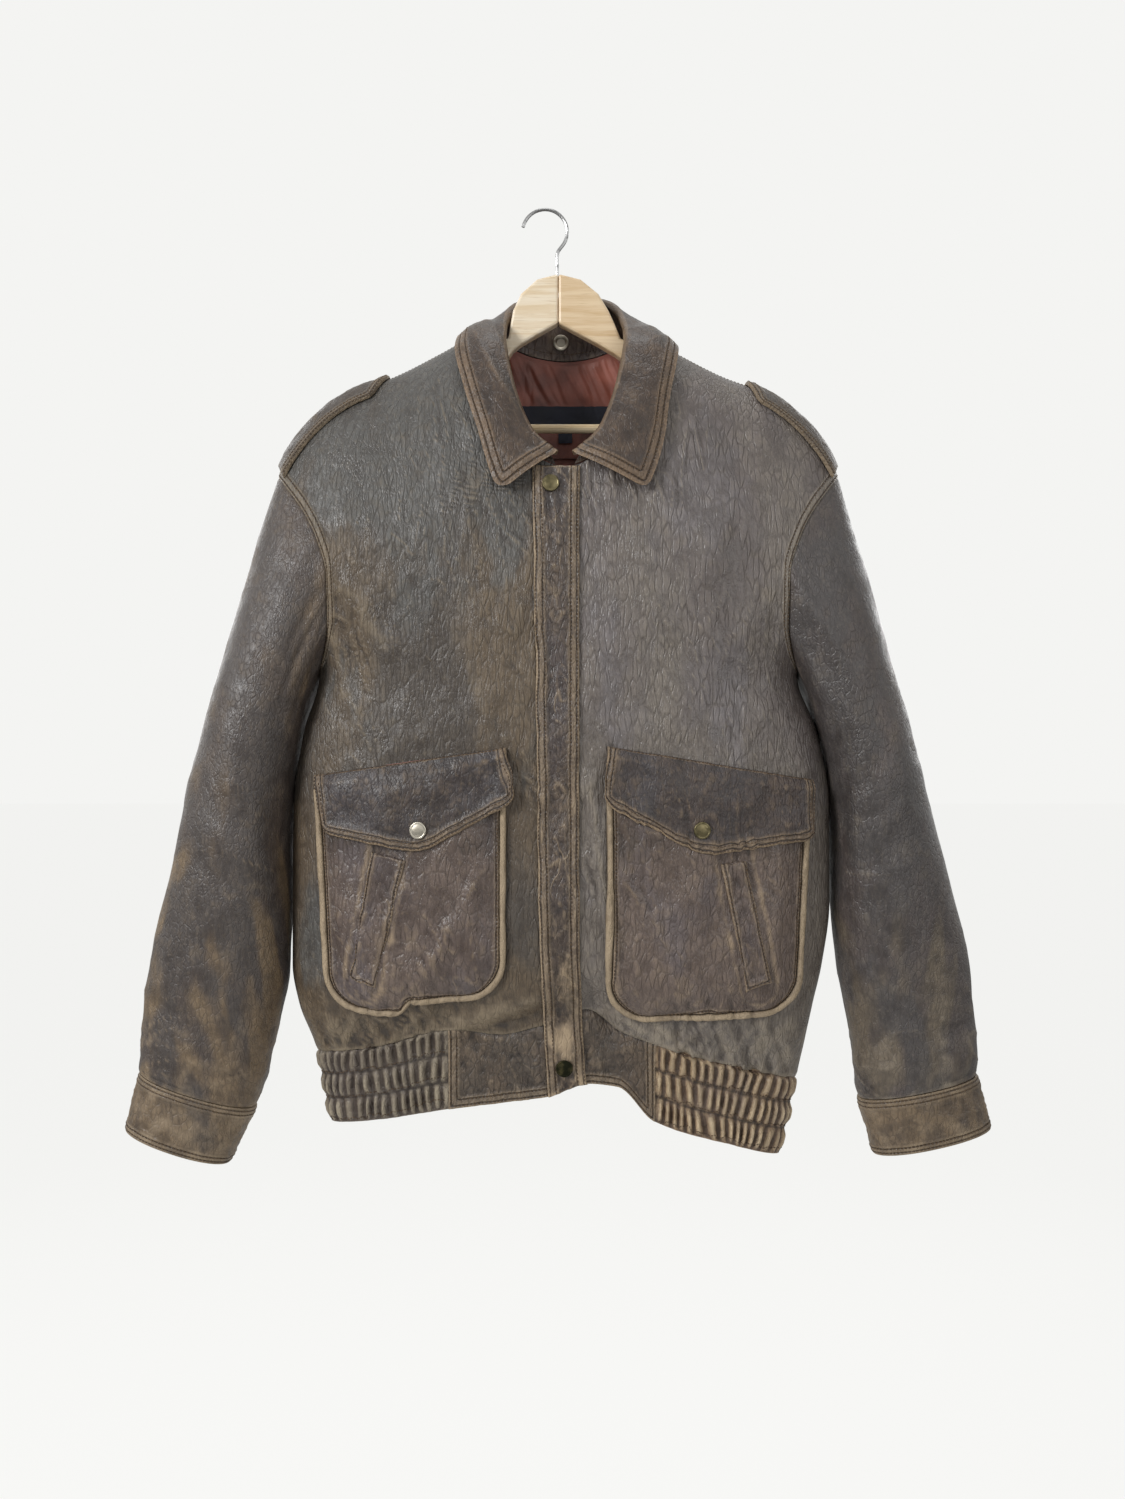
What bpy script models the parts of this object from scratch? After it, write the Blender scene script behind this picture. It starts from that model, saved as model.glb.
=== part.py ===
"""A worn leather blouson on a wooden hanger, hung by the hanger's wire hook.

The origin is the point on which the hook hangs. +Z is up, the jacket's front faces -Y, and X runs to the
right as the front is looked at, so the wearer's left side has positive X. Sizes in this file are in
millimetres and heights are measured from the hook, so they are negative; MM turns them to metres.

The jacket is built as it is cut and sewn. One body form gives the outer face of the fronts, the back and
the waistband; the sleeves start on its armholes; and all that is sewn on a panel, such as pockets, flaps
and the storm flap, is laid on the same form, moved out by its own lift.
"""

import math

import bmesh
import bpy
import numpy as np
from mathutils import Vector

MM = 0.001

# Driving sizes.
CENTRE_X = 12.0  # the jacket hangs this far to the right of the hook's resting point
NECK_X = 6.0  # the collar sits a little off the jacket's centre
LEATHER = 2.3  # shell leather with its lining
SEAM = 0.2  # each piece stops this far short of its seam line
SECTION_POWER = 2.5  # roundness of a level section: 2 is an ellipse, more is boxier
SHOULDER_ROLL = 160.0  # depth below the shoulder line over which the section fills out
BACK_NECK_RISE = 45.0  # how much the back stands above the shoulder line at the neck
NECK_REACH = 68.0  # half width of the neck hole at the shoulder
TUCK = 0.26  # share of the depth that the waistband draws in
TUCK_REACH = 30.0
ARMHOLE_TOP, ARMHOLE_BOTTOM = -240.0, -418.0
ARMHOLE_ROWS, SIDE_ROWS = 10, 10
FRONT_COLUMNS = 8
SIDE_SHARES = 1 - np.linspace(1, 0, SIDE_ROWS + 1)[1:] ** 1.4  # closer together where the waist draws in

LEFT, RIGHT = 1, -1  # the wearer's side, as the sign of X
SIDE_NAMES = {LEFT: "left", RIGHT: "right"}
FRONT, BACK = -1, 1  # the sign of Y

# Distance from the centre, height of the shoulder line.
SHOULDER = (
    (0, -104),
    (62, -107),
    (87, -119),
    (105, -129),
    (150, -151.5),
    (182, -163),
    (202, -175),
    (224, -195),
    (240, -216),
    (251, -240),
)
# Height, half width on the wearer's right, half width on the wearer's left, depth in front, depth behind.
# Above the armhole's lowest point the half width runs on under the sleeve head.
BODY = (
    (-100, 330, 330, 58, 52),
    (-241, 300, 300, 60, 53),
    (-300, 275, 275, 65, 54),
    (-360, 240, 240, 68, 54),
    (-418, 214, 214, 69, 54),
    (-470, 228, 232, 70, 54),
    (-534, 237, 243, 71, 54),
    (-620, 238, 243, 71, 54),
    (-676, 238, 236, 70, 53),
    (-711, 232, 228, 68, 52),
    (-753, 217, 219, 66, 51),
    (-777, 213, 214, 65, 50),
    (-818, 205, 206, 64, 49),
    (-850, 200, 199, 63, 48),
)
# Height, distance of the armhole seam from the centre.
ARMHOLE = ((-240, 251), (-257, 237), (-277, 222), (-302, 209), (-335, 200), (-375, 200), (-402, 206), (-418, 214))
# X, height of the seam between body and waistband in front, height of the hem in front.
WAIST = (
    (-217, -753, -818),
    (-160, -744, -809),
    (-95, -727, -797),
    (-52, -731, -791),
    (-9, -722, -785),
    (25, -709, -774),
    (52, -728, -777),
    (83, -740, -807),
    (150, -760, -830),
    (214, -777, -850),
)
# Height, X of the line on which the two fronts meet.
CENTRE_LINE = ((-244, 6), (-270, -1), (-490, 0), (-720, 6), (-790, 9))
# Half of the neck, from the front end to the middle of the back, measured from NECK_X:
# fold x, y, z; neck seam x, z; outer edge x on the wearer's right, on the wearer's left, z.
NECK = (
    (6.8, -63, -230, 0.5, -244, 54, 71, -265),
    (16, -62, -222, 19, -237, 61, 74.5, -256.5),
    (28, -59, -209, 34, -225, 67, 79, -239),
    (38.5, -54, -185, 48, -205, 74.5, 84, -213),
    (46, -45, -158, 58, -178, 83, 89, -183),
    (51, -30, -129, 65, -144, 92, 95, -151),
    (51.5, -18, -114, 67, -124, 94, 97, -135),
    (51, -5, -102, 68, -110, 95, 98, -122),
    (46, 15, -82, 64, -110, 87, 89, -131),
    (36.5, 28, -70, 52, -114, 66, 67, -137),
    (19, 36, -66, 28, -121, 35, 35, -141),
    (0, 38, -65, 0, -124, 0, 0, -142),
)
SHOULDER_STATION = 7  # the row of NECK that lies on the shoulder line
RIDGE_SHARE = 0.3
# Share of the way from armhole to cuff; then for the wearer's right and left sleeve the outer edge x, z
# and the inner edge x, z; half depth; y of the middle.
SLEEVE = (
    (0.0, -251, -240, -214, -418, 251, -240, 214, -418, 50, 0),
    (0.125, -271, -305, -235, -462, 270, -305, 231, -462, 55, -1),
    (0.25, -290, -371, -242, -510, 288, -371, 243, -508, 59, -2),
    (0.4, -311, -449, -242.5, -569, 309, -451, 247, -565, 60, -4),
    (0.55, -331, -528, -242.5, -628, 329, -530, 248, -622, 56, -6),
    (0.7, -348, -608, -244, -686, 350, -609, 252, -680, 49, -9),
    (0.8, -360, -661, -249, -725, 363, -662, 256.5, -718, 43, -11),
    (0.9, -369, -714, -257, -764, 369.5, -716, 262, -755, 37, -13),
    (1.0, -372, -769, -269, -801, 371, -771, 267, -793, 33, -14),
)
SLEEVE_RINGS = 11
SLEEVE_POWER = 0.92
# Side; outer edge x, z and inner edge x, z of the cuff's top; the same of its bottom.
CUFFS = (
    (RIGHT, (-371.5, -770, -268.5, -802), (-384, -820, -292, -851)),
    (LEFT, (371.5, -772, 266.5, -794), (384, -819, 280, -843)),
)
CUFF_HALF_DEPTHS = (32.5, 30.0)
# Folds of the body front: from x, z to x, z; reach; height (negative is a hollow).
FRONT_FOLDS = (
    (-30, -700, -84, -722, 12, 2.5),
    (-196, -330, -150, -392, 14, 3.0),
    (196, -335, 158, -390, 14, 2.5),
    (40, -786, 40, -722, 12, -5.0),
)
BACK_FOLDS = (
    (-100, -690, -112, -750, 14, 2.5),
    (104, -690, 118, -756, 14, 2.5),
    (-190, -350, -140, -420, 16, 3.0),
    (190, -350, 140, -420, 16, 3.0),
)
# Storm flap: height, x of its free edge, x of its sewn edge.
STORM_FLAP = ((-242, -22, 19), (-300, -21, 18), (-490, -18, 18), (-620, -16, 18), (-720, -12, 21), (-783, -8, 26))
# Side; corners x, z of each pocket flap: top outer, top inner, bottom outer, point, bottom inner.
POCKET_FLAPS = (
    (RIGHT, (-210, -507), (-44, -483), (-199, -557), (-116, -573), (-37, -529)),
    (LEFT, (220, -511), (42, -482), (217, -563), (121, -575), (39, -531)),
)
# Side; outer x at top and bottom; inner x; bottom z at the outer and inner corner; of each pocket.
POCKETS = ((RIGHT, -205, -195, -50, -703, -690), (LEFT, 213, 204, 47, -708, -712))
POCKET_BELOW_FLAP = 13.0  # the pocket's mouth lies this far below the flap's top edge
POCKET_CORNER = 27.0
PIPING = 6.0
# Side; the welt's top ends x, x, z, z and its bottom ends x, x, z, z.
WELTS = (
    (RIGHT, (-158, -129, -566, -573), (-177, -155, -680, -688)),
    (LEFT, (138, 159, -576, -574), (160, 182, -691, -684)),
)
PLAIN_BAND = {RIGHT: -95.0, LEFT: 84.0}  # where the plain waistband ends and the elastic starts in front
BACK_BAND = 112.0  # half width of the plain waistband behind
BACK_BOW = 27.0  # how much the waistband rises at the middle of the back
PLEAT = 8.6
PLEAT_HEIGHT = 1.5
# Lifts above the body form of each layer's inner face, and its thickness.
STORM_LIFT, STORM_THICK = 1.3, 2.2
POCKET_LIFT, POCKET_THICK = 1.3, 1.7
WELT_LIFT, WELT_THICK = 3.7, 2.0
PIPING_LIFT, PIPING_THICK = 1.4, 2.2
STRAP_LIFT, STRAP_THICK = 1.0, 2.8
FLAP_THICK = 2.6
FLAP_LIFTS = (1.0, 4.2, 4.6, 5.6)  # from the flap's sewn edge to its free edge
FLAP_SHARES = (0.0, 0.16, 0.55, 1.0)
STRAP_HALF_WIDTH = 25.0
# Side; x of the shoulder strap's point and of its square shoulder.
STRAPS = ((RIGHT, -150, -163), (LEFT, 167, 176))
COLLAR_LIFT, COLLAR_THICK = 7.5, 2.2  # lift of the fall's outer face at its edge
COLLAR_ROLL = 4.6
COLLAR_BULGE = 6.0
STAND_GAP = 1.0
LINING_HALF_WIDTH, LINING_ROWS, LINING_THICK = 60.0, 7, 1.2
LABEL = (-38.0, 48.0, -183.0, -164.0)  # x from, to, z from, to
LABEL_THICK = 0.8
TAB = (0.0, 13.0, -198.0, -184.0)
SNAP_RADIUS, SNAP_HEIGHT = 7.3, 2.8
# Snap name; x, z and lift of the face that it sits on.
SNAPS = (
    ("snap_top", -6, -258, STORM_LIFT + STORM_THICK),
    ("snap_bottom", 5.5, -759, STORM_LIFT + STORM_THICK),
    ("flap_snap_right", -117, -553, 8.0),
    ("flap_snap_left", 121, -553, 7.9),
)
STAND_SNAP = (2.0, -107.0)

HOOK_WIRE = 1.6
SHANK_X = -1.0  # from the hanger's middle
HANGER_THICK = 13.0
# Distance from the middle on the wearer's right, on the left, height of the hanger's upper edge, of its lower edge.
HANGER = (
    (0, 0, -58, -102.5),
    (19, 20, -63, -113),
    (33.5, 36, -76, -121.5),
    (40.5, 45, -91, -127),
    (43, 51, -104, -130.5),
    (45, 56, -116, -134),
    (62, 66, -120.5, -139),
    (87, 87, -126, -149.5),
    (150, 150, -158.5, -182.5),
    (182, 182, -170.5, -196),
    (202, 202, -182.5, -208.5),
    (214, 214, -193.5, -213.5),
    (218, 218, -199, -208),
)
HOOK_WIDE = 20.1  # radius of the hook's middle line
HANGER_JOINT = 0.15  # half the glue line between the hanger's halves
SHANK_DEPTH = 16.0
BAR_RADIUS, BAR_Z, BAR_REACH, FIT = 4.2, -196.0, 207.0, 0.3

# Colour and roughness, metallic.
FINISHES = {
    "leather": ((0.105, 0.082, 0.062), 0.55, 0.0),
    "piping": ((0.30, 0.23, 0.14), 0.6, 0.0),
    "lining": ((0.20, 0.052, 0.035), 0.8, 0.0),
    "label": ((0.010, 0.012, 0.028), 0.7, 0.0),
    "brass": ((0.16, 0.13, 0.06), 0.4, 0.9),
    "steel": ((0.45, 0.45, 0.45), 0.3, 1.0),
    "beech": ((0.78, 0.62, 0.36), 0.5, 0.0),
}


class Line:
    """A smooth line through a table's rows, which doesn't overshoot between them."""

    def __init__(self, places, values):
        order = np.argsort(places)
        self.x = np.array(places, float)[order]
        self.y = np.array(values, float)[order]
        step = np.diff(self.x)
        rise = np.diff(self.y) / step
        self.slope = np.concatenate([rise[:1], np.zeros(len(step) - 1), rise[-1:]])
        for i in range(1, len(step)):
            if rise[i - 1] * rise[i] > 0:
                near, far = 2 * step[i] + step[i - 1], step[i] + 2 * step[i - 1]
                self.slope[i] = (near + far) / (near / rise[i - 1] + far / rise[i])

    def __call__(self, x):
        x = np.clip(np.asarray(x, float), self.x[0], self.x[-1])
        k = np.clip(np.searchsorted(self.x, x) - 1, 0, len(self.x) - 2)
        step = self.x[k + 1] - self.x[k]
        t = (x - self.x[k]) / step
        start = (1 + 2 * t) * (1 - t) ** 2 * self.y[k] + t * (1 - t) ** 2 * step * self.slope[k]
        end = t * t * (3 - 2 * t) * self.y[k + 1] - t * t * (1 - t) * step * self.slope[k + 1]
        return start + end


def column(table, place, value):
    """The smooth line of one column of a table against another."""
    return Line([row[place] for row in table], [row[value] for row in table])


shoulder_z = column(SHOULDER, 0, 1)
half_width = {RIGHT: column(BODY, 0, 1), LEFT: column(BODY, 0, 2)}
depth = {FRONT: column(BODY, 0, 3), BACK: column(BODY, 0, 4)}
armhole_x = column(ARMHOLE, 0, 1)
waist_front = column(WAIST, 0, 1)
hem_front = column(WAIST, 0, 2)
centre_line = column(CENTRE_LINE, 0, 1)
flap_free, flap_sewn = column(STORM_FLAP, 0, 1), column(STORM_FLAP, 0, 2)


def across(table_column, x):
    """The height at x behind: bowed up between the side seams' heights in the WAIST table."""
    first, last = WAIST[0], WAIST[-1]
    share = np.clip((x - first[0]) / (last[0] - first[0]), 0, 1)
    return first[table_column] + (last[table_column] - first[table_column]) * share + 4 * BACK_BOW * share * (1 - share)


def waist_z(x, face):
    """Height of the seam above the waistband."""
    return waist_front(x) if face == FRONT else across(1, x)


def hem_z(x, face):
    """Height of the hem."""
    return hem_front(x) if face == FRONT else across(2, x)


def folds(table, x, z):
    """The height of a table's folds at a place."""
    total = np.zeros(np.broadcast(x, z).shape)
    for x0, z0, x1, z1, reach, height in table:
        run = math.hypot(x1 - x0, z1 - z0)
        along = ((x - x0) * (x1 - x0) + (z - z0) * (z1 - z0)) / run
        aside = ((x - x0) * (z1 - z0) - (z - z0) * (x1 - x0)) / run
        past = np.maximum(np.maximum(-along, along - run), 0)
        total = total + height * np.exp(-(aside**2 + past**2) / reach**2)
    return total


def width_at(x, z):
    """Half width of the body on the side of x."""
    return np.where(x < 0, half_width[RIGHT](z), half_width[LEFT](z))


def section(x, z):
    """1 at the middle of a level section, 0 at its sides."""
    q = np.clip(np.abs(x) / width_at(x, z), 0, 1)
    return (1 - q**SECTION_POWER) ** (1 / SECTION_POWER)


def roll(below):
    """0 on the shoulder line, 1 at SHOULDER_ROLL below it."""
    return np.sqrt(1 - (1 - np.clip(below / SHOULDER_ROLL, 0, 1)) ** 2)


def ridge_z(x, face):
    """The line at which a face of the body form starts: the shoulder line, with a rise at the back of the neck."""
    line = shoulder_z(np.abs(x))
    if face == FRONT:
        return line
    near = np.clip(np.abs(x - NECK_X) / NECK_REACH, 0, 1)
    return line + BACK_NECK_RISE * (1 - near**2)


def form(x, z, face):
    """Y of the body form's outer face."""
    x, z = np.asarray(x, float), np.asarray(z, float)
    above = np.maximum(z - waist_z(x, face), 0)
    tuck = 1 - TUCK * np.exp(-((above / TUCK_REACH) ** 2))
    share = section(x, z) * roll(ridge_z(x, face) - z)
    table = FRONT_FOLDS if face == FRONT else BACK_FOLDS
    return face * share * (depth[face](z) * tuck + folds(table, x, z))


def on_body(x, z, face, lift=0.0):
    """Points on the body form, moved out by lift."""
    x, z = np.broadcast_arrays(np.asarray(x, float), np.asarray(z, float))
    step = 1.5
    slope_x = (form(x + step, z, face) - form(x - step, z, face)) / (2 * step)
    slope_z = (form(x, z + step, face) - form(x, z - step, face)) / (2 * step)
    out = np.stack([-face * slope_x, np.full(x.shape, float(face)), -face * slope_z], -1)
    out /= np.linalg.norm(out, axis=-1, keepdims=True)
    return np.stack([x, form(x, z, face), z], -1) + lift * out


def grid_normals(grid, out):
    """Unit normals of a grid of points. out is the rough way outwards, or None for a ring that runs round on itself
    along its columns, where it is the way from the ring's middle."""
    ring = out is None
    along = np.roll(grid, -1, 1) - np.roll(grid, 1, 1) if ring else np.gradient(grid, axis=1)
    if ring:
        out = grid - grid.mean(axis=1, keepdims=True)
    normals = np.cross(np.gradient(grid, axis=0), along)
    normals /= np.maximum(np.linalg.norm(normals, axis=-1, keepdims=True), 1e-9)
    return normals * np.sign((normals * np.asarray(out)).sum())


def share_normals(grids, outs):
    """Normals of grids that meet at seams, the same on both sides of a seam, so that their walls meet face to face."""
    own = [grid_normals(grid, out) for grid, out in zip(grids, outs)]
    sums = {}
    for grid, normals in zip(grids, own):
        for point, normal in zip(grid.reshape(-1, 3), normals.reshape(-1, 3)):
            key = tuple(np.round(point, 2))
            sums[key] = sums.get(key, 0) + normal
    shared = []
    for grid in grids:
        total = np.array([sums[tuple(np.round(point, 2))] for point in grid.reshape(-1, 3)])
        total /= np.maximum(np.linalg.norm(total, axis=1, keepdims=True), 1e-9)
        shared.append(total.reshape(grid.shape))
    return shared


def pull_in(grid, ring=False, gap=SEAM):
    """The grid with its open edges moved inwards by the seam's gap."""
    grid = grid.copy()
    ends = [(grid[0], grid[1].copy()), (grid[-1], grid[-2].copy())]
    if not ring:
        ends += [(grid[:, 0], grid[:, 1].copy()), (grid[:, -1], grid[:, -2].copy())]
    for edge, inner in ends:
        way = inner - edge
        edge += gap * way / np.maximum(np.linalg.norm(way, axis=-1, keepdims=True), 1e-9)
    return grid


class Maker:
    """Makes the objects, their materials and the empty that the garment hangs from."""

    def __init__(self):
        self.materials = {name: self.material(name, *finish) for name, finish in FINISHES.items()}
        self.middle = bpy.data.objects.new("hanging_line", None)
        self.middle.location.x = CENTRE_X * MM
        bpy.context.scene.collection.objects.link(self.middle)

    @staticmethod
    def material(name, colour, roughness, metallic):
        """A plain material."""
        made = bpy.data.materials.new(name)
        made.use_nodes = True
        shader = made.node_tree.nodes["Principled BSDF"]
        shader.inputs["Base Color"].default_value = (*colour, 1)
        shader.inputs["Roughness"].default_value = roughness
        shader.inputs["Metallic"].default_value = metallic
        return made

    def add(self, name, data, finish):
        """An object of this mesh or curve, in the garment's own frame."""
        data.materials.append(self.materials[finish])
        made = bpy.data.objects.new(name, data)
        made.parent = self.middle
        bpy.context.scene.collection.objects.link(made)
        return made

    def solid(self, name, points, faces, finish):
        """A closed mesh from points in millimetres, shaded smooth but for its edges."""
        mesh = bpy.data.meshes.new(name)
        mesh.from_pydata((np.asarray(points, float) * MM).tolist(), [], faces)
        shape = bmesh.new()
        shape.from_mesh(mesh)
        if shape.calc_volume(signed=True) < 0:
            bmesh.ops.reverse_faces(shape, faces=shape.faces)
        shape.to_mesh(mesh)
        shape.free()
        mesh.shade_smooth()
        mesh.set_sharp_from_angle(angle=math.radians(40))
        return self.add(name, mesh, finish)

    def shell(self, name, outer, inner, finish="leather", ring=False):
        """A wall between two grids of points with the same rows and columns."""
        rows, columns = outer.shape[:2]
        count = rows * columns
        last = columns if ring else columns - 1
        faces = []
        for j in range(rows - 1):
            for i in range(last):
                k = (i + 1) % columns
                a, b, c, d = j * columns + i, j * columns + k, (j + 1) * columns + k, (j + 1) * columns + i
                faces += [(a, d, c, b), (count + a, count + b, count + c, count + d)]
        rim = [(j * columns + i, j * columns + (i + 1) % columns, j == 0) for j in (0, rows - 1) for i in range(last)]
        if not ring:
            rim += [(j * columns + i, (j + 1) * columns + i, i > 0) for i in (0, columns - 1) for j in range(rows - 1)]
        for a, b, turned in rim:
            faces.append((a, b, count + b, count + a) if turned else (b, a, count + a, count + b))
        points = np.concatenate([outer.reshape(-1, 3), inner.reshape(-1, 3)])
        return self.solid(name, points, faces, finish)

    def laid(self, name, xs, zs, lift, thickness, finish="leather", face=FRONT):
        """A piece that lies on the body form, from its grid's X and heights and the lift of its inner face."""
        return self.shell(name, on_body(xs, zs, face, lift + thickness), on_body(xs, zs, face, lift), finish)

    def turned(self, name, profile, place, way, finish, sides=16):
        """A round solid from radius and height pairs, from its axis round to its axis, standing on place along way."""
        turn = np.linspace(0, 2 * math.pi, sides, endpoint=False)
        points, faces = [(0, 0, profile[0][1])], []
        for radius, height in profile[1:-1]:
            points += [(radius * math.cos(t), radius * math.sin(t), height) for t in turn]
        points.append((0, 0, profile[-1][1]))
        rings = len(profile) - 2
        for i in range(sides):
            k = (i + 1) % sides
            faces += [(0, 1 + k, 1 + i), (1 + (rings - 1) * sides + i, 1 + (rings - 1) * sides + k, len(points) - 1)]
            for j in range(rings - 1):
                a, b = 1 + j * sides + i, 1 + j * sides + k
                faces.append((a, b, b + sides, a + sides))
        made = self.solid(name, points, faces, finish)
        made.location = Vector(place) * MM
        made.rotation_euler = Vector(way).to_track_quat("Z", "Y").to_euler()
        return made


def neck_seam(side, station):
    """X and height of a station of the neck seam."""
    row = NECK[station]
    x = NECK_X + side * row[3]
    return x, float(shoulder_z(abs(x))) if station == SHOULDER_STATION else row[4]


def outer_edge(side):
    """X and height of a body panel's outer edge, row by row: down the armhole, then down the side seam."""
    middle, half = (ARMHOLE_TOP + ARMHOLE_BOTTOM) / 2, (ARMHOLE_TOP - ARMHOLE_BOTTOM) / 2
    down = middle + half * np.cos(np.linspace(0, math.pi, ARMHOLE_ROWS + 1))
    waist = WAIST[0 if side == RIGHT else -1][1]
    seam = ARMHOLE_BOTTOM + (waist - ARMHOLE_BOTTOM) * SIDE_SHARES
    xs = np.concatenate([armhole_x(down), half_width[side](seam)])
    return side * xs, np.concatenate([down, seam])


def column_shares(count):
    """Shares of the way from the middle to a side, closer together at the middle and where the section turns."""
    shares = np.sin(np.linspace(0, math.pi / 2, count + 1)) ** 1.15
    return np.insert(shares, 1, 0.08)


def front_panel(side):
    """The outer face of a front, from the shoulder seam down to the waist and from the centre out."""
    outer_x, outer_z = outer_edge(side)
    neck = [neck_seam(side, station) for station in range(SHOULDER_STATION, -1, -1)]
    # A row close to the shoulder seam keeps the wall round the hanger's edge.
    neck.insert(1, tuple(np.array(neck[0]) + (np.array(neck[1]) - neck[0]) * RIDGE_SHARE))
    neck = np.array(neck)
    # Below the neck the inner edge goes down the centre line, level with the side at the underarm and the waist.
    underarm = ARMHOLE_BOTTOM + 8
    waist = waist_front(centre_line(-720))
    steps = np.concatenate([
        np.linspace(neck[-1, 1], underarm, ARMHOLE_ROWS - SHOULDER_STATION)[1:],
        underarm + (waist - underarm) * SIDE_SHARES,
    ])
    inner_z = np.concatenate([neck[:, 1], steps])
    inner_x = np.concatenate([neck[:, 0], centre_line(steps)])
    shares = column_shares(FRONT_COLUMNS)
    xs = inner_x[:, None] + (outer_x - inner_x)[:, None] * shares
    zs = inner_z[:, None] + (outer_z - inner_z)[:, None] * shares
    row = np.arange(len(zs))[:, None]
    top_bow = shoulder_z(np.abs(xs[0])) - zs[0]
    waist_bow = waist_front(xs[-1]) - zs[-1]
    zs = zs + top_bow * (1 - np.clip(row / ARMHOLE_ROWS, 0, 1) ** 1.6)
    zs = zs + waist_bow * np.clip((row - ARMHOLE_ROWS) / SIDE_ROWS, 0, 1) ** 2
    ys = form(xs, zs, FRONT)
    ys[0] = 0
    ys[ARMHOLE_ROWS:, -1] = 0
    return np.stack([xs, ys, zs], -1)


def back_panel():
    """The outer face of the back, from the wearer's right to the left, and from the neck down to the waist."""
    shares = column_shares(FRONT_COLUMNS)
    (right_x, right_z), (left_x, left_z) = outer_edge(RIGHT), outer_edge(LEFT)
    shoulders = {}
    for side, end in ((RIGHT, right_x[0]), (LEFT, left_x[0])):
        start = neck_seam(side, SHOULDER_STATION)[0]
        shoulders[side] = start + (end - start) * shares
    behind = range(SHOULDER_STATION + 1, len(NECK))
    neck = [neck_seam(RIGHT, k) for k in behind] + [neck_seam(LEFT, k) for k in behind[-2::-1]]
    neck_x, neck_z = np.array(neck).T
    top_x = np.concatenate([shoulders[RIGHT][::-1], neck_x, shoulders[LEFT]])
    top_z = shoulder_z(np.abs(top_x))
    top_z[len(shares) : -len(shares)] = neck_z
    top_share = (top_x - top_x[0]) / (top_x[-1] - top_x[0])
    places = np.linspace(-1, 1, len(top_x))
    even = (np.sign(places) * np.sin(np.abs(places) * math.pi / 2) ** 1.1 + 1) / 2
    row = np.arange(len(right_z))[:, None]
    ease = np.clip(row / ARMHOLE_ROWS, 0, 1) ** 0.7
    share = (1 - ease) * top_share + ease * even
    xs = right_x[:, None] + (left_x - right_x)[:, None] * share
    line = right_z[:, None] + (left_z - right_z)[:, None] * share
    bow = np.interp(share, top_share, top_z - line[0])
    zs = line + bow * (1 - np.clip(row / (ARMHOLE_ROWS + 2), 0, 1) ** 1.5)
    zs = zs + (waist_z(xs[-1], BACK) - zs[-1]) * np.clip((row - ARMHOLE_ROWS) / SIDE_ROWS, 0, 1) ** 2
    ys = form(xs, zs, BACK)
    ys[0, : len(shares)] = 0
    ys[0, -len(shares) :] = 0
    ys[ARMHOLE_ROWS:, [0, -1]] = 0
    return np.stack([xs, ys, zs], -1)


def round_section(turn_cos, turn_sin):
    """Width and depth shares of a slightly boxy oval."""
    wide = np.sign(turn_cos) * np.abs(turn_cos) ** SLEEVE_POWER
    deep = np.sign(turn_sin) * np.abs(turn_sin) ** SLEEVE_POWER
    return wide, deep


def sleeve_panel(side, front, back_edge):
    """The outer face of a sleeve: rings from the armhole to the cuff. The first is the edge of the front and back."""
    first = 1 if side == RIGHT else 5
    edge = [column(SLEEVE, 0, first + k) for k in range(4)]
    half_depth, middle_y = column(SLEEVE, 0, 9), column(SLEEVE, 0, 10)
    hole = np.concatenate([front[: ARMHOLE_ROWS + 1, -1], back_edge[ARMHOLE_ROWS - 1 : 0 : -1]])

    def ends(share):
        outer = np.array([edge[0](share), 0, edge[1](share)])
        inner = np.array([edge[2](share), 0, edge[3](share)])
        return (outer + inner) / 2, (outer - inner) / 2

    middle, half = ends(0.0)
    cosine = np.clip((hole - middle) @ half / (half @ half), -1, 1)
    sine = np.sqrt(1 - cosine**2) * np.where(np.arange(len(hole)) > ARMHOLE_ROWS, 1, -1)
    wide, deep = round_section(cosine, sine)

    def ring(share):
        middle, half = ends(share)
        points = middle + wide[:, None] * half
        points[:, 1] += middle_y(share) + deep * half_depth(share)
        return points

    inset = hole - ring(0.0)
    return np.array([ring(s) + inset * max(0, 1 - s / 0.45) ** 2 for s in np.linspace(0, 1, SLEEVE_RINGS + 1)])


def cuff_panel(top, bottom, levels=3, sides=22):
    """The outer face of a cuff: level rings between its top and bottom edges."""
    turn = np.linspace(0, 2 * math.pi, sides, endpoint=False)
    wide, deep = round_section(np.cos(turn), np.sin(turn))
    rings = []
    for share in np.linspace(0, 1, levels):
        x0, z0, x1, z1 = np.array(top) * (1 - share) + np.array(bottom) * share
        half_depth = CUFF_HALF_DEPTHS[0] * (1 - share) + CUFF_HALF_DEPTHS[1] * share
        middle = np.array([(x0 + x1) / 2, SLEEVE[-1][10], (z0 + z1) / 2])
        half = np.array([(x0 - x1) / 2, 0, (z0 - z1) / 2])
        rings.append(middle + wide[:, None] * half + deep[:, None] * np.array([0, -half_depth, 0]))
    return np.array(rings)


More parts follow.
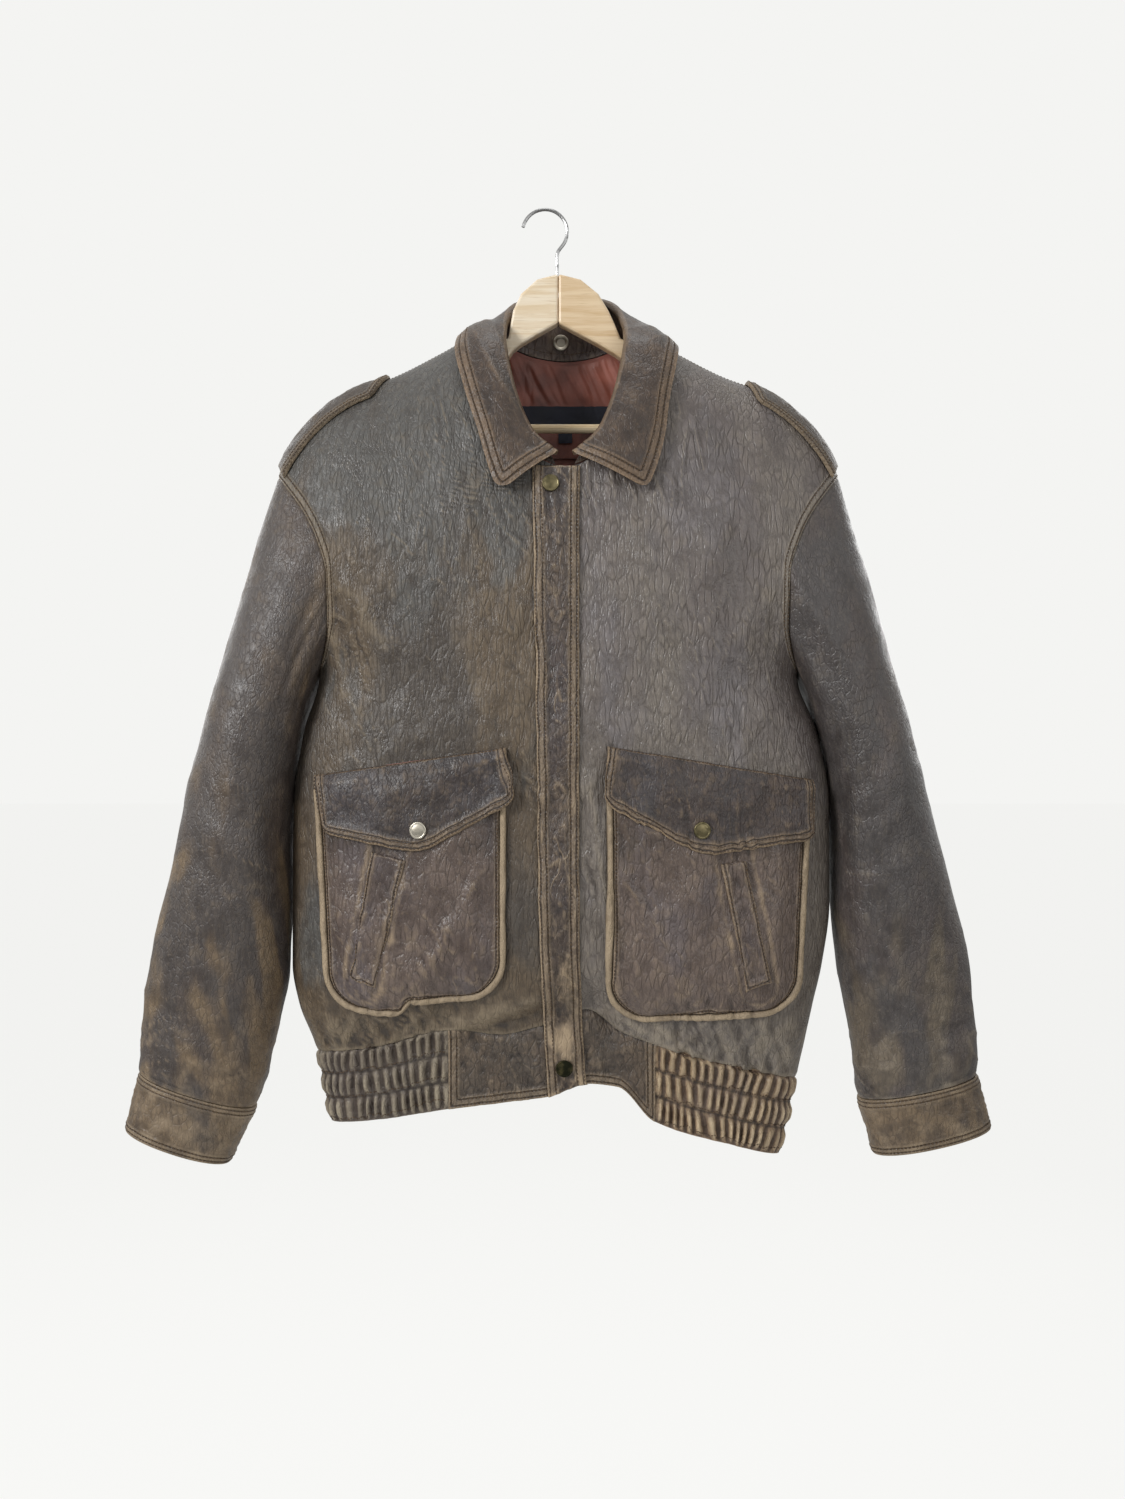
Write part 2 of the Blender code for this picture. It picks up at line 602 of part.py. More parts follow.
def make_body(maker):
    """The fronts, the back, the sleeves and the cuffs. Returns the fronts, the back and the back's inner face."""
    fronts = {side: front_panel(side) for side in (RIGHT, LEFT)}
    back = back_panel()
    sleeves = [sleeve_panel(RIGHT, fronts[RIGHT], back[:, 0]), sleeve_panel(LEFT, fronts[LEFT], back[:, -1])]
    names = ("front_right", "front_left", "back", "sleeve_right", "sleeve_left")
    grids = [fronts[RIGHT], fronts[LEFT], back, *sleeves]
    outs = [(0, FRONT, 0), (0, FRONT, 0), (0, BACK, 0), None, None]
    shared = share_normals(grids, outs)
    for name, grid, out, normals in zip(names, grids, outs, shared):
        outer = pull_in(grid, out is None)
        maker.shell(name, outer, outer - LEATHER * normals, ring=out is None)
    for side, top, bottom in CUFFS:
        outer = cuff_panel(top, bottom)
        maker.shell(f"cuff_{SIDE_NAMES[side]}", outer, outer - 3.0 * grid_normals(outer, None), ring=True)
    return fronts, back, back - LEATHER * shared[2]


def level(normals):
    """The normals turned level."""
    flat = normals * np.array([1, 1, 0])
    return flat / np.linalg.norm(flat, axis=-1, keepdims=True)


def make_waistband(maker, fronts, back):
    """The waistband: plain in front and behind, and gathered on elastic round each side."""
    seams = {FRONT: np.concatenate([fronts[RIGHT][-1, ::-1], fronts[LEFT][-1]]), BACK: back[-1]}

    def band(xs, faces, rows, side_column=None):
        """Outer points of a stretch of band, from the x of its columns at the seam and at the hem."""
        tops, hems = [], []
        for (x_top, x_hem), face in zip(xs, faces):
            tops.append((x_top, np.interp(x_top, seams[face][:, 0], seams[face][:, 2]) - SEAM))
            hems.append((x_hem, float(hem_z(x_hem, face))))
        share = np.linspace(0, 1, rows + 1)[:, None, None]
        grid = np.array(tops) * (1 - share) + np.array(hems) * share
        y = np.stack([form(grid[:, i, 0], grid[:, i, 1], face) for i, face in enumerate(faces)], 1)
        if side_column is not None:
            y[:, side_column] = 0
        return np.stack([grid[..., 0], y, grid[..., 1]], -1)

    middle = float(centre_line(-750))
    for side in (RIGHT, LEFT):
        ends = sorted((PLAIN_BAND[side], middle))
        between = [x for x in seams[FRONT][:, 0] if ends[0] + 2 < x < ends[1] - 2]
        xs = np.array([ends[0], *between, ends[1]])
        outer = pull_in(band([(x, x) for x in xs], [FRONT] * len(xs), 3))
        inner = outer - LEATHER * level(grid_normals(outer, (0, FRONT, 0)))
        maker.shell(f"waist_front_{SIDE_NAMES[side]}", outer, inner)
    between = [x for x in seams[BACK][:, 0] if abs(x) < BACK_BAND - 2]
    xs = np.array([-BACK_BAND, *between, BACK_BAND])
    outer = pull_in(band([(x, x) for x in xs], [BACK] * len(xs), 2))
    maker.shell("waist_back", outer, outer - LEATHER * level(grid_normals(outer, (0, BACK, 0))))

    for side in (RIGHT, LEFT):
        waist, hem = WAIST[0 if side == RIGHT else -1][1:]
        wide = np.array([half_width[side](waist), half_width[side](hem)])
        starts = {FRONT: abs(PLAIN_BAND[side]), BACK: BACK_BAND}

        def column_at(place):
            """X at the seam and at the hem, and the face, of a place from -1 in front through 0 at the side to 1."""
            face = FRONT if place < 0 else BACK
            share = math.sin((1 - abs(place)) * math.pi / 2)
            return side * (starts[face] + (wide - starts[face]) * share), face

        places = np.linspace(-1, 1, 201)
        path = []
        for place in places:
            (x_top, x_hem), face = column_at(place)
            x, z = (x_top + x_hem) / 2, (waist + hem) / 2
            path.append((x, float(form(x, z, face)) * (place != 0)))
        run = np.concatenate([[0], np.cumsum(np.linalg.norm(np.diff(path, axis=0), axis=1))])
        pleats = round(run[-1] / PLEAT)
        at = np.interp(np.linspace(0, run[-1], 2 * pleats + 1), run, places)
        at[np.argmin(np.abs(at))] = 0
        columns = [column_at(place) for place in at]
        outer = band([c[0] for c in columns], [c[1] for c in columns], 2, int(np.argmin(np.abs(at))))
        out = level(grid_normals(outer, outer))
        height = PLEAT_HEIGHT * np.where(np.arange(len(at)) % 2, 1, -1)
        outer = pull_in(outer + out * height[:, None], gap=SEAM + 0.3)
        maker.shell(f"waist_elastic_{SIDE_NAMES[side]}", outer, outer - LEATHER * out)


def make_storm_flap(maker):
    """The flap over the front opening, from under the collar to the hem."""
    start, end = STORM_FLAP[0][0], STORM_FLAP[-1][0]
    level_z = np.concatenate([np.linspace(start, -660, 11)[:-1], np.linspace(-660, end, 9)])[:, None]
    share = np.linspace(0, 1, 4)[None, :]
    xs = flap_free(level_z) * (1 - share) + flap_sewn(level_z) * share
    zs = level_z + (hem_front(xs) - level_z) * (level_z == end)
    maker.laid("storm_flap", xs, zs, STORM_LIFT, STORM_THICK)


def flap_top(corners, x):
    """Height of a pocket flap's top edge at x."""
    outer, inner = sorted(corners[:2])
    return np.interp(x, (outer[0], inner[0]), (outer[1], inner[1]))


def pocket_outline(side):
    """A pocket's outer and inner x, at each of its rows, and the drop of each row as a share of its full height."""
    _, top_x, bottom_x, inner_x, bottom_outer, bottom_inner = POCKETS[0 if side == RIGHT else 1]
    return top_x, bottom_x, inner_x, bottom_outer, bottom_inner


def pocket_point(side, across_share, down):
    """X and height on a pocket: across_share from 0 at its outer edge to 1 at its inner edge, down from 0 to 1."""
    top_x, bottom_x, inner_x, bottom_outer, bottom_inner = pocket_outline(side)
    outer_x = top_x + (bottom_x - top_x) * down
    x = outer_x + (inner_x - outer_x) * across_share
    corners = POCKET_FLAPS[0 if side == RIGHT else 1][1:]
    top = flap_top(corners, x) - POCKET_BELOW_FLAP
    bottom = bottom_outer + (bottom_inner - bottom_outer) * across_share
    return x, top + (bottom - top) * down


def corner_inset(down, height):
    """How far a pocket's side is drawn in at this share of its height, for its round lower corners."""
    left = POCKET_CORNER - (1 - down) * height
    left = np.clip(left, 0, POCKET_CORNER)
    return POCKET_CORNER - np.sqrt(POCKET_CORNER**2 - left**2)


def make_pocket(maker, side):
    """A patch pocket with its piping, its welt and its flap."""
    name = SIDE_NAMES[side]
    height, width = 185.0, 150.0
    corner = POCKET_CORNER / height
    turn = np.linspace(0, math.pi / 2, 5)
    down = np.concatenate([np.linspace(0, 1 - corner, 6)[:-1], 1 - corner * (1 - np.sin(turn))])[:, None]
    inset = corner_inset(down, height) / width
    across_share = inset + (1 - 2 * inset) * np.linspace(0, 1, 7)
    maker.laid(f"pocket_{name}", *pocket_point(side, across_share, down), POCKET_LIFT, POCKET_THICK)

    # The piping follows the pocket's sides and bottom.
    side_down = down[:, 0]
    side_in = inset[:, 0]
    shares = np.concatenate([side_in, np.linspace(side_in[-1], 1 - side_in[-1], 6)[1:-1], 1 - side_in[::-1]])
    downs = np.concatenate([side_down, np.ones(4), side_down[::-1]])
    line = np.stack(pocket_point(side, shares, downs), -1)
    way = np.gradient(line, axis=0)
    way /= np.linalg.norm(way, axis=1, keepdims=True)
    out = np.stack([way[:, 1], -way[:, 0]], -1)
    middle = line.mean(axis=0)
    out *= np.sign(((line - middle) * out).sum())
    spread = 0.8 + PIPING * np.array([0, 0.5, 1])
    xs = line[:, None, 0] + out[:, None, 0] * spread
    zs = line[:, None, 1] + out[:, None, 1] * spread
    lifts = PIPING_LIFT + PIPING_THICK * np.array([0.55, 1.0, 0.55])
    outer = on_body(xs, zs, FRONT, lifts[None, :, None])
    maker.shell(f"pocket_piping_{name}", outer, on_body(xs, zs, FRONT, PIPING_LIFT), "piping")

    _, top, bottom = WELTS[0 if side == RIGHT else 1]
    along = np.linspace(0, 1, 5)[:, None]
    over = np.linspace(0, 1, 3)[None, :]
    ends = [np.array(end[:2])[None] @ np.array([1 - over[0], over[0]]) for end in (top, bottom)]
    heights = [np.array(end[2:])[None] @ np.array([1 - over[0], over[0]]) for end in (top, bottom)]
    xs = ends[0] * (1 - along) + ends[1] * along
    zs = (heights[0] - 6) * (1 - along) + heights[1] * along
    maker.laid(f"pocket_welt_{name}", xs, zs, WELT_LIFT, WELT_THICK)

    _, top_outer, top_inner, low_outer, point, low_inner = POCKET_FLAPS[0 if side == RIGHT else 1]
    halves = np.concatenate([np.linspace(0, 1, 5), np.linspace(1, 2, 5)[1:]])
    low = np.array([low_outer, point, low_inner], float)
    low_x, low_z = (np.interp(halves, (0, 1, 2), low[:, k]) for k in (0, 1))
    share = (low_x - low_x[0]) / (low_x[-1] - low_x[0])
    top_x = top_outer[0] + (top_inner[0] - top_outer[0]) * share
    top_z = top_outer[1] + (top_inner[1] - top_outer[1]) * share
    fall = np.array(FLAP_SHARES)[:, None]
    xs, zs = top_x * (1 - fall) + low_x * fall, top_z * (1 - fall) + low_z * fall
    lifts = np.array(FLAP_LIFTS)[:, None, None]
    outer, inner = on_body(xs, zs, FRONT, lifts + FLAP_THICK), on_body(xs, zs, FRONT, lifts)
    maker.shell(f"pocket_flap_{name}", outer, inner)


def on_ridge(xs, ys, lift):
    """Points over the shoulder line, from their X and Y, moved out by lift."""
    def surface(xs, ys):
        line = shoulder_z(np.abs(xs))
        full = section(xs, line) * np.where(ys < 0, depth[FRONT](line), depth[BACK](line))
        return line - SHOULDER_ROLL * (1 - np.sqrt(1 - np.clip(np.abs(ys) / full, 0, 1) ** 2))

    step = 1.0
    slope_x = (surface(xs + step, ys) - surface(xs - step, ys)) / (2 * step)
    slope_y = (surface(xs, ys + step) - surface(xs, ys - step)) / (2 * step)
    out = np.stack([-slope_x, -slope_y, np.ones(xs.shape)], -1)
    out /= np.linalg.norm(out, axis=-1, keepdims=True)
    return np.stack([xs, ys, surface(xs, ys)], -1) + lift * out


def make_strap(maker, side, tip_x, square_x):
    """A shoulder strap, from its point near the collar to the sleeve head."""
    ys = STRAP_HALF_WIDTH * np.linspace(-1, 1, 9)[None, :]
    pointed = np.abs(ys) / STRAP_HALF_WIDTH
    start = tip_x + (square_x - tip_x) * pointed**1.5
    end = side * (ARMHOLE[0][1] - 3 - 0.012 * ys**2)
    share = np.linspace(0, 1, 9)[:, None]
    xs = start * (1 - share) + end * share
    ys = np.broadcast_to(ys, xs.shape)
    outer, inner = on_ridge(xs, ys, STRAP_LIFT + STRAP_THICK), on_ridge(xs, ys, STRAP_LIFT)
    maker.shell(f"epaulette_{SIDE_NAMES[side]}", outer, inner)


def neck_stations():
    """Fold, seam and outer edge of the collar, from the front on the wearer's left round to the front on the right."""
    fold, seam, edge = [], [], []
    order = [(LEFT, k) for k in range(len(NECK))] + [(RIGHT, k) for k in range(len(NECK) - 2, -1, -1)]
    for side, k in order:
        fold_x, fold_y, fold_z, _, _, edge_right, edge_left, edge_z = NECK[k]
        face = FRONT if k <= SHOULDER_STATION else BACK
        fold.append((NECK_X + side * fold_x, fold_y, fold_z))
        x, z = neck_seam(side, k)
        seam.append((x, 0 if k == SHOULDER_STATION else float(form(x, z, face)), z))
        x = NECK_X + side * (edge_left if side == LEFT else edge_right)
        if k == SHOULDER_STATION:
            edge.append((x, 0, float(shoulder_z(abs(x))) + COLLAR_LIFT))
        else:
            edge.append(tuple(on_body(x, edge_z, face, COLLAR_LIFT)))
    return np.array(fold, float), np.array(seam, float), np.array(edge, float)


def unit(vectors):
    """The vectors at length 1."""
    return vectors / np.linalg.norm(vectors, axis=-1, keepdims=True)


def make_collar(maker):
    """The collar: a stand that rises from the neck seam, and a fall that rolls over it and lies on the shoulders."""
    fold, seam, edge = neck_stations()
    rise = unit(fold - seam)
    out = unit(np.cross(np.gradient(fold, axis=0), rise))
    middle = np.array([NECK_X, -8, 0])
    out *= np.sign(((fold - middle) * np.array([1, 1, 0]) * out).sum())
    rise = unit(np.cross(out, unit(np.gradient(fold, axis=0))))
    rise *= np.sign(((fold - seam) * rise).sum())
    roll_centre = fold - rise * COLLAR_ROLL
    centre = roll_centre.copy()

    # The stand stops short of the front ends of the fall.
    for end, inner in ((0, 1), (-1, -2)):
        for line in (seam, centre):
            line[end] += (line[inner] - line[end]) * 0.4
    low = seam + rise * STAND_GAP - out * COLLAR_THICK / 2
    high = centre - out * COLLAR_ROLL - rise * 0.9
    share = np.linspace(0, 1, 3)[:, None, None]
    outer = pull_in(low * (1 - share) + high * share)
    maker.shell("collar_stand", outer, outer + COLLAR_THICK * out)
    make_stand_snap(maker, seam, centre, out)

    rows = []
    for degrees in (0, 50, 100, 145):
        t = math.radians(degrees)
        rows.append(roll_centre + COLLAR_ROLL * (math.sin(t) * rise - math.cos(t) * out))
    last = rows[-1]
    lift = unit(np.cross(np.gradient(edge, axis=0), edge - fold))
    lift *= np.sign((lift * (rise + out)).sum())
    for share in (0.33, 0.67, 1.0):
        rows.append(last + (edge - last) * share + lift * COLLAR_BULGE * math.sin(math.pi * share))
    outer = np.array(rows)
    ways = np.zeros_like(outer)
    ways[:4] = outer[:4] - roll_centre
    normals = grid_normals(outer, ways)
    normals[:3] = unit(ways[:3])
    outer = pull_in(outer)
    maker.shell("collar", outer, outer - COLLAR_THICK * normals)


def make_stand_snap(maker, seam, centre, out):
    """The ring of the stand's press stud, on its neck side behind."""
    behind = seam[:, 1] > 0
    order = np.argsort(seam[behind, 0])
    low, high, way = (
        np.array([np.interp(STAND_SNAP[0], seam[behind, 0][order], line[behind, k][order]) for k in range(3)])
        for line in (seam, centre - COLLAR_ROLL * out, out)
    )
    share = (STAND_SNAP[1] - low[2]) / (high[2] - low[2])
    ring = ((0, 0.6), (2.6, 0.6), (3.0, 1.8), (SNAP_RADIUS - 1.4, 1.8), (SNAP_RADIUS - 0.3, 0), (0, 0))
    place = low + (high - low) * share - way * 1.4
    maker.turned("stand_snap", ring, place, -way, "brass")


def make_neck_inside(maker, back_inner):
    """The lining, label and size tab inside the back of the neck."""
    columns = np.abs(back_inner[0, :, 0] - NECK_X) < LINING_HALF_WIDTH
    outer = back_inner[:LINING_ROWS, columns]
    way = grid_normals(outer, (0, BACK, 0))
    outer = pull_in(outer - 0.4 * way, gap=3.0)
    maker.shell("neck_lining", outer, outer - LINING_THICK * way, "lining")
    lift = -LEATHER - 0.4 - LINING_THICK - 1.6
    for name, (x0, x1, z0, z1) in (("neck_label", LABEL), ("size_tab", TAB)):
        xs, zs = np.meshgrid(np.linspace(x0, x1, 7 if name == "neck_label" else 3), np.linspace(z1, z0, 3))
        maker.laid(name, xs, zs, lift - LABEL_THICK, LABEL_THICK, "label", BACK)


def make_snaps(maker):
    """The press stud caps."""
    cap = ((0, 0), (SNAP_RADIUS, 0), (SNAP_RADIUS, 1.2), (SNAP_RADIUS - 1, 2.2), (3.5, SNAP_HEIGHT), (0, SNAP_HEIGHT))
    for name, x, z, lift in SNAPS:
        low, high = on_body(x, z, FRONT, lift + 0.3), on_body(x, z, FRONT, lift + 1.3)
        maker.turned(name, cap, low, high - low, "brass")


def make_hanger(maker):
    """The hanger: two arms that meet at the middle, the trouser bar let into them, and the wire hook."""
    bar = cylinder_cutter("bar_hole", BAR_RADIUS + FIT, (0, 0, BAR_Z), (1, 0, 0), 2 * (BAR_REACH + 1))
    shank = cylinder_cutter("shank_hole", HOOK_WIRE + FIT, (SHANK_X, 0, HANGER[0][2]), (0, 0, 1), 2 * SHANK_DEPTH)
    for side in (RIGHT, LEFT):
        reach = 0 if side == RIGHT else 1
        upper = [(row[reach], row[2]) for row in HANGER]
        lower = [(row[reach], row[3]) for row in reversed(HANGER)]
        outline = np.array(upper + lower, float)
        outline[outline[:, 0] == 0, 0] = HANGER_JOINT
        count = len(outline)
        half = HANGER_THICK / 2
        points = [(side * x, y, z) for y in (-half, half) for x, z in outline]
        faces = [tuple(range(count)), tuple(range(2 * count - 1, count - 1, -1))]
        faces += [(k, k + count, (k + 1) % count + count, (k + 1) % count) for k in range(count)]
        arm = maker.solid(f"hanger_arm_{SIDE_NAMES[side]}", points, faces, "beech")
        bevel = arm.modifiers.new("Edges", "BEVEL")
        bevel.width, bevel.segments, bevel.angle_limit = 2.2 * MM, 2, math.radians(50)
        bevel.limit_method = "ANGLE"
        for cutter in (bar, shank):
            cut = arm.modifiers.new(cutter.name, "BOOLEAN")
            cut.object = cutter
    for cutter in (bar, shank):
        cutter.parent = maker.middle
    rod("trouser_bar", maker, [(-BAR_REACH, 0, BAR_Z), (BAR_REACH, 0, BAR_Z)], BAR_RADIUS, "beech", 4)
    make_hook(maker)


def cylinder_cutter(name, radius, place, way, length):
    """A hidden cylinder that a Boolean cuts with."""
    mesh = bpy.data.meshes.new(name)
    shape = bmesh.new()
    bmesh.ops.create_cone(
        shape, cap_ends=True, segments=20, radius1=radius * MM, radius2=radius * MM, depth=length * MM
    )
    shape.to_mesh(mesh)
    shape.free()
    cutter = bpy.data.objects.new(name, mesh)
    cutter.location = Vector(place) * MM
    cutter.rotation_euler = Vector(way).to_track_quat("Z", "Y").to_euler()
    cutter.hide_render = True
    cutter.display_type = "WIRE"
    bpy.context.scene.collection.objects.link(cutter)
    return cutter


def rod(name, maker, path, radius, finish, resolution):
    """A round rod along a path."""
    curve = bpy.data.curves.new(name, "CURVE")
    curve.dimensions = "3D"
    curve.bevel_depth, curve.bevel_resolution, curve.use_fill_caps = radius * MM, resolution, True
    spline = curve.splines.new("POLY")
    spline.points.add(len(path) - 1)
    for point, place in zip(spline.points, path):
        point.co = (*(np.array(place) * MM), 1)
    return maker.add(name, curve, finish)


def make_hook(maker):
    """The wire hook: an open round from its tip over the top, and back to the shank, which goes into the hanger."""
    top = -HOOK_WIDE + HOOK_WIRE
    round_part = [
        (-CENTRE_X + HOOK_WIDE * math.cos(t), 0, top + HOOK_WIDE * math.sin(t))
        for t in np.radians(np.linspace(168, -38, 27))
    ]
    start, end = np.array(round_part[-1]), np.array([SHANK_X, 0, -43.0])
    lead = np.array([math.sin(math.radians(-38)), 0, -math.cos(math.radians(-38))]) * 7
    drop = np.array([0, 0, -7.0])
    bend = []
    for t in np.linspace(0, 1, 7)[1:]:
        a, b, c = start, start + lead, end - drop
        bend.append(a * (1 - t) ** 3 + 3 * b * t * (1 - t) ** 2 + 3 * c * t * t * (1 - t) + end * t**3)
    foot = (SHANK_X, 0, HANGER[0][2] - SHANK_DEPTH + 1)
    rod("hook", maker, [*round_part, *bend, foot], HOOK_WIRE, "steel", 2)


def main():
    for old in list(bpy.data.objects):
        bpy.data.objects.remove(old)
    maker = Maker()
    fronts, back, back_inner = make_body(maker)
    make_waistband(maker, fronts, back)
    make_storm_flap(maker)
    for side in (RIGHT, LEFT):
        make_pocket(maker, side)
    for side, tip_x, square_x in STRAPS:
        make_strap(maker, side, tip_x, square_x)
    make_collar(maker)
    make_neck_inside(maker, back_inner)
    make_snaps(maker)
    make_hanger(maker)


main()
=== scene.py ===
"""Dresses the worn leather blouson on its wooden hanger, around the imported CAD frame.

Lengths are in millimetres and heights are measured down from the hook's resting point, until a mesh is made.
The jacket's front faces -Y, and X runs to the right as the front is looked at, so the wearer's left is +X.
"""

import logging
import math
from collections.abc import Callable
from dataclasses import dataclass, field
from enum import IntEnum

import bmesh
import bpy
import numpy as np
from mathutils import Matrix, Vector


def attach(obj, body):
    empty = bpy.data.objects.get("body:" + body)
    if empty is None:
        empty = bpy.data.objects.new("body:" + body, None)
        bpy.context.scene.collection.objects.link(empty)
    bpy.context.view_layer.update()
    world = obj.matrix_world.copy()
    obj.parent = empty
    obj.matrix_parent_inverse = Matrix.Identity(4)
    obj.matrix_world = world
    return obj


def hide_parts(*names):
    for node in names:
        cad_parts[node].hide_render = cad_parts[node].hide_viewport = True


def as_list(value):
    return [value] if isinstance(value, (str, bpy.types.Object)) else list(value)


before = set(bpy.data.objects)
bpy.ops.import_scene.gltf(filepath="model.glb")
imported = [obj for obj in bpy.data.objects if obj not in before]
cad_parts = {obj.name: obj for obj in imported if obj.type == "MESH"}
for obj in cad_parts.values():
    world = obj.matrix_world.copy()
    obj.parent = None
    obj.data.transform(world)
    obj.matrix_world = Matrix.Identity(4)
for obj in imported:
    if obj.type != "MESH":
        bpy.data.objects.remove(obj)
log = logging.getLogger("jacket")

MM = 0.001
FAR = 200.0  # added to a distance, it takes a place out of every seam's reach
SLEEVE_ROUND = 320.0  # length round a sleeve's mesh, which its wrinkles are spaced by
CENTRE_X = 12.0  # the jacket hangs this far to the right of the hook's resting point
NECK_X = 6.0  # the collar sits a little off the jacket's middle
Grid = np.ndarray
Pattern = Callable[[Grid, Grid, int], Grid]
Socket = bpy.types.NodeSocket


class Side(IntEnum):
    """The wearer's side, as the sign of X."""

    RIGHT = -1
    LEFT = 1


class Face(IntEnum):
    """A face of the body, as the sign of Y."""

    FRONT = -1
    BACK = 1


SIDE_NAMES = {Side.LEFT: "left", Side.RIGHT: "right"}


# ---------------------------------------------------------------- lines, noise and grids


class Line:
    """A smooth line through a table's rows, which doesn't overshoot between them."""

    def __init__(self, places: list[float], values: list[float]) -> None:
        """Works out the slopes at the rows.

        Args:
            places: Where each row lies, in any order.
            values: The value at each place.
        """
        order = np.argsort(places)
        self.x = np.array(places, float)[order]
        self.y = np.array(values, float)[order]
        step = np.diff(self.x)
        rise = np.diff(self.y) / step
        self.slope = np.concatenate([rise[:1], np.zeros(len(step) - 1), rise[-1:]])
        for i in range(1, len(step)):
            if rise[i - 1] * rise[i] > 0:
                near, far = 2 * step[i] + step[i - 1], step[i] + 2 * step[i - 1]
                self.slope[i] = (near + far) / (near / rise[i - 1] + far / rise[i])

    def __call__(self, x: Grid) -> Grid:
        """The line's values.

        Args:
            x: Places along the line.

        Returns:
            The value at each place, held level past the ends.
        """
        x = np.clip(np.asarray(x, float), self.x[0], self.x[-1])
        k = np.clip(np.searchsorted(self.x, x) - 1, 0, len(self.x) - 2)
        step = self.x[k + 1] - self.x[k]
        t = (x - self.x[k]) / step
        start = (1 + 2 * t) * (1 - t) ** 2 * self.y[k] + t * (1 - t) ** 2 * step * self.slope[k]
        end = t * t * (3 - 2 * t) * self.y[k + 1] - t * t * (1 - t) * step * self.slope[k + 1]
        return start + end


def column(table: tuple, place: int, value: int) -> Line:
    """The smooth line of one column of a table against another."""
    return Line([row[place] for row in table], [row[value] for row in table])


def smooth(x: Grid, low: float, high: float) -> Grid:
    """Rises smoothly from 0 at low to 1 at high."""
    t = np.clip((x - low) / (high - low), 0, 1)
    return t * t * (3 - 2 * t)


def bell(x: Grid, width: float, power: float = 2) -> Grid:
    """1 at 0, and falling to about a third at the width."""
    return np.exp(-((x / width) ** power))


def travelled(points: Grid) -> Grid:
    """Distance of each point from the first, along their line."""
    return np.concatenate([[0], np.cumsum(np.linalg.norm(np.diff(points, axis=0), axis=1))])


def each(lift: Grid | float) -> Grid:
    """A lift for each point as a factor of its way out."""
    lift = np.asarray(lift, float)
    return lift[..., None] if lift.ndim else lift


def rounded(turn: Grid) -> tuple[Grid, Grid]:
    """Across and depth of a slightly squared ring at each turn."""
    wide, deep = np.cos(turn), np.sin(turn)
    return np.sign(wide) * np.abs(wide) ** 0.92, -np.sign(deep) * np.abs(deep) ** 0.92


def noise(u: Grid, v: Grid, seed: int) -> Grid:
    """Smooth noise over a plane, with lumps about one unit across.

    Args:
        u: First coordinate.
        v: Second coordinate.
        seed: Which noise it is. The same seed always gives the same noise.

    Returns:
        Values of about -1 to 1.
    """
    u, v = np.broadcast_arrays(np.asarray(u, float), np.asarray(v, float))
    iu, iv = np.floor(u).astype(np.int64), np.floor(v).astype(np.int64)
    fu, fv = u - iu, v - iv
    su, sv = fu * fu * fu * (fu * (6 * fu - 15) + 10), fv * fv * fv * (fv * (6 * fv - 15) + 10)
    total = 0.0
    for a in (0, 1):
        for b in (0, 1):
            h = ((iu + a) * 374761393 + (iv + b) * 668265263 + seed * 974634777) & 0xFFFFFFFF
            h = ((h ^ (h >> 13)) * 1274126177) & 0xFFFFFFFF
            angle = ((h ^ (h >> 16)) & 0xFFFF) * (2 * math.pi / 65536)
            dot = np.cos(angle) * (fu - a) + np.sin(angle) * (fv - b)
            total = total + dot * (su if a else 1 - su) * (sv if b else 1 - sv)
    return total * 1.5


def layered(u: Grid, v: Grid, seed: int, octaves: int = 3) -> Grid:
    """Noise with finer noise on it.

    Args:
        u: First coordinate.
        v: Second coordinate.
        seed: Which noise it is.
        octaves: How many layers there are, each half the size of the last.

    Returns:
        Values of about -1 to 1.
    """
    parts = [noise(u * 2**k, v * 2**k, seed + k) * 0.5**k for k in range(octaves)]
    return sum(parts) / 1.4


def creased(u: Grid, v: Grid, seed: int) -> Grid:
    """Sharp-edged wrinkles: 1 on the crest of a wrinkle and 0 away from it."""
    bent = noise(u * 0.7 + 9, v * 0.7, seed + 7)
    return np.clip(1 - 2.6 * np.abs(noise(u + 0.7 * bent, v + 0.5 * bent, seed)), 0, 1) ** 2


def refine(rows: Grid, times: int) -> Grid:
    """More rows, on smooth curves through the given ones.

    Args:
        rows: Points or values.
        times: How many steps each step becomes.

    Returns:
        The finer rows.
    """
    padded = np.concatenate([2 * rows[:1] - rows[1:2], rows, 2 * rows[-1:] - rows[-2:-1]])
    count = len(rows) - 1
    place = np.arange(count * times + 1) / times
    k = np.minimum(place.astype(int), count - 1)
    t = (place - k)[:, None]
    a, b, c, d = (padded[k + n] for n in range(4))
    return b + 0.5 * t * (c - a + t * (2 * a - 5 * b + 4 * c - d + t * (3 * (b - c) + d - a)))


def unit(vectors: Grid) -> Grid:
    """The vectors at length 1."""
    return vectors / np.maximum(np.linalg.norm(vectors, axis=-1, keepdims=True), 1e-9)


def grid_normals(grid: Grid, out: Grid | tuple | None) -> Grid:
    """Unit normals of a grid of points.

    Args:
        grid: The points.
        out: The rough way outwards, or None for a ring along its columns, where it is the way from its
            middle.

    Returns:
        A normal for each point.
    """
    ring = out is None
    along = np.roll(grid, -1, 1) - np.roll(grid, 1, 1) if ring else np.gradient(grid, axis=1)
    if ring:
        out = grid - grid.mean(axis=1, keepdims=True)
    normals = unit(np.cross(np.gradient(grid, axis=0), along))
    return normals * np.sign((normals * np.asarray(out)).sum())


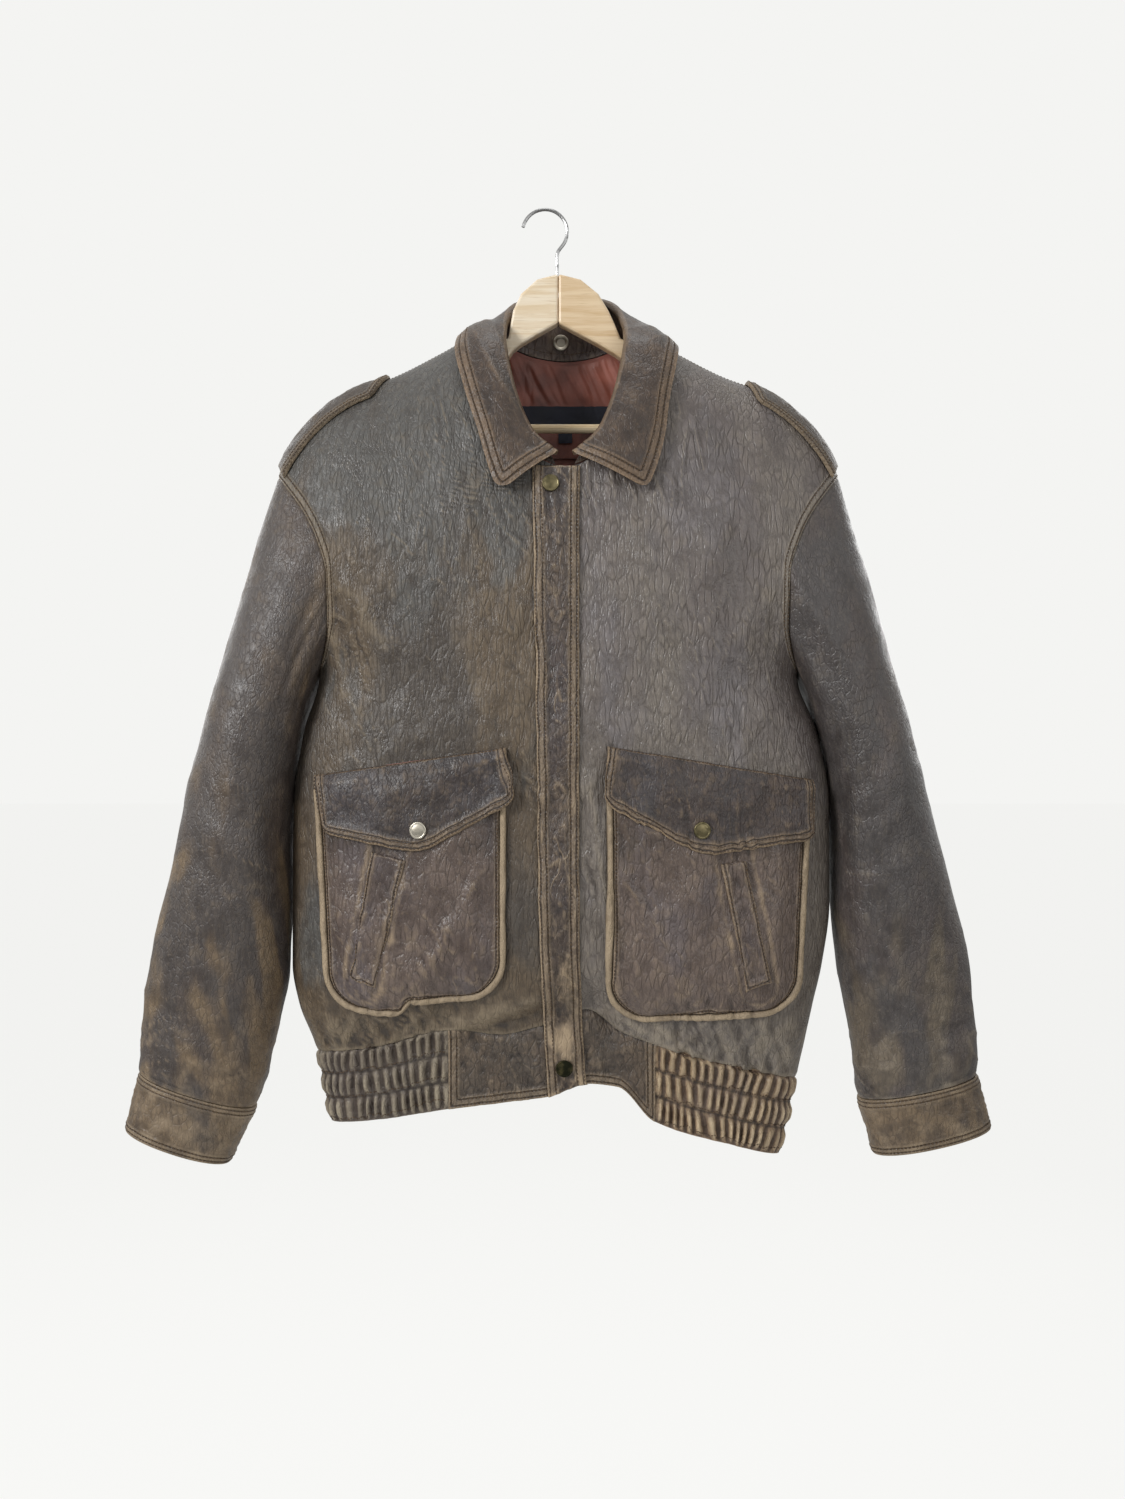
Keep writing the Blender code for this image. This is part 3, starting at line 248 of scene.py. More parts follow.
def softened(vectors: Grid, reach: int = 6) -> Grid:
    """Unit vectors evened out along the columns."""
    wide = np.pad(vectors, ((0, 0), (reach, reach), (0, 0)), mode="edge")
    return unit(sum(wide[:, k : k + vectors.shape[1]] for k in range(2 * reach + 1)))


def share_edges(first: Grid, second: Grid) -> None:
    """Gives two rows of normals that meet at a seam the same values, in place."""
    both = unit(first + second)
    first[:] = both
    second[:] = both


def near_line(x: Grid, z: Grid, line: Grid) -> Grid:
    """Distance in X and Z from each place to a line of straight runs.

    Args:
        x: X of the places.
        z: Heights of the places.
        line: The line's points, as rows of X and height.

    Returns:
        The least distance of each place from the line.
    """
    shape = np.broadcast(x, z).shape
    place = np.stack(np.broadcast_arrays(x, z), -1).reshape(-1, 1, 2)
    start, run = line[:-1], np.diff(line, axis=0)
    length = np.maximum((run**2).sum(-1), 1e-9)
    best = np.full(len(place), 1e9)
    for low in range(0, len(place), 4000):
        part = place[low : low + 4000]
        t = np.clip(((part - start) * run).sum(-1) / length, 0, 1)[..., None]
        best[low : low + 4000] = np.linalg.norm(part - start - t * run, axis=-1).min(1)
    return best.reshape(shape)


# ---------------------------------------------------------------- the body form


@dataclass
class Crease:
    """A fold or a dent along a straight run of the body.

    Args:
        start: X and height of one end.
        end: X and height of the other end.
        reach: How far it spreads to each side.
        height: How far it stands out, or how deep it is where negative.
        sharp: 2 for a round fold, less for one with a crest.
    """

    start: tuple[float, float]
    end: tuple[float, float]
    reach: float
    height: float
    sharp: float = 1.6

    def at(self, x: Grid, z: Grid) -> Grid:
        """The crease's height at places of X and height."""
        (x0, z0), (x1, z1) = self.start, self.end
        run = math.hypot(x1 - x0, z1 - z0)
        along = ((x - x0) * (x1 - x0) + (z - z0) * (z1 - z0)) / run
        aside = ((x - x0) * (z1 - z0) - (z - z0) * (x1 - x0)) / run
        past = np.maximum(np.maximum(-along, along - run), 0) / 2
        away = np.sqrt(aside**2 + past**2) / self.reach
        return self.height * np.exp(-(away**self.sharp))


# Distance from the middle, height of the shoulder line.
SHOULDER = (
    (0, -104), (62, -107), (87, -119), (105, -129), (150, -151.5), (182, -163), (202, -175), (224, -195),
    (240, -216), (251, -240),
)
# Height, half width on the wearer's right, half width on the left, depth in front, depth behind.
BODY = (
    (-100, 330, 330, 58, 52), (-241, 300, 300, 60, 53), (-300, 275, 275, 65, 54), (-360, 240, 240, 68, 54),
    (-418, 214, 214, 69, 54), (-470, 228, 232, 70, 54), (-534, 237, 243, 71, 54), (-620, 238, 243, 71, 54),
    (-676, 238, 236, 70, 53), (-711, 232, 228, 68, 52), (-753, 217, 219, 66, 51), (-777, 213, 214, 65, 50),
    (-818, 205, 206, 64, 49), (-850, 200, 199, 63, 48),
)
# Height, distance of the armhole seam from the middle.
ARMHOLE = (
    (-240, 251), (-257, 237), (-277, 222), (-302, 209), (-335, 200), (-375, 200), (-402, 206), (-418, 214),
)
# X, height of the seam between body and waistband in front, height of the hem in front.
WAIST = (
    (-217, -753, -818), (-160, -744, -809), (-95, -727, -797), (-52, -731, -791), (-9, -722, -785),
    (25, -709, -774), (52, -728, -777), (83, -740, -807), (150, -760, -830), (214, -777, -850),
)
# Height, X of the line on which the two fronts meet.
CENTRE_LINE = ((-244, 6), (-270, -1), (-490, 0), (-720, 6), (-790, 9))
# Half of the neck, from the front end to the middle of the back, measured from NECK_X: fold x, y, z; seam x,
# z;
# outer edge x on the wearer's right, on the left, z.
NECK = (
    (6.8, -63, -230, 0.5, -244, 54, 71, -265),
    (16, -62, -222, 19, -237, 61, 74.5, -256.5),
    (28, -59, -209, 34, -225, 67, 79, -239),
    (38.5, -54, -185, 48, -205, 74.5, 84, -213),
    (46, -45, -158, 58, -178, 83, 89, -183),
    (51, -30, -129, 65, -144, 92, 95, -151),
    (51.5, -18, -114, 67, -124, 94, 97, -135),
    (51, -5, -102, 68, -110, 95, 98, -122),
    (46, 15, -82, 64, -110, 87, 89, -131),
    (36.5, 28, -70, 52, -114, 66, 67, -137),
    (19, 36, -66, 28, -121, 35, 35, -141),
    (0, 38, -65, 0, -124, 0, 0, -142),
)
SHOULDER_STATION = 7  # the row of NECK that lies on the shoulder line
# Share of the way from armhole to cuff; the right and the left sleeve's outer edge x, z and inner edge x, z;
# half depth; y of the middle.
SLEEVE = (
    (0.0, -251, -240, -214, -418, 251, -240, 214, -418, 50, 0),
    (0.125, -271, -305, -227.5, -462, 270, -305, 230, -462, 55, -1),
    (0.25, -290, -371, -235.5, -510, 288, -371, 240.5, -508, 59, -2),
    (0.4, -311, -449, -239, -569, 309, -451, 244.5, -565, 60, -4),
    (0.55, -331, -528, -239.5, -628, 329, -530, 245, -622, 56, -6),
    (0.7, -348, -608, -241.5, -686, 350, -609, 250, -680, 49, -9),
    (0.8, -360, -661, -249, -725, 363, -662, 256.5, -718, 43, -11),
    (0.9, -369, -714, -257, -764, 369.5, -716, 262, -755, 37, -13),
    (1.0, -372, -769, -269, -801, 371, -771, 267, -793, 33, -14),
)
# Storm flap: height, x of its free edge, x of its sewn edge.
STORM_FLAP = (
    (-242, -22, 19), (-300, -21, 18), (-490, -18, 18), (-620, -16, 18), (-720, -12, 21), (-783, -8, 26),
)
PLAIN_BAND = {Side.RIGHT: -95.0, Side.LEFT: 84.0}  # where the plain waistband ends and the elastic starts
BACK_BAND = 112.0  # half width of the plain waistband behind

FRONT_CREASES = (
    Crease((-30, -700), (-84, -722), 12, 2.5),
    Crease((-196, -330), (-150, -392), 14, 3.0),
    Crease((196, -335), (158, -390), 14, 2.5),
    Crease((40, -786), (40, -722), 12, -5.0),
    Crease((26, -510), (52, -690), 5.5, 3.2, 1.3),
    Crease((50, -712), (100, -746), 6, 3.4, 1.3),
    Crease((30, -600), (44, -700), 6, -1.6),
    Crease((84, -722), (116, -748), 6, 3.0, 1.3),
    Crease((-14, -696), (-92, -726), 7, 3.0, 1.3),
    Crease((-22, -712), (-88, -738), 6, -2.0),
    Crease((-120, -716), (-150, -744), 7, 2.6, 1.4),
    Crease((-176, -706), (-186, -746), 7, 2.6, 1.4),
    Crease((-206, -690), (-196, -750), 8, 2.4, 1.4),
    Crease((138, -722), (150, -756), 7, 2.6, 1.4),
    Crease((176, -724), (180, -762), 8, 2.8, 1.4),
    Crease((204, -700), (200, -770), 8, 2.4, 1.4),
    Crease((-212, -300), (-186, -440), 6, 2.0, 1.4),
    Crease((-206, -360), (-168, -470), 5, 1.5, 1.4),
    Crease((-204, -420), (-150, -470), 6, 1.4, 1.4),
    Crease((206, -330), (178, -450), 5, 1.6, 1.4),
    Crease((208, -420), (160, -478), 6, 1.4, 1.4),
    Crease((-60, -250), (-150, -330), 18, 1.5),
    Crease((84, -262), (150, -330), 18, 1.6),
    Crease((60, -290), (96, -420), 16, 1.4),
    Crease((-70, -300), (-62, -470), 20, 1.5),
    Crease((-120, -480), (-60, -440), 14, 1.2),
)
BACK_CREASES = (
    Crease((-100, -690), (-112, -750), 14, 2.5),
    Crease((104, -690), (118, -756), 14, 2.5),
    Crease((-190, -350), (-140, -420), 16, 3.0),
    Crease((190, -350), (140, -420), 16, 3.0),
    Crease((-200, -380), (-120, -470), 7, 1.8, 1.4),
    Crease((200, -380), (120, -470), 7, 1.8, 1.4),
    Crease((-60, -690), (-66, -750), 8, 2.4, 1.4),
    Crease((10, -700), (14, -756), 8, 2.2, 1.4),
    Crease((62, -694), (70, -756), 8, 2.4, 1.4),
    Crease((-150, -690), (-160, -750), 8, 2.4, 1.4),
    Crease((150, -700), (160, -760), 8, 2.4, 1.4),
    Crease((-90, -200), (60, -230), 20, 1.6),
)


@dataclass
class BodyForm:
    """The form on which the fronts, the back, the waistband and all that is sewn to them lie.

    Args:
        power: Roundness of a level section: 2 is an ellipse, more is boxier.
        shoulder_roll: Depth below the shoulder line over which the section fills out.
        neck_rise: How much the back stands above the shoulder line at the neck.
        neck_reach: Half width of the neck hole at the shoulder.
        tuck: Share of the depth that the waistband draws in.
        tuck_reach: Height over which it does so.
        back_bow: How much the waistband rises at the middle of the back.
    """

    power: float = 2.5
    shoulder_roll: float = 160.0
    neck_rise: float = 45.0
    neck_reach: float = 68.0
    tuck: float = 0.26
    tuck_reach: float = 30.0
    back_bow: float = 45.0
    shoulder: Line = field(default_factory=lambda: column(SHOULDER, 0, 1))
    armhole: Line = field(default_factory=lambda: column(ARMHOLE, 0, 1))
    centre: Line = field(default_factory=lambda: column(CENTRE_LINE, 0, 1))
    waist_front: Line = field(default_factory=lambda: column(WAIST, 0, 1))
    hem_front: Line = field(default_factory=lambda: column(WAIST, 0, 2))

    def __post_init__(self) -> None:
        """Makes the lines that depend on a side or a face."""
        self.half = {Side.RIGHT: column(BODY, 0, 1), Side.LEFT: column(BODY, 0, 2)}
        self.depth = {Face.FRONT: column(BODY, 0, 3), Face.BACK: column(BODY, 0, 4)}

    def across(self, value: int, x: Grid) -> Grid:
        """A height at x behind, bowed up between the side seams' heights in the WAIST table."""
        first, last = WAIST[0], WAIST[-1]
        share = np.clip((x - first[0]) / (last[0] - first[0]), 0, 1)
        return first[value] + (last[value] - first[value]) * share + 4 * self.back_bow * share * (1 - share)

    def waist(self, x: Grid, face: Face) -> Grid:
        """Height of the seam above the waistband."""
        return self.waist_front(x) if face == Face.FRONT else self.across(1, x)

    def hem(self, x: Grid, face: Face) -> Grid:
        """Height of the hem."""
        return self.hem_front(x) if face == Face.FRONT else self.across(2, x)

    def section(self, x: Grid, z: Grid) -> Grid:
        """1 at the middle of a level section, 0 at its sides."""
        half = np.where(x < 0, self.half[Side.RIGHT](z), self.half[Side.LEFT](z))
        q = np.clip(np.abs(x) / half, 0, 1)
        return (1 - q**self.power) ** (1 / self.power)

    def ridge(self, x: Grid, face: Face) -> Grid:
        """The line at which a face starts: the shoulder line, with a rise at the back of the neck."""
        line = self.shoulder(np.abs(x))
        if face == Face.FRONT:
            return line
        near = np.clip(np.abs(x - NECK_X) / self.neck_reach, 0, 1)
        return line + self.neck_rise * (1 - near**2)

    def relief(self, x: Grid, z: Grid, face: Face) -> Grid:
        """Folds, drape and gathers of the leather.

        Args:
            x: X of the places.
            z: Heights of the places.
            face: The face that they are on.

        Returns:
            How far the leather stands out there.
        """
        creases = FRONT_CREASES if face == Face.FRONT else BACK_CREASES
        total = sum(crease.at(x, z) for crease in creases)
        total = total + 2.3 * layered(x / 56, z / 84, 11 + face)
        # Hung leather shows shallow wrinkles that mostly run down it.
        lean = x + 0.12 * z
        worn = 0.35 + 0.65 * smooth(noise(x / 120, z / 120, 31 + face), -0.3, 0.5)
        total = total + worn * 1.7 * (creased(lean / 15, z / 52, 41 + face) - 0.2)
        total = total + 0.4 * noise(lean / 8, z / 26, 45 + face)
        above = z - self.waist(x, face)
        gathered = bell(np.maximum(above, 0), 46, 1.5)
        edge = PLAIN_BAND[Side.RIGHT] - 6, PLAIN_BAND[Side.LEFT] + 6
        sides = np.maximum(smooth(-x, -edge[0], -edge[0] + 16), smooth(x, edge[1], edge[1] + 16))
        if face == Face.BACK:
            sides = smooth(np.abs(x), BACK_BAND - 10, BACK_BAND + 10)
        sides = sides * smooth(above, -7, 0)
        if face == Face.BACK:
            total = total * (1 - 0.8 * bell(x - NECK_X, 75) * smooth(z, -250, -205))
        total = total * (0.35 + 0.65 * smooth(above, -10, 0))
        pleat = noise(x / 12 + 0.03 * z, z / 75, 51 + face)
        pleat = pleat + 0.6 * (creased(x / 17 - 0.02 * z, z / 50, 53 + face) - 0.3)
        return total + gathered * (0.15 + 0.85 * sides) * 6.6 * pleat

    def y(self, x: Grid, z: Grid, face: Face) -> Grid:
        """Y of the form's outer face."""
        x, z = np.asarray(x, float), np.asarray(z, float)
        above = np.maximum(z - self.waist(x, face), 0)
        tuck = 1 - self.tuck * bell(above, self.tuck_reach)
        below = np.clip((self.ridge(x, face) - z) / self.shoulder_roll, 0, 1)
        share = self.section(x, z) * np.sqrt(1 - (1 - below) ** 2)
        return face * share * (self.depth[face](z) * tuck + self.relief(x, z, face))

    def normals(self, x: Grid, z: Grid, face: Face) -> Grid:
        """Outward unit normals of the form."""
        step = 3.5
        slope_x = (self.y(x + step, z, face) - self.y(x - step, z, face)) / (2 * step)
        slope_z = (self.y(x, z + step, face) - self.y(x, z - step, face)) / (2 * step)
        return unit(np.stack([-face * slope_x, np.full(slope_x.shape, float(face)), -face * slope_z], -1))

    def on(self, x: Grid, z: Grid, face: Face, lift: Grid | float = 0.0) -> Grid:
        """Points on the form, moved out.

        Args:
            x: X of the places.
            z: Heights of the places.
            face: The face that they are on.
            lift: How far each is moved out along the form's normal.

        Returns:
            The points.
        """
        x, z = np.broadcast_arrays(np.asarray(x, float), np.asarray(z, float))
        return np.stack([x, self.y(x, z, face), z], -1) + each(lift) * self.normals(x, z, face)

    def over_shoulder(self, x: Grid, y: Grid, lift: Grid | float) -> Grid:
        """Points over the shoulder line, from their X and Y, moved out.

        Args:
            x: X of the places.
            y: Y of the places, about the shoulder line.
            lift: How far they are moved out along the form's normal.

        Returns:
            The points.
        """

        def height(x: Grid, y: Grid) -> Grid:
            """Height of the form over a place."""
            line = self.shoulder(np.abs(x))
            depth = np.where(y < 0, self.depth[Face.FRONT](line), self.depth[Face.BACK](line))
            far = np.clip(np.abs(y) / (self.section(x, line) * depth), 0, 1)
            return line - self.shoulder_roll * (1 - np.sqrt(1 - far**2))

        slope_x = (height(x + 1, y) - height(x - 1, y)) / 2
        slope_y = (height(x, y + 1) - height(x, y - 1)) / 2
        out = unit(np.stack([-slope_x, -slope_y, np.ones(x.shape)], -1))
        return np.stack([x, y, height(x, y)], -1) + each(lift) * out


# ---------------------------------------------------------------- materials


def srgb(code: str) -> tuple[float, float, float, float]:
    """Turns an sRGB hex value to linear colour."""
    parts = [int(code[k : k + 2], 16) / 255 for k in (1, 3, 5)]
    linear = [p / 12.92 if p <= 0.04045 else ((p + 0.055) / 1.055) ** 2.4 for p in parts]
    return (*linear, 1.0)


def add_node(
    tree: bpy.types.NodeTree, kind: str, inputs: dict | None = None, **settings: object
) -> bpy.types.Node:
    """Adds a node with its settings and links.

    Args:
        tree: The tree that it goes in.
        kind: The node's type, without its "ShaderNode".
        inputs: Values or sockets by the name or number of the input that they go to.
        settings: The node's own settings. stops are a colour ramp's places and values.

    Returns:
        The node.
    """
    made = tree.nodes.new("ShaderNode" + kind)
    for name, value in settings.items():
        if name != "stops":
            setattr(made, name, value)
            continue
        ramp = made.color_ramp.elements
        while len(ramp) < len(value):
            ramp.new(1.0)
        for element, (at, colour) in zip(ramp, value):
            element.position = at
            element.color = srgb(colour) if isinstance(colour, str) else (colour, colour, colour, 1)
    for name, value in (inputs or {}).items():
        if isinstance(value, bpy.types.NodeSocket):
            tree.links.new(value, made.inputs[name])
        else:
            made.inputs[name].default_value = srgb(value) if isinstance(value, str) else value
    return made


class Recipe:
    """A new material with its tree and its shader, and the steps that finishes share."""

    def __init__(self, name: str) -> None:
        """Starts the material."""
        self.made = bpy.data.materials.new(name)
        self.made.use_nodes = True
        self.tree = self.made.node_tree
        self.shader = self.tree.nodes["Principled BSDF"]

    def place(self) -> Socket:
        """The place in the object's own space."""
        return add_node(self.tree, "TexCoord").outputs["Object"]

    def noisy(self, vector: Socket, scale: float, detail: float, **more: float) -> Socket:
        """Noise, about 0.5."""
        inputs = {"Vector": vector, "Scale": scale, "Detail": detail, **more}
        return add_node(self.tree, "TexNoise", inputs).outputs["Fac"]

    def math_of(self, operation: str, *values: object) -> Socket:
        """One step of arithmetic."""
        return add_node(self.tree, "Math", dict(enumerate(values)), operation=operation).outputs[0]

    def spread(self, value: object, low: float, high: float, end: float = 1.0) -> Socket:
        """A value taken evenly from a range to 0 and the end."""
        return add_node(self.tree, "MapRange", {0: value, 1: low, 2: high, 4: end}).outputs[0]

    def ranged(self, value: object, low: float, high: float, start: float = 0.0, end: float = 1.0) -> Socket:
        """A value taken smoothly from one range to another."""
        inputs = {0: value, 1: low, 2: high, 3: start, 4: end}
        return add_node(self.tree, "MapRange", inputs, interpolation_type="SMOOTHSTEP").outputs[0]

    def mixed(self, share: object, first: object, second: object) -> Socket:
        """One colour over another."""
        return add_node(self.tree, "Mix", {0: share, 6: first, 7: second}, data_type="RGBA").outputs[2]

    def wear(self, colour: Socket, height: Socket, strength: float, distance: float) -> None:
        """Joins a colour and a relief to the shader."""
        self.tree.links.new(colour, self.shader.inputs["Base Color"])
        bump = add_node(self.tree, "Bump", {"Height": height, "Strength": strength, "Distance": distance})
        self.tree.links.new(bump.outputs[0], self.shader.inputs["Normal"])


# Of these, the dirt value also carries painted shade, and swell drives painted highlight and painted shade.
PAINTED = ("wear", "grime", "tone", "edge", "swell")  # what is stored at each point of a piece of leather


@dataclass(frozen=True)
class WornCowhide:
    """Semi-aniline dyed cowhide, glazed when new and since rubbed, cracked and faded.

    The dye has gone from what stands proud, so edges, seams and creases are tan; the crests of the mesh's
    folds are paler as rubbed wear and painted highlight, and the hollows darkest as painted shade.

    Args:
        name: The material's name.
        base: The dyed colour.
        cloud: The colour of the broad faded clouds.
        tint: The colour of other clouds, where the glaze has greyed.
        deep: The colour where the dye is thickest, and the painted shade in the hollows of the mesh's folds.
        rubbed: The colour where the dye has gone.
        crackle: How strongly the grain's wrinkles show.
        wrinkle_mm: Spacing of the wrinkles across them.
        stretch: How many times longer than wide a wrinkle is.
        roughness: Mean roughness.
        cloud_share: How much of the hide the faded clouds cover.
        buff: How strongly sharp creases, rubbed pale on their crests, show.
        lines: Distances of the lines of stitches from an edge, in millimetres.
    """

    name: str
    base: str
    cloud: str
    tint: str
    deep: str
    rubbed: str
    crackle: float
    wrinkle_mm: float
    stretch: float
    roughness: float
    cloud_share: float
    buff: float = 0.2
    lines: tuple[float, ...] = (2.4, 7.6)

    def seam_stops(self) -> tuple[tuple, tuple]:
        """How rubbed and how dark a sewn border is, by distance from the edge as a share of 16 mm."""
        # The dark stops are dirt and painted shade in the stitch grooves, at the edge and past the folded
        # edge.
        rubbed, dark = [(0.0, 1.0), (1.2, 0.6)], [(0.0, 0.1), (0.8, 0.0)]
        for line in self.lines:
            rubbed += [(line - 0.9, 0.36), (line, 0.05), (line + 0.9, 0.45)]
            dark += [(line - 1.0, 0.0), (line, 0.9), (line + 1.0, 0.0)]
        last = self.lines[-1] if self.lines else 1.0
        rubbed += [(last + 2.4, 0.12), (last + 4.5, 0.0)]
        dark += [(last + 2.2, 0.0), (last + 3.4, 0.25), (last + 5.0, 0.0)]
        return tuple((at / 16, value) for at, value in rubbed), tuple((at / 16, value) for at, value in dark)

    def build(self) -> bpy.types.Material:
        """Makes the material."""
        recipe = Recipe(self.name)
        tree, shader, place = recipe.tree, recipe.shader, recipe.place()
        noisy, math_of, ranged, mixed = recipe.noisy, recipe.math_of, recipe.ranged, recipe.mixed
        facts = {name: add_node(tree, "Attribute", attribute_name=name).outputs["Fac"] for name in PAINTED}

        def mapped(scale: tuple[float, float, float], turn: float = 0.0) -> Socket:
            """The warped place, turned about Y and scaled."""
            inputs = {"Vector": warped, "Rotation": (0, turn, 0), "Scale": scale}
            return add_node(tree, "Mapping", inputs).outputs[0]

        def crossing(vector: Socket, scale: float, width: float) -> Socket:
            """Lines at which noise crosses its middle value, 1 on the line."""
            near = math_of("ABSOLUTE", math_of("SUBTRACT", noisy(vector, scale, 1.5, Roughness=0.4), 0.5))
            return ranged(near, 0.0, width, 1.0, 0.0)

        def plates(scale: tuple[float, float, float], turn: float, width: float) -> Socket:
            """A net of lines round small plates of grain, 1 on the line."""
            cells = {"Vector": mapped(scale, turn), "Scale": 1.0, "Randomness": 1.0}
            near = add_node(tree, "TexVoronoi", cells, feature="DISTANCE_TO_EDGE").outputs["Distance"]
            return ranged(near, 0.0, width, 1.0, 0.0)

        bend = add_node(tree, "TexNoise", {"Vector": place, "Scale": 45.0, "Detail": 2.0}).outputs["Color"]
        bent = add_node(tree, "VectorMath", {0: bend, "Scale": 1.4 * self.wrinkle_mm * MM}, operation="SCALE")
        bent = bent.outputs[0]
        warped = add_node(tree, "VectorMath", {0: place, 1: bent}, operation="ADD").outputs[0]
        clouds = noisy(mapped((13.0, 13.0, 4.2)), 1.0, 5.0, Roughness=0.6, Distortion=0.5)
        tints = noisy(mapped((20.0, 20.0, 7.0), 0.15), 1.0, 4.0, Roughness=0.6)
        mottle, fine = noisy(place, 60.0, 5.0, Roughness=0.6), noisy(place, 330.0, 3.0)
        streaks = noisy(mapped((300.0, 300.0, 70.0), 0.04), 1.0, 3.0)

        # Soft wrinkles that mostly run down the hide, with finer ones between them, and a pebbled grain.
        across = 0.8 / (self.wrinkle_mm * MM)
        where = ranged(clouds, 0.4, 0.6, 0.35, 1.0)
        crack = plates((across, across, across / self.stretch), 0.05, 0.16)
        crack = math_of("MULTIPLY", crack, ranged(mottle, 0.38, 0.58, 0.3, 1.0))
        hair = plates((2.3 * across, 2.3 * across, 1.6 * across / self.stretch), -0.12, 0.2)
        hair = math_of("MULTIPLY", hair, where)
        pebble = math_of("SUBTRACT", 1.0, plates((430.0, 430.0, 260.0), 0.0, 0.28))
        # Sharp creases across patches of it, rubbed pale on their crests.
        crest = crossing(mapped((42.0, 42.0, 22.0), 0.7), 1.0, 0.018)
        crest = math_of("MULTIPLY", crest, ranged(noisy(place, 26.0, 2.0), 0.5, 0.6, 0.0, self.buff))

        # Broad clouds of faded dye, mottling and streaks, then what is darker in the wrinkles.
        low = 0.64 - 0.3 * self.cloud_share
        soft = ranged(math_of("ADD", clouds, facts["tone"]), low - 0.12, low + 0.16)
        colour = mixed(soft, self.base, self.cloud)
        tinted = math_of("MULTIPLY_ADD", facts["tone"], -0.5, tints)
        colour = mixed(ranged(tinted, 0.46, 0.6, 0.0, 0.75), colour, self.tint)
        colour = mixed(ranged(clouds, 0.34, 0.47, 0.4, 0.0), colour, self.deep)
        colour = mixed(ranged(mottle, 0.36, 0.54, 0.42, 0.0), colour, self.deep)
        colour = mixed(ranged(mottle, 0.52, 0.7, 0.0, 0.14), colour, self.rubbed)
        colour = mixed(ranged(streaks, 0.3, 0.55, 0.25, 0.0), colour, self.deep)
        colour = mixed(ranged(streaks, 0.5, 0.75, 0.0, 0.1), colour, self.rubbed)
        colour = mixed(ranged(fine, 0.52, 0.72, 0.0, 0.12), colour, self.rubbed)
        lines = math_of("MAXIMUM", crack, math_of("MULTIPLY", hair, 0.5))
        colour = mixed(math_of("MULTIPLY", lines, 1.7 * self.crackle), colour, self.deep)
        # Painted highlight on the crests of the mesh's folds, partly rubbed wear, and painted shade in their
        # hollows.
        colour = mixed(ranged(facts["swell"], 0.25, 1.0, 0.0, 0.34), colour, self.rubbed)
        hollow_shade = math_of("MULTIPLY", facts["swell"], -1.0)
        colour = mixed(ranged(hollow_shade, 0.06, 0.8, 0.0, 0.8), colour, self.deep)

        # Rubbed borders, edges and creases, broken by the mottling; dirt and painted shade in seams and
        # hollows.
        broken = math_of("MULTIPLY_ADD", fine, 0.5, math_of("MULTIPLY", mottle, 0.5))
        reach = math_of("DIVIDE", facts["edge"], 16.0)
        rubbed_stops, seam_dirt_and_shade_stops = self.seam_stops()
        border = add_node(tree, "ValToRGB", {"Fac": reach}, stops=rubbed_stops).outputs[0]
        border = math_of("MULTIPLY", border, ranged(broken, 0.4, 0.56, 0.5, 1.0))
        seam = add_node(tree, "ValToRGB", {"Fac": reach}, stops=seam_dirt_and_shade_stops).outputs[0]
        patch = ranged(mottle, 0.3, 0.7, -0.2, 0.2)
        rub = ranged(math_of("ADD", facts["wear"], patch), 0.14, 1.0)
        rub = math_of("MAXIMUM", math_of("MAXIMUM", rub, border), crest)
        colour = mixed(rub, colour, self.rubbed)
        # Dirt and painted shade, drawn in near-black brown: at seams, in stitch grooves, in hollows and
        # beside raised parts.
        dirt_and_shade = ranged(math_of("ADD", facts["grime"], patch), 0.08, 0.95, 0.0, 0.85)
        dirt_and_shade = math_of("MAXIMUM", dirt_and_shade, math_of("MULTIPLY", seam, ranged(fine, 0.4, 0.6, 0.75, 1.0)))
        colour = mixed(dirt_and_shade, colour, "#241C18")

        # Heights in millimetres.
        height = math_of("MULTIPLY", crack, -1.6 * self.crackle)
        height = math_of("MULTIPLY_ADD", hair, -0.7 * self.crackle, height)
        height = math_of("MULTIPLY_ADD", pebble, 0.1, height)
        height = math_of("MULTIPLY_ADD", mottle, 0.8, height)
        height = math_of("MULTIPLY_ADD", streaks, 0.1, height)
        height = math_of("MULTIPLY_ADD", crest, 0.9, height)
        height = math_of("MULTIPLY_ADD", seam, -0.5, height)
        height = math_of("MULTIPLY_ADD", math_of("MULTIPLY", border, fine), 1.4, height)
        recipe.wear(colour, height, 0.9, 0.001)
        mottled = ranged(mottle, 0.3, 0.7, self.roughness - 0.1, self.roughness + 0.12)
        shine = math_of("MULTIPLY_ADD", rub, 0.12, mottled)
        tree.links.new(shine, shader.inputs["Roughness"])
        shader.inputs["IOR"].default_value = 1.5
        shader.inputs["Specular IOR Level"].default_value = 0.42
        return recipe.made


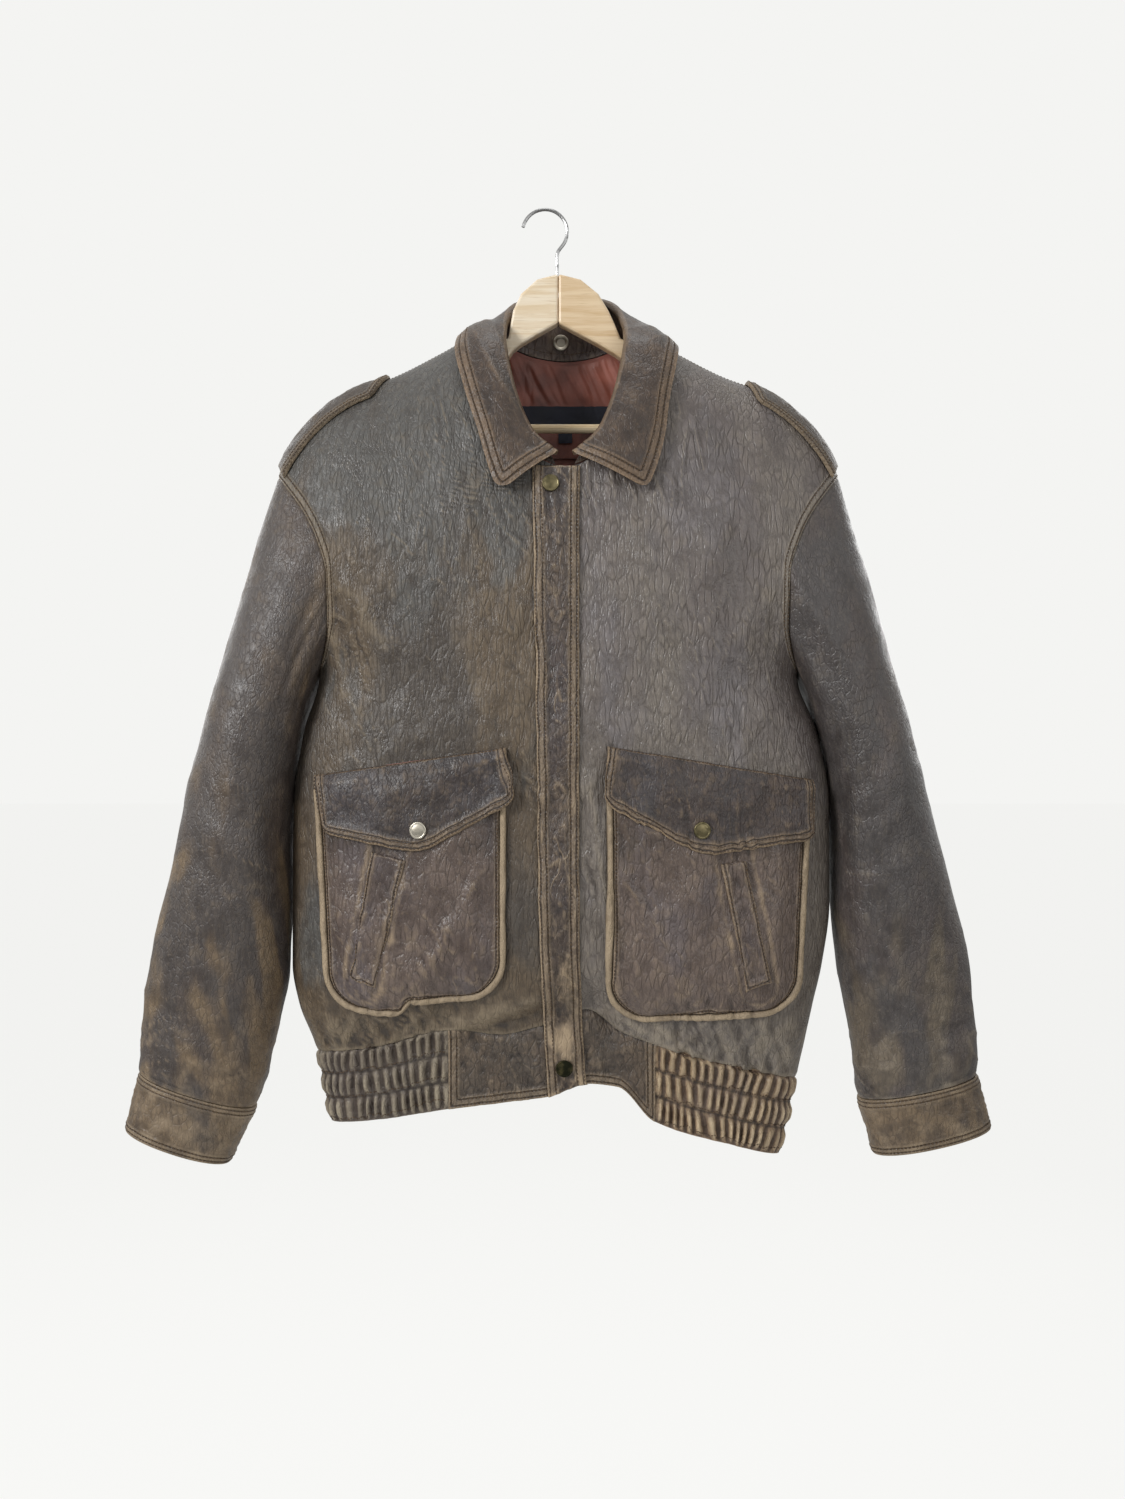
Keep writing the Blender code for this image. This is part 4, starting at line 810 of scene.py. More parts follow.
@dataclass(frozen=True)
class WovenCloth:
    """Plain or satin woven cloth: threads of warp and weft, with a sheen.

    Args:
        name: The material's name.
        thread: The colour of the threads.
        shade: The colour between them.
        thread_mm: Spacing of the threads, drawn coarser than the real one so that it shows.
        roughness: Mean roughness.
        sheen: Strength of the sheen.
    """

    name: str
    thread: str
    shade: str
    thread_mm: float = 0.9
    roughness: float = 0.6
    sheen: float = 0.2

    def build(self) -> bpy.types.Material:
        """Makes the material."""
        recipe = Recipe(self.name)
        math_of, shader, place = recipe.math_of, recipe.shader, recipe.place()
        blotch = recipe.noisy(place, 38.0, 4.0)
        parts = add_node(recipe.tree, "SeparateXYZ", {0: place}).outputs
        step = 2 * math.pi / (self.thread_mm * MM)
        warp, weft = (math_of("SINE", math_of("MULTIPLY", parts[axis], step)) for axis in (0, 2))
        weave = math_of("MULTIPLY", warp, weft)
        share = recipe.spread(math_of("MULTIPLY_ADD", weave, 0.18, blotch), 0.25, 0.75)
        recipe.wear(recipe.mixed(share, self.shade, self.thread), weave, 0.25, 0.0002)
        shader.inputs["Roughness"].default_value = self.roughness
        shader.inputs["Sheen Weight"].default_value = self.sheen
        shader.inputs["Sheen Roughness"].default_value = 0.4
        return recipe.made


@dataclass(frozen=True)
class HandledMetal:
    """Plated or drawn metal, dulled by handling: darker, rougher blotches on a bright ground.

    Args:
        name: The material's name.
        bright: The bare metal's colour.
        dull: The colour of the tarnish.
        tarnish: How much of it is tarnished, 0 to 1.
        roughness: Roughness of the bright metal.
    """

    name: str
    bright: str
    dull: str
    tarnish: float = 0.5
    roughness: float = 0.3

    def build(self) -> bpy.types.Material:
        """Makes the material."""
        recipe = Recipe(self.name)
        blotch = recipe.noisy(recipe.place(), 150.0, 3.0, Roughness=0.5)
        low = 0.72 - 0.44 * self.tarnish
        share = recipe.ranged(blotch, low - 0.12, low + 0.14)
        ends = {0: share, 3: self.roughness, 4: self.roughness + 0.25}
        rough = add_node(recipe.tree, "MapRange", ends).outputs[0]
        recipe.tree.links.new(rough, recipe.shader.inputs["Roughness"])
        recipe.wear(recipe.mixed(share, self.bright, self.dull), blotch, 0.15, 0.0002)
        recipe.shader.inputs["Metallic"].default_value = 1.0
        return recipe.made


@dataclass(frozen=True)
class LacqueredBeech:
    """Clear lacquered pale hardwood: grain in long bands with fine darker flecks along it.

    Args:
        name: The material's name.
        pale: The colour of the early wood.
        dark: The colour of the late wood.
        turn: How far the grain is turned about Y, in radians; 0 runs along X.
        band_mm: Width of the grain's bands.
    """

    name: str
    pale: str
    dark: str
    turn: float = 0.0
    band_mm: float = 3.2

    def build(self) -> bpy.types.Material:
        """Makes the material."""
        recipe = Recipe(self.name)
        mixed, shader, across = recipe.mixed, recipe.shader, 1 / (self.band_mm * MM)
        scale = (0.05 * across, 0.6 * across, across)
        inputs = {"Vector": recipe.place(), "Rotation": (0, self.turn, 0), "Scale": scale}
        turned = add_node(recipe.tree, "Mapping", inputs).outputs[0]
        bands = recipe.noisy(turned, 0.55, 4.0, Roughness=0.6, Distortion=0.5)
        flecks = recipe.noisy(turned, 4.5, 3.0)
        colour = mixed(recipe.ranged(bands, 0.35, 0.68), self.pale, self.dark)
        colour = mixed(recipe.spread(flecks, 0.58, 0.74, 0.45), colour, "#B08E5A")
        recipe.wear(colour, flecks, 0.12, 0.0002)
        shader.inputs["Roughness"].default_value = 0.42
        shader.inputs["Coat Weight"].default_value = 0.25
        shader.inputs["Coat Roughness"].default_value = 0.3
        return recipe.made


@dataclass(frozen=True)
class SpunThread:
    """Bonded sewing thread, twisted and faded.

    Args:
        name: The material's name.
        colour: The thread's colour.
        faded: The colour where it has faded.
    """

    name: str
    colour: str
    faded: str

    def build(self) -> bpy.types.Material:
        """Makes the material."""
        recipe = Recipe(self.name)
        share = recipe.spread(recipe.noisy(recipe.place(), 90.0, 3.0), 0.35, 0.65)
        colour = recipe.mixed(share, self.colour, self.faded)
        recipe.tree.links.new(colour, recipe.shader.inputs["Base Color"])
        recipe.shader.inputs["Roughness"].default_value = 0.7
        return recipe.made


class Finishes:
    """Every finish of the jacket and its hanger, each made once."""

    def __init__(self) -> None:
        """Makes the materials, by the name of the piece or the stuff that wears them."""
        self.made = {
            key: finish.build()
            for key, finish in {
                # Cowhide, drum-dyed brown and rubbed: the wearer's right front has faded to olive and slate.
                "front_right": WornCowhide(
                    "cowhide, right front", "#514A43", "#655746", "#575857", "#332C27", "#8C7E69",
                    crackle=0.3, wrinkle_mm=3.6, stretch=4.4, roughness=0.42, cloud_share=0.4,
                    buff=0.0, lines=(2.0, 8.0),
                ),
                # The left front is greyer, with long fine wrinkles.
                "front_left": WornCowhide(
                    "cowhide, left front", "#6B6361", "#7B736B", "#736E70", "#463F3B", "#968B7B",
                    crackle=0.34, wrinkle_mm=4.2, stretch=4.4, roughness=0.34, cloud_share=0.5,
                    buff=0.0, lines=(2.0, 8.0),
                ),
                # The back has been worn less, and keeps more of its dye.
                "back": WornCowhide(
                    "cowhide, back", "#554D47", "#665B4D", "#585654", "#35302D", "#887B65",
                    crackle=0.3, wrinkle_mm=3.8, stretch=4.4, roughness=0.42, cloud_share=0.4,
                    buff=0.0, lines=(2.0, 8.0),
                ),
                # Sleeves are darker, with tan clouds where they rub the body and at the elbows.
                "sleeve_left": WornCowhide(
                    "cowhide, left sleeve", "#514947", "#6C6153", "#4B4848", "#302B29", "#8A7F70",
                    crackle=0.22, wrinkle_mm=3.4, stretch=2.0, roughness=0.38, cloud_share=0.35,
                    buff=0.0, lines=(2.4, 6.2),
                ),
                "sleeve": WornCowhide(
                    "cowhide, right sleeve", "#4E4540", "#77654F", "#4C4745", "#302926", "#8F7E68",
                    crackle=0.22, wrinkle_mm=3.4, stretch=2.0, roughness=0.42, cloud_share=0.42,
                    buff=0.0, lines=(2.4, 6.2),
                ),
                "collar": WornCowhide(
                    "cowhide, collar", "#3D3028", "#4D3E32", "#3A302B", "#261F1B", "#8F7860",
                    crackle=0.2, wrinkle_mm=3.8, stretch=2.0, roughness=0.36, cloud_share=0.4,
                    buff=0.0, lines=(4.5, 10.8),
                ),
                "strap": WornCowhide(
                    "cowhide, shoulder strap", "#4A4139", "#5A4E42", "#4C4642", "#2F2825", "#84745F",
                    crackle=0.3, wrinkle_mm=5.0, stretch=2.0, roughness=0.46, cloud_share=0.4,
                    buff=0.1, lines=(2.4, 7.4),
                ),
                # Flaps and pockets are from a darker, purple-brown hide.
                "flap": WornCowhide(
                    "cowhide, flap", "#3E3533", "#493F3C", "#413D40", "#272220", "#A08A6F",
                    crackle=0.24, wrinkle_mm=4.0, stretch=2.6, roughness=0.44, cloud_share=0.35,
                    buff=0.0, lines=(2.8, 7.4),
                ),
                "pocket": WornCowhide(
                    "cowhide, pocket", "#635650", "#6F6159", "#645C5E", "#3B312D", "#96836C",
                    crackle=0.32, wrinkle_mm=4.2, stretch=2.6, roughness=0.36, cloud_share=0.45,
                    buff=0.0, lines=(2.2,),
                ),
                "storm": WornCowhide(
                    "cowhide, storm flap", "#4C413B", "#64564A", "#4C4444", "#2B2421", "#A8947A",
                    crackle=0.3, wrinkle_mm=3.6, stretch=2.6, roughness=0.38, cloud_share=0.45,
                    buff=0.4, lines=(2.2, 7.4),
                ),
                "band": WornCowhide(
                    "cowhide, waistband", "#54483E", "#68594A", "#4F4740", "#2A2420", "#9A8871",
                    crackle=0.35, wrinkle_mm=4.5, stretch=2.2, roughness=0.44, cloud_share=0.45,
                    buff=0.2, lines=(2.4, 7.4),
                ),
                "gathers_right": WornCowhide(
                    "cowhide, right elastic waist", "#6B6056", "#7D7364", "#69615C", "#423832", "#9B907D",
                    crackle=0.3, wrinkle_mm=4.0, stretch=1.6, roughness=0.48, cloud_share=0.5,
                    buff=0.0, lines=(),
                ),
                "gathers": WornCowhide(
                    "cowhide, elastic waist", "#907860", "#A38B6D", "#7E6F63", "#4C3C33", "#CDB999",
                    crackle=0.3, wrinkle_mm=4.0, stretch=1.6, roughness=0.48, cloud_share=0.5,
                    buff=0.0, lines=(),
                ),
                "piping": WornCowhide(
                    "cowhide, rubbed piping", "#7D6C56", "#8F7E67", "#756552", "#54473B", "#A5937A",
                    crackle=0.2, wrinkle_mm=3.0, stretch=1.5, roughness=0.5, cloud_share=0.6,
                    buff=0.0, lines=(),
                ),
                # Rayon satin lining, red-brown.
                "lining": WovenCloth(
                    "rayon satin lining", "#A8604E", "#5A3027", thread_mm=0.7, roughness=0.4, sheen=0.3
                ),
                "label": WovenCloth(
                    "woven polyester label", "#171B2C", "#0D0F1A", thread_mm=0.6, roughness=0.7, sheen=0.0
                ),
                # Pressed brass with an antique finish.
                "brass": HandledMetal("antique brass", "#6B634A", "#4C4734", tarnish=0.45, roughness=0.32),
                "bright": HandledMetal(
                    "rubbed nickel on brass", "#B5AFA2", "#8D8779", tarnish=0.12, roughness=0.32
                ),
                "black": HandledMetal("blackened brass", "#4B4630", "#23241A", tarnish=0.7, roughness=0.45),
                "steel": HandledMetal("drawn steel wire", "#8E8E8E", "#6E6E6E", tarnish=0.3, roughness=0.3),
                "beech_right": LacqueredBeech("lacquered beech, right arm", "#EBDDC6", "#DCC6A4", turn=1.25),
                "beech_left": LacqueredBeech("lacquered beech, left arm", "#DFC8A6", "#CDAF86", turn=-0.62),
                "bar": LacqueredBeech("lacquered beech, bar", "#E6D3B0", "#D3B88C", turn=0.0),
                "thread": SpunThread("bonded polyester thread", "#3B2C20", "#5A4630"),
            }.items()
        }

    def __getitem__(self, name: str) -> bpy.types.Material:
        """The material of this name."""
        return self.made[name]


# ---------------------------------------------------------------- cloth


@dataclass(frozen=True)
class Cut:
    """The flat size of a piece of leather or cloth as it was cut, in millimetres.

    Args:
        width: Its greatest width, all round on a tube. Not used.
        length: Its greatest length. Not used.
        share: Its area as a share of width times length. Not used.
        held: How it is held now. Not used.
        rests_on: What it lies on or hangs from.
    """

    width: float
    length: float
    share: float
    held: str
    rests_on: tuple[str, ...]

    def declare(self, made: bpy.types.Object) -> None:
        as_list(self.rests_on)


def side_cuts(name: str) -> dict[str, Cut]:
    """The cuts of one side's pieces."""
    front, arm = f"front_{name}_leather", f"hanger_arm_{name}"
    pocket = f"pocket_{name}_leather"
    return {
        f"front_{name}": Cut(280, 662, 0.79, "hung", (arm,)),
        f"sleeve_{name}": Cut(456, 590, 0.6, "hung", (front, "back_leather")),
        f"cuff_{name}": Cut(280, 54, 0.95, "hung", (f"sleeve_{name}_leather",)),
        f"waist_front_{name}": Cut(106, 70, 0.85, "hung", (front,)),
        f"waist_elastic_{name}": Cut(350, 72, 0.93, "gathered", (front, "back_leather")),
        f"pocket_{name}": Cut(172, 232, 0.83, "laid", (front,)),
        f"pocket_piping_{name}": Cut(10, 560, 0.85, "folded", (front,)),
        f"pocket_welt_{name}": Cut(30, 116, 0.88, "laid", (pocket,)),
        f"pocket_flap_{name}": Cut(205, 82, 0.76, "folded", (front,)),
        f"epaulette_{name}": Cut(90, 130, 0.8, "laid", (arm,)),
    }


CUTS = {
    "back": Cut(645, 682, 0.69, "hung", ("hanger_arm_left", "hanger_arm_right")),
    "waist_back": Cut(228, 71, 0.97, "hung", ("back_leather",)),
    "storm_flap": Cut(43, 556, 0.88, "hung", ("front_left_leather",)),
    "collar_stand": Cut(522, 30, 0.62, "folded", ("back_leather",)),
    "collar": Cut(620, 90, 0.66, "folded", ("collar_stand_leather",)),
    "neck_lining": Cut(122, 100, 0.88, "gathered", ("back_leather",)),
    "neck_label": Cut(88, 20, 1, "laid", ("neck_lining_leather",)),
    "size_tab": Cut(14, 15, 1, "laid", ("neck_lining_leather",)),
    **side_cuts("left"),
    **side_cuts("right"),
}


@dataclass
class Cloth:
    """A piece of leather or cloth, as grids of its outer and its inner face.

    Args:
        name: The CAD node that it replaces.
        outer: Points of its outer face, by row and column.
        inner: Points of its inner face.
        finish: The finish of its outer face and its edges.
        inside: The finish of its inner face.
        ring: Whether its columns run round on themselves.
        paint: Wear, dirt with painted shade, tone and distance from a sewn edge in millimetres by point, of
                whichever it has.
    """

    name: str
    outer: Grid
    inner: Grid
    finish: str
    inside: str = "lining"
    ring: bool = False
    paint: dict[str, Grid] = field(default_factory=dict)

    def quads(self) -> tuple[Grid, Grid]:
        """Its faces.

        Returns:
            The corners of each face and whether it belongs to the inner face.
        """
        rows, columns = self.outer.shape[:2]
        index = np.arange(rows * columns).reshape(rows, columns)
        if self.ring:
            index = np.concatenate([index, index[:, :1]], 1)
        face = np.stack([index[:-1, :-1], index[1:, :-1], index[1:, 1:], index[:-1, 1:]], -1).reshape(-1, 4)
        count = rows * columns
        borders = [index[0, ::-1], index[-1]]
        if not self.ring:
            borders += [index[:, 0], index[::-1, -1]]
        rims = [np.stack([b[:-1] + count, b[1:] + count, b[1:], b[:-1]], -1) for b in borders]
        rims = np.concatenate(rims)
        return np.concatenate([face, rims, face[:, ::-1] + count]), len(face) + len(rims)

    def swelling(self) -> Grid:
        """How far each point stands out of the 4 mm round it, from -1 in a hollow to 1 on a crest."""
        out = unit(self.outer - self.inner)
        total = np.zeros(self.outer.shape[:2])
        for axis in (0, 1):
            grid = np.moveaxis(self.outer, axis, 0)
            step = float(np.median(np.linalg.norm(np.diff(grid, axis=0), axis=-1)))
            reach = max(1, round(4 / step))
            at = np.arange(len(grid))
            if self.ring and axis == 1:
                first, second = np.roll(grid, reach, 0), np.roll(grid, -reach, 0)
                kept = np.ones(len(grid))
            else:
                first, second = grid[np.maximum(at - reach, 0)], grid[np.minimum(at + reach, len(grid) - 1)]
                kept = ((at >= reach) & (at < len(grid) - reach)).astype(float)
            rise = ((grid - (first + second) / 2) * np.moveaxis(out, axis, 0)).sum(-1)
            bulge = rise / np.maximum(((second - first) ** 2).sum(-1) / 4, 4.0) * kept[:, None]
            total = total + np.moveaxis(bulge, 0, axis)
        return np.clip(11 * total, -1, 1)

    def build(self, finishes: Finishes) -> bpy.types.Object:
        """Makes the object, closed, facing out and painted.

        Args:
            finishes: The finishes that it can wear.

        Returns:
            The object, in place of its CAD node.
        """
        points = np.concatenate([self.outer.reshape(-1, 3), self.inner.reshape(-1, 3)])
        points = (points + (CENTRE_X, 0, 0)) * MM
        faces, inner_from = self.quads()
        a, b, c, d = (points[faces[:, k]] for k in range(4))
        if np.einsum("ij,ij->i", a + c, np.cross(b - a, d - a)).sum() < 0:
            faces = faces[:, ::-1]
        data = bpy.data.meshes.new(self.name)
        data.from_pydata(points.tolist(), [], faces.tolist())
        data.materials.append(finishes[self.finish])
        data.materials.append(finishes[self.inside])
        slots = (np.arange(len(faces)) >= inner_from).astype(np.int32)
        data.polygons.foreach_set("material_index", slots)
        # The swell drives painted highlight on crests and painted shade in hollows in the cowhide finishes.
        paint = {"edge": 99.0, "swell": self.swelling(), **self.paint}
        for name in PAINTED:
            values = np.broadcast_to(paint.get(name, 0.0), self.outer.shape[:2])
            layer = data.attributes.new(name, "FLOAT", "POINT")
            layer.data.foreach_set("value", np.tile(values.reshape(-1), 2).astype(np.float32))
        data.update()
        made = add_object(self.name + "_leather", data)
        select_only(made)
        bpy.ops.object.shade_smooth_by_angle(angle=math.radians(48))
        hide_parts(self.name)
        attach(made, "root")
        CUTS[self.name].declare(made)
        return made


def add_object(name: str, data: bpy.types.ID) -> bpy.types.Object:
    """A new object of this data, in the scene."""
    made = bpy.data.objects.new(name, data)
    bpy.context.scene.collection.objects.link(made)
    return made


def select_only(target: bpy.types.Object) -> None:
    """Makes this the only selected object, and the active one."""
    bpy.ops.object.select_all(action="DESELECT")
    target.select_set(True)
    bpy.context.view_layer.objects.active = target


def even_shares(count: int, power: float = 2.5, flat: float = 0.3) -> Grid:
    """Places from the middle to the side of a level section, at even steps along its curve.

    Args:
        count: How many steps.
        power: Roundness of the section.
        flat: Its depth as a share of its half width.

    Returns:
        The places as shares of the half width.
    """
    turn = np.linspace(0, math.pi / 2, 900)
    wide, deep = np.sin(turn) ** (2 / power), np.cos(turn) ** (2 / power)
    run = np.concatenate([[0], np.cumsum(np.hypot(np.diff(wide), flat * np.diff(deep)))])
    shares = np.interp(np.linspace(0, run[-1], count + 1), run, wide)
    shares[[0, -1]] = 0, 1
    return shares


def packed(first: float, last: float, count: int, near: tuple[float, ...]) -> Grid:
    """Even steps with more of them close to both ends, at these distances."""
    even = np.linspace(first, last, count + 1)
    near = np.array(near)
    return np.unique(np.concatenate([even, first + near, last - near]))


def seam_profile(away: Grid, lines: tuple[float, ...], wide: float, height: float) -> Grid:
    """Height of a top-stitched edge, raised by what is folded under it and drawn in at each line of stitches.

    Args:
        away: Distance from the edge.
        lines: Distance of each line of stitches from the edge.
        wide: How far the folded edge runs under.
        height: How much it raises the surface.

    Returns:
        The height at each distance.
    """
    total = height * (1 - smooth(away, wide - 1.5, wide + 2.5))
    for line in lines:
        total = total - 0.5 * bell(away - line, 0.9)
    return total - 0.9 * bell(away, 1.1)


def along_rows(grid: Grid) -> Grid:
    """Distance of each point from its row's first point, along the row."""
    step = np.linalg.norm(np.diff(grid, axis=1), axis=-1)
    return np.concatenate([np.zeros((len(grid), 1)), np.cumsum(step, axis=1)], 1)


def along_columns(grid: Grid) -> Grid:
    """Distance of each point from its column's first point, along the column."""
    return along_rows(np.swapaxes(grid, 0, 1)).T


def neck_seam(form: BodyForm, side: Side, station: int) -> tuple[float, float]:
    """X and height of a station of the neck seam."""
    row = NECK[station]
    x = NECK_X + side * row[3]
    return x, float(form.shoulder(abs(x))) if station == SHOULDER_STATION else row[4]


@dataclass
class Panel:
    """A cut piece of the body, as it lies.

    Args:
        grid: Points of its outer face.
        normals: The way out at each.
        seams: Distance of each point from each of its seams.
    """

    grid: Grid
    normals: Grid
    seams: dict[str, Grid]


@dataclass
class Body:
    """The fronts, the back and the sleeves, cut from hide about 2.3 mm thick as lined.

    Args:
        form: What they lie on.
        leather: Thickness of the wall.
        armhole_rows: Rows of the mesh from the shoulder to the underarm.
        side_rows: Rows from there to the waist.
        columns: Columns from the middle to a side.
        sleeve_rings: Rings of a sleeve's mesh.
    """

    form: BodyForm
    leather: float = 2.3
    armhole_rows: int = 72
    side_rows: int = 96
    columns: int = 70
    sleeve_rings: int = 120
    fronts: dict[Side, Panel] = field(default_factory=dict)
    back: Panel | None = None

    def outer_edge(self, side: Side) -> tuple[Grid, Grid]:
        """X and height of a panel's outer edge, down the armhole and then the side seam."""
        top, bottom = ARMHOLE[0][0], ARMHOLE[-1][0]
        turn = np.linspace(0, math.pi, self.armhole_rows + 1)
        eased = 0.35 * np.cos(turn) + 0.65 * (1 - 2 * turn / math.pi)
        down = (top + bottom) / 2 + (top - bottom) / 2 * eased
        waist = WAIST[0 if side == Side.RIGHT else -1][1]
        seam = np.linspace(bottom, waist, self.side_rows + 1)[1:]
        wide = np.concatenate([self.form.armhole(down), self.form.half[side](seam)])
        return side * wide, np.concatenate([down, seam])

    def inner_edge(self, side: Side) -> tuple[Grid, Grid]:
        """X and height of a front's inner edge, down the neck seam and then the centre line."""
        stations = range(SHOULDER_STATION, -1, -1)
        neck = refine(np.array([neck_seam(self.form, side, k) for k in stations]), 6)
        start, end = neck[-1, 1], float(self.form.waist_front(self.form.centre(-720)))
        count = self.armhole_rows + self.side_rows + 1 - len(neck)
        steps = np.linspace(start, end, count + 1)[1:]
        return np.concatenate([neck[:, 0], self.form.centre(steps)]), np.concatenate([neck[:, 1], steps])

    def front(self, side: Side) -> Panel:
        """The outer face of a front."""
        outer_x, outer_z = self.outer_edge(side)
        inner_x, inner_z = self.inner_edge(side)
        shares = even_shares(self.columns)
        xs = inner_x[:, None] + (outer_x - inner_x)[:, None] * shares
        zs = inner_z[:, None] + (outer_z - inner_z)[:, None] * shares
        row = np.arange(len(zs))[:, None]
        top_bow = self.form.shoulder(np.abs(xs[0])) - zs[0]
        waist_bow = self.form.waist_front(xs[-1]) - zs[-1]
        zs = zs + top_bow * (1 - np.clip(row / self.armhole_rows, 0, 1) ** 1.6)
        zs = zs + waist_bow * np.clip((row - self.armhole_rows) / self.side_rows, 0, 1) ** 2
        ys = self.form.y(xs, zs, Face.FRONT)
        ys[0] = 0
        ys[self.armhole_rows :, -1] = 0
        return self.panel(np.stack([xs, ys, zs], -1), Face.FRONT, {"armhole": -1})

    def back_panel(self) -> Panel:
        """The outer face of the back, from the wearer's right to the left."""
        shares = even_shares(self.columns)
        (right_x, right_z), (left_x, left_z) = self.outer_edge(Side.RIGHT), self.outer_edge(Side.LEFT)
        shoulders = {}
        for side, end in ((Side.RIGHT, right_x[0]), (Side.LEFT, left_x[0])):
            start = neck_seam(self.form, side, SHOULDER_STATION)[0]
            shoulders[side] = start + (end - start) * shares
        behind = range(SHOULDER_STATION, len(NECK))
        neck = [neck_seam(self.form, Side.RIGHT, k) for k in behind]
        neck += [neck_seam(self.form, Side.LEFT, k) for k in behind[-2::-1]]
        neck_x, neck_z = refine(np.array(neck), 6)[1:-1].T
        top_x = np.concatenate([shoulders[Side.RIGHT][::-1], neck_x, shoulders[Side.LEFT]])
        top_z = self.form.shoulder(np.abs(top_x))
        top_z[len(shares) : -len(shares)] = neck_z
        top_share = (top_x - top_x[0]) / (top_x[-1] - top_x[0])
        places = np.linspace(-1, 1, len(top_x))
        dense = even_shares(400)
        even = (np.sign(places) * np.interp(np.abs(places), np.linspace(0, 1, 401), dense) + 1) / 2
        row = np.arange(len(right_z))[:, None]
        ease = np.clip(row / self.armhole_rows, 0, 1) ** 0.7
        share = (1 - ease) * top_share + ease * even
        xs = right_x[:, None] + (left_x - right_x)[:, None] * share
        line = right_z[:, None] + (left_z - right_z)[:, None] * share
        bow = np.interp(share, top_share, top_z - line[0])
        zs = line + bow * (1 - np.clip(row / (1.2 * self.armhole_rows), 0, 1) ** 1.5)
        waist_bow = self.form.waist(xs[-1], Face.BACK) - zs[-1]
        zs = zs + waist_bow * np.clip((row - self.armhole_rows) / self.side_rows, 0, 1) ** 2
        ys = self.form.y(xs, zs, Face.BACK)
        ys[0, : len(shares)] = 0
        ys[0, -len(shares) :] = 0
        ys[self.armhole_rows :, [0, -1]] = 0
        return self.panel(np.stack([xs, ys, zs], -1), Face.BACK, {"right": 0, "left": -1})

    def panel(self, grid: Grid, face: Face, sides: dict[str, int]) -> Panel:
        """Works out a panel's normals and its points' distances from its seams."""
        normals = grid_normals(grid, (0, face, 0))
        run, fall = along_rows(grid), along_columns(grid)
        seams = {name: run if end == 0 else run[:, -1:] - run for name, end in sides.items()}
        seams |= {"top": fall, "waist": fall[-1:] - fall}
        return Panel(grid, normals, seams)

    def shape(self) -> None:
        """Lays out the fronts, the back and the sleeves, with normals that meet at their seams."""
        self.fronts = {side: self.front(side) for side in Side}
        self.back = self.back_panel()
        for side, front in self.fronts.items():
            edge = 0 if side == Side.RIGHT else -1
            share_edges(front.normals[self.armhole_rows :, -1], self.back.normals[self.armhole_rows :, edge])
            count = self.columns + 1
            over = slice(count - 1, None, -1) if side == Side.RIGHT else slice(-count, None)
            share_edges(front.normals[0], self.back.normals[0, over])

    def sleeve(self, side: Side) -> Grid:
        """The outer face of a sleeve without its wrinkles, in rings from the armhole to the cuff."""
        first = 1 if side == Side.RIGHT else 5
        edge = [column(SLEEVE, 0, first + k) for k in range(4)]
        half_depth, middle_y = column(SLEEVE, 0, 9), column(SLEEVE, 0, 10)
        front = self.fronts[side].grid[: self.armhole_rows + 1, -1]
        behind = self.back.grid[self.armhole_rows - 1 : 0 : -1, 0 if side == Side.RIGHT else -1]
        hole = np.concatenate([front, behind])

        def ends(share: float) -> tuple[Grid, Grid]:
            """Middle of a ring and its half width as a vector."""
            outer = np.array([edge[0](share), 0, edge[1](share)])
            inner = np.array([edge[2](share), 0, edge[3](share)])
            return (outer + inner) / 2, (outer - inner) / 2

        middle, half = ends(0.0)
        turn = np.arccos(np.clip((hole - middle) @ half / (half @ half), -1, 1))
        turn = np.where(np.arange(len(hole)) > self.armhole_rows, 2 * math.pi - turn, turn)
        even = np.linspace(0, 2 * math.pi, len(hole), endpoint=False)
        rings = []
        for share in packed(0, 1, self.sleeve_rings, (0.0025, 0.005, 0.0085)):
            ease = smooth(np.array(share), 0.0, 0.4)
            at = turn * (1 - ease) + even * ease
            wide, deep = rounded(at)
            middle, half = ends(share)
            points = middle + wide[:, None] * half
            points[:, 1] += middle_y(share) + deep * half_depth(share)
            if not rings:
                inset = hole - points
            rings.append(points + inset * max(0, 1 - share / 0.45) ** 2)
        return np.array(rings)

    def sleeve_relief(self, side: Side, grid: Grid) -> tuple[Grid, Grid]:
        """Wrinkles of a sleeve.

        Args:
            side: Whose sleeve.
            grid: Its rings.

        Returns:
            How far each point stands out, and how sharply creased it is, from 0 to 1.
        """
        run = along_columns(grid).mean(axis=1)[:, None]
        share = run / run[-1]
        turn = np.linspace(0, 1, grid.shape[1], endpoint=False)[None, :]
        round_mm = SLEEVE_ROUND * turn
        seed = 61 if side == Side.RIGHT else 71

        def wrapped(make: Pattern, across: float, length: float, lean: float, seed: int) -> Grid:
            """Noise that meets itself round the sleeve."""
            u, v = round_mm / across, (run + lean * round_mm) / length
            other = (run + lean * (round_mm - SLEEVE_ROUND)) / length
            blend = smooth(turn, 0.35, 0.65)
            return make(u, v, seed) * (1 - blend) + make(u - SLEEVE_ROUND / across, other, seed) * blend

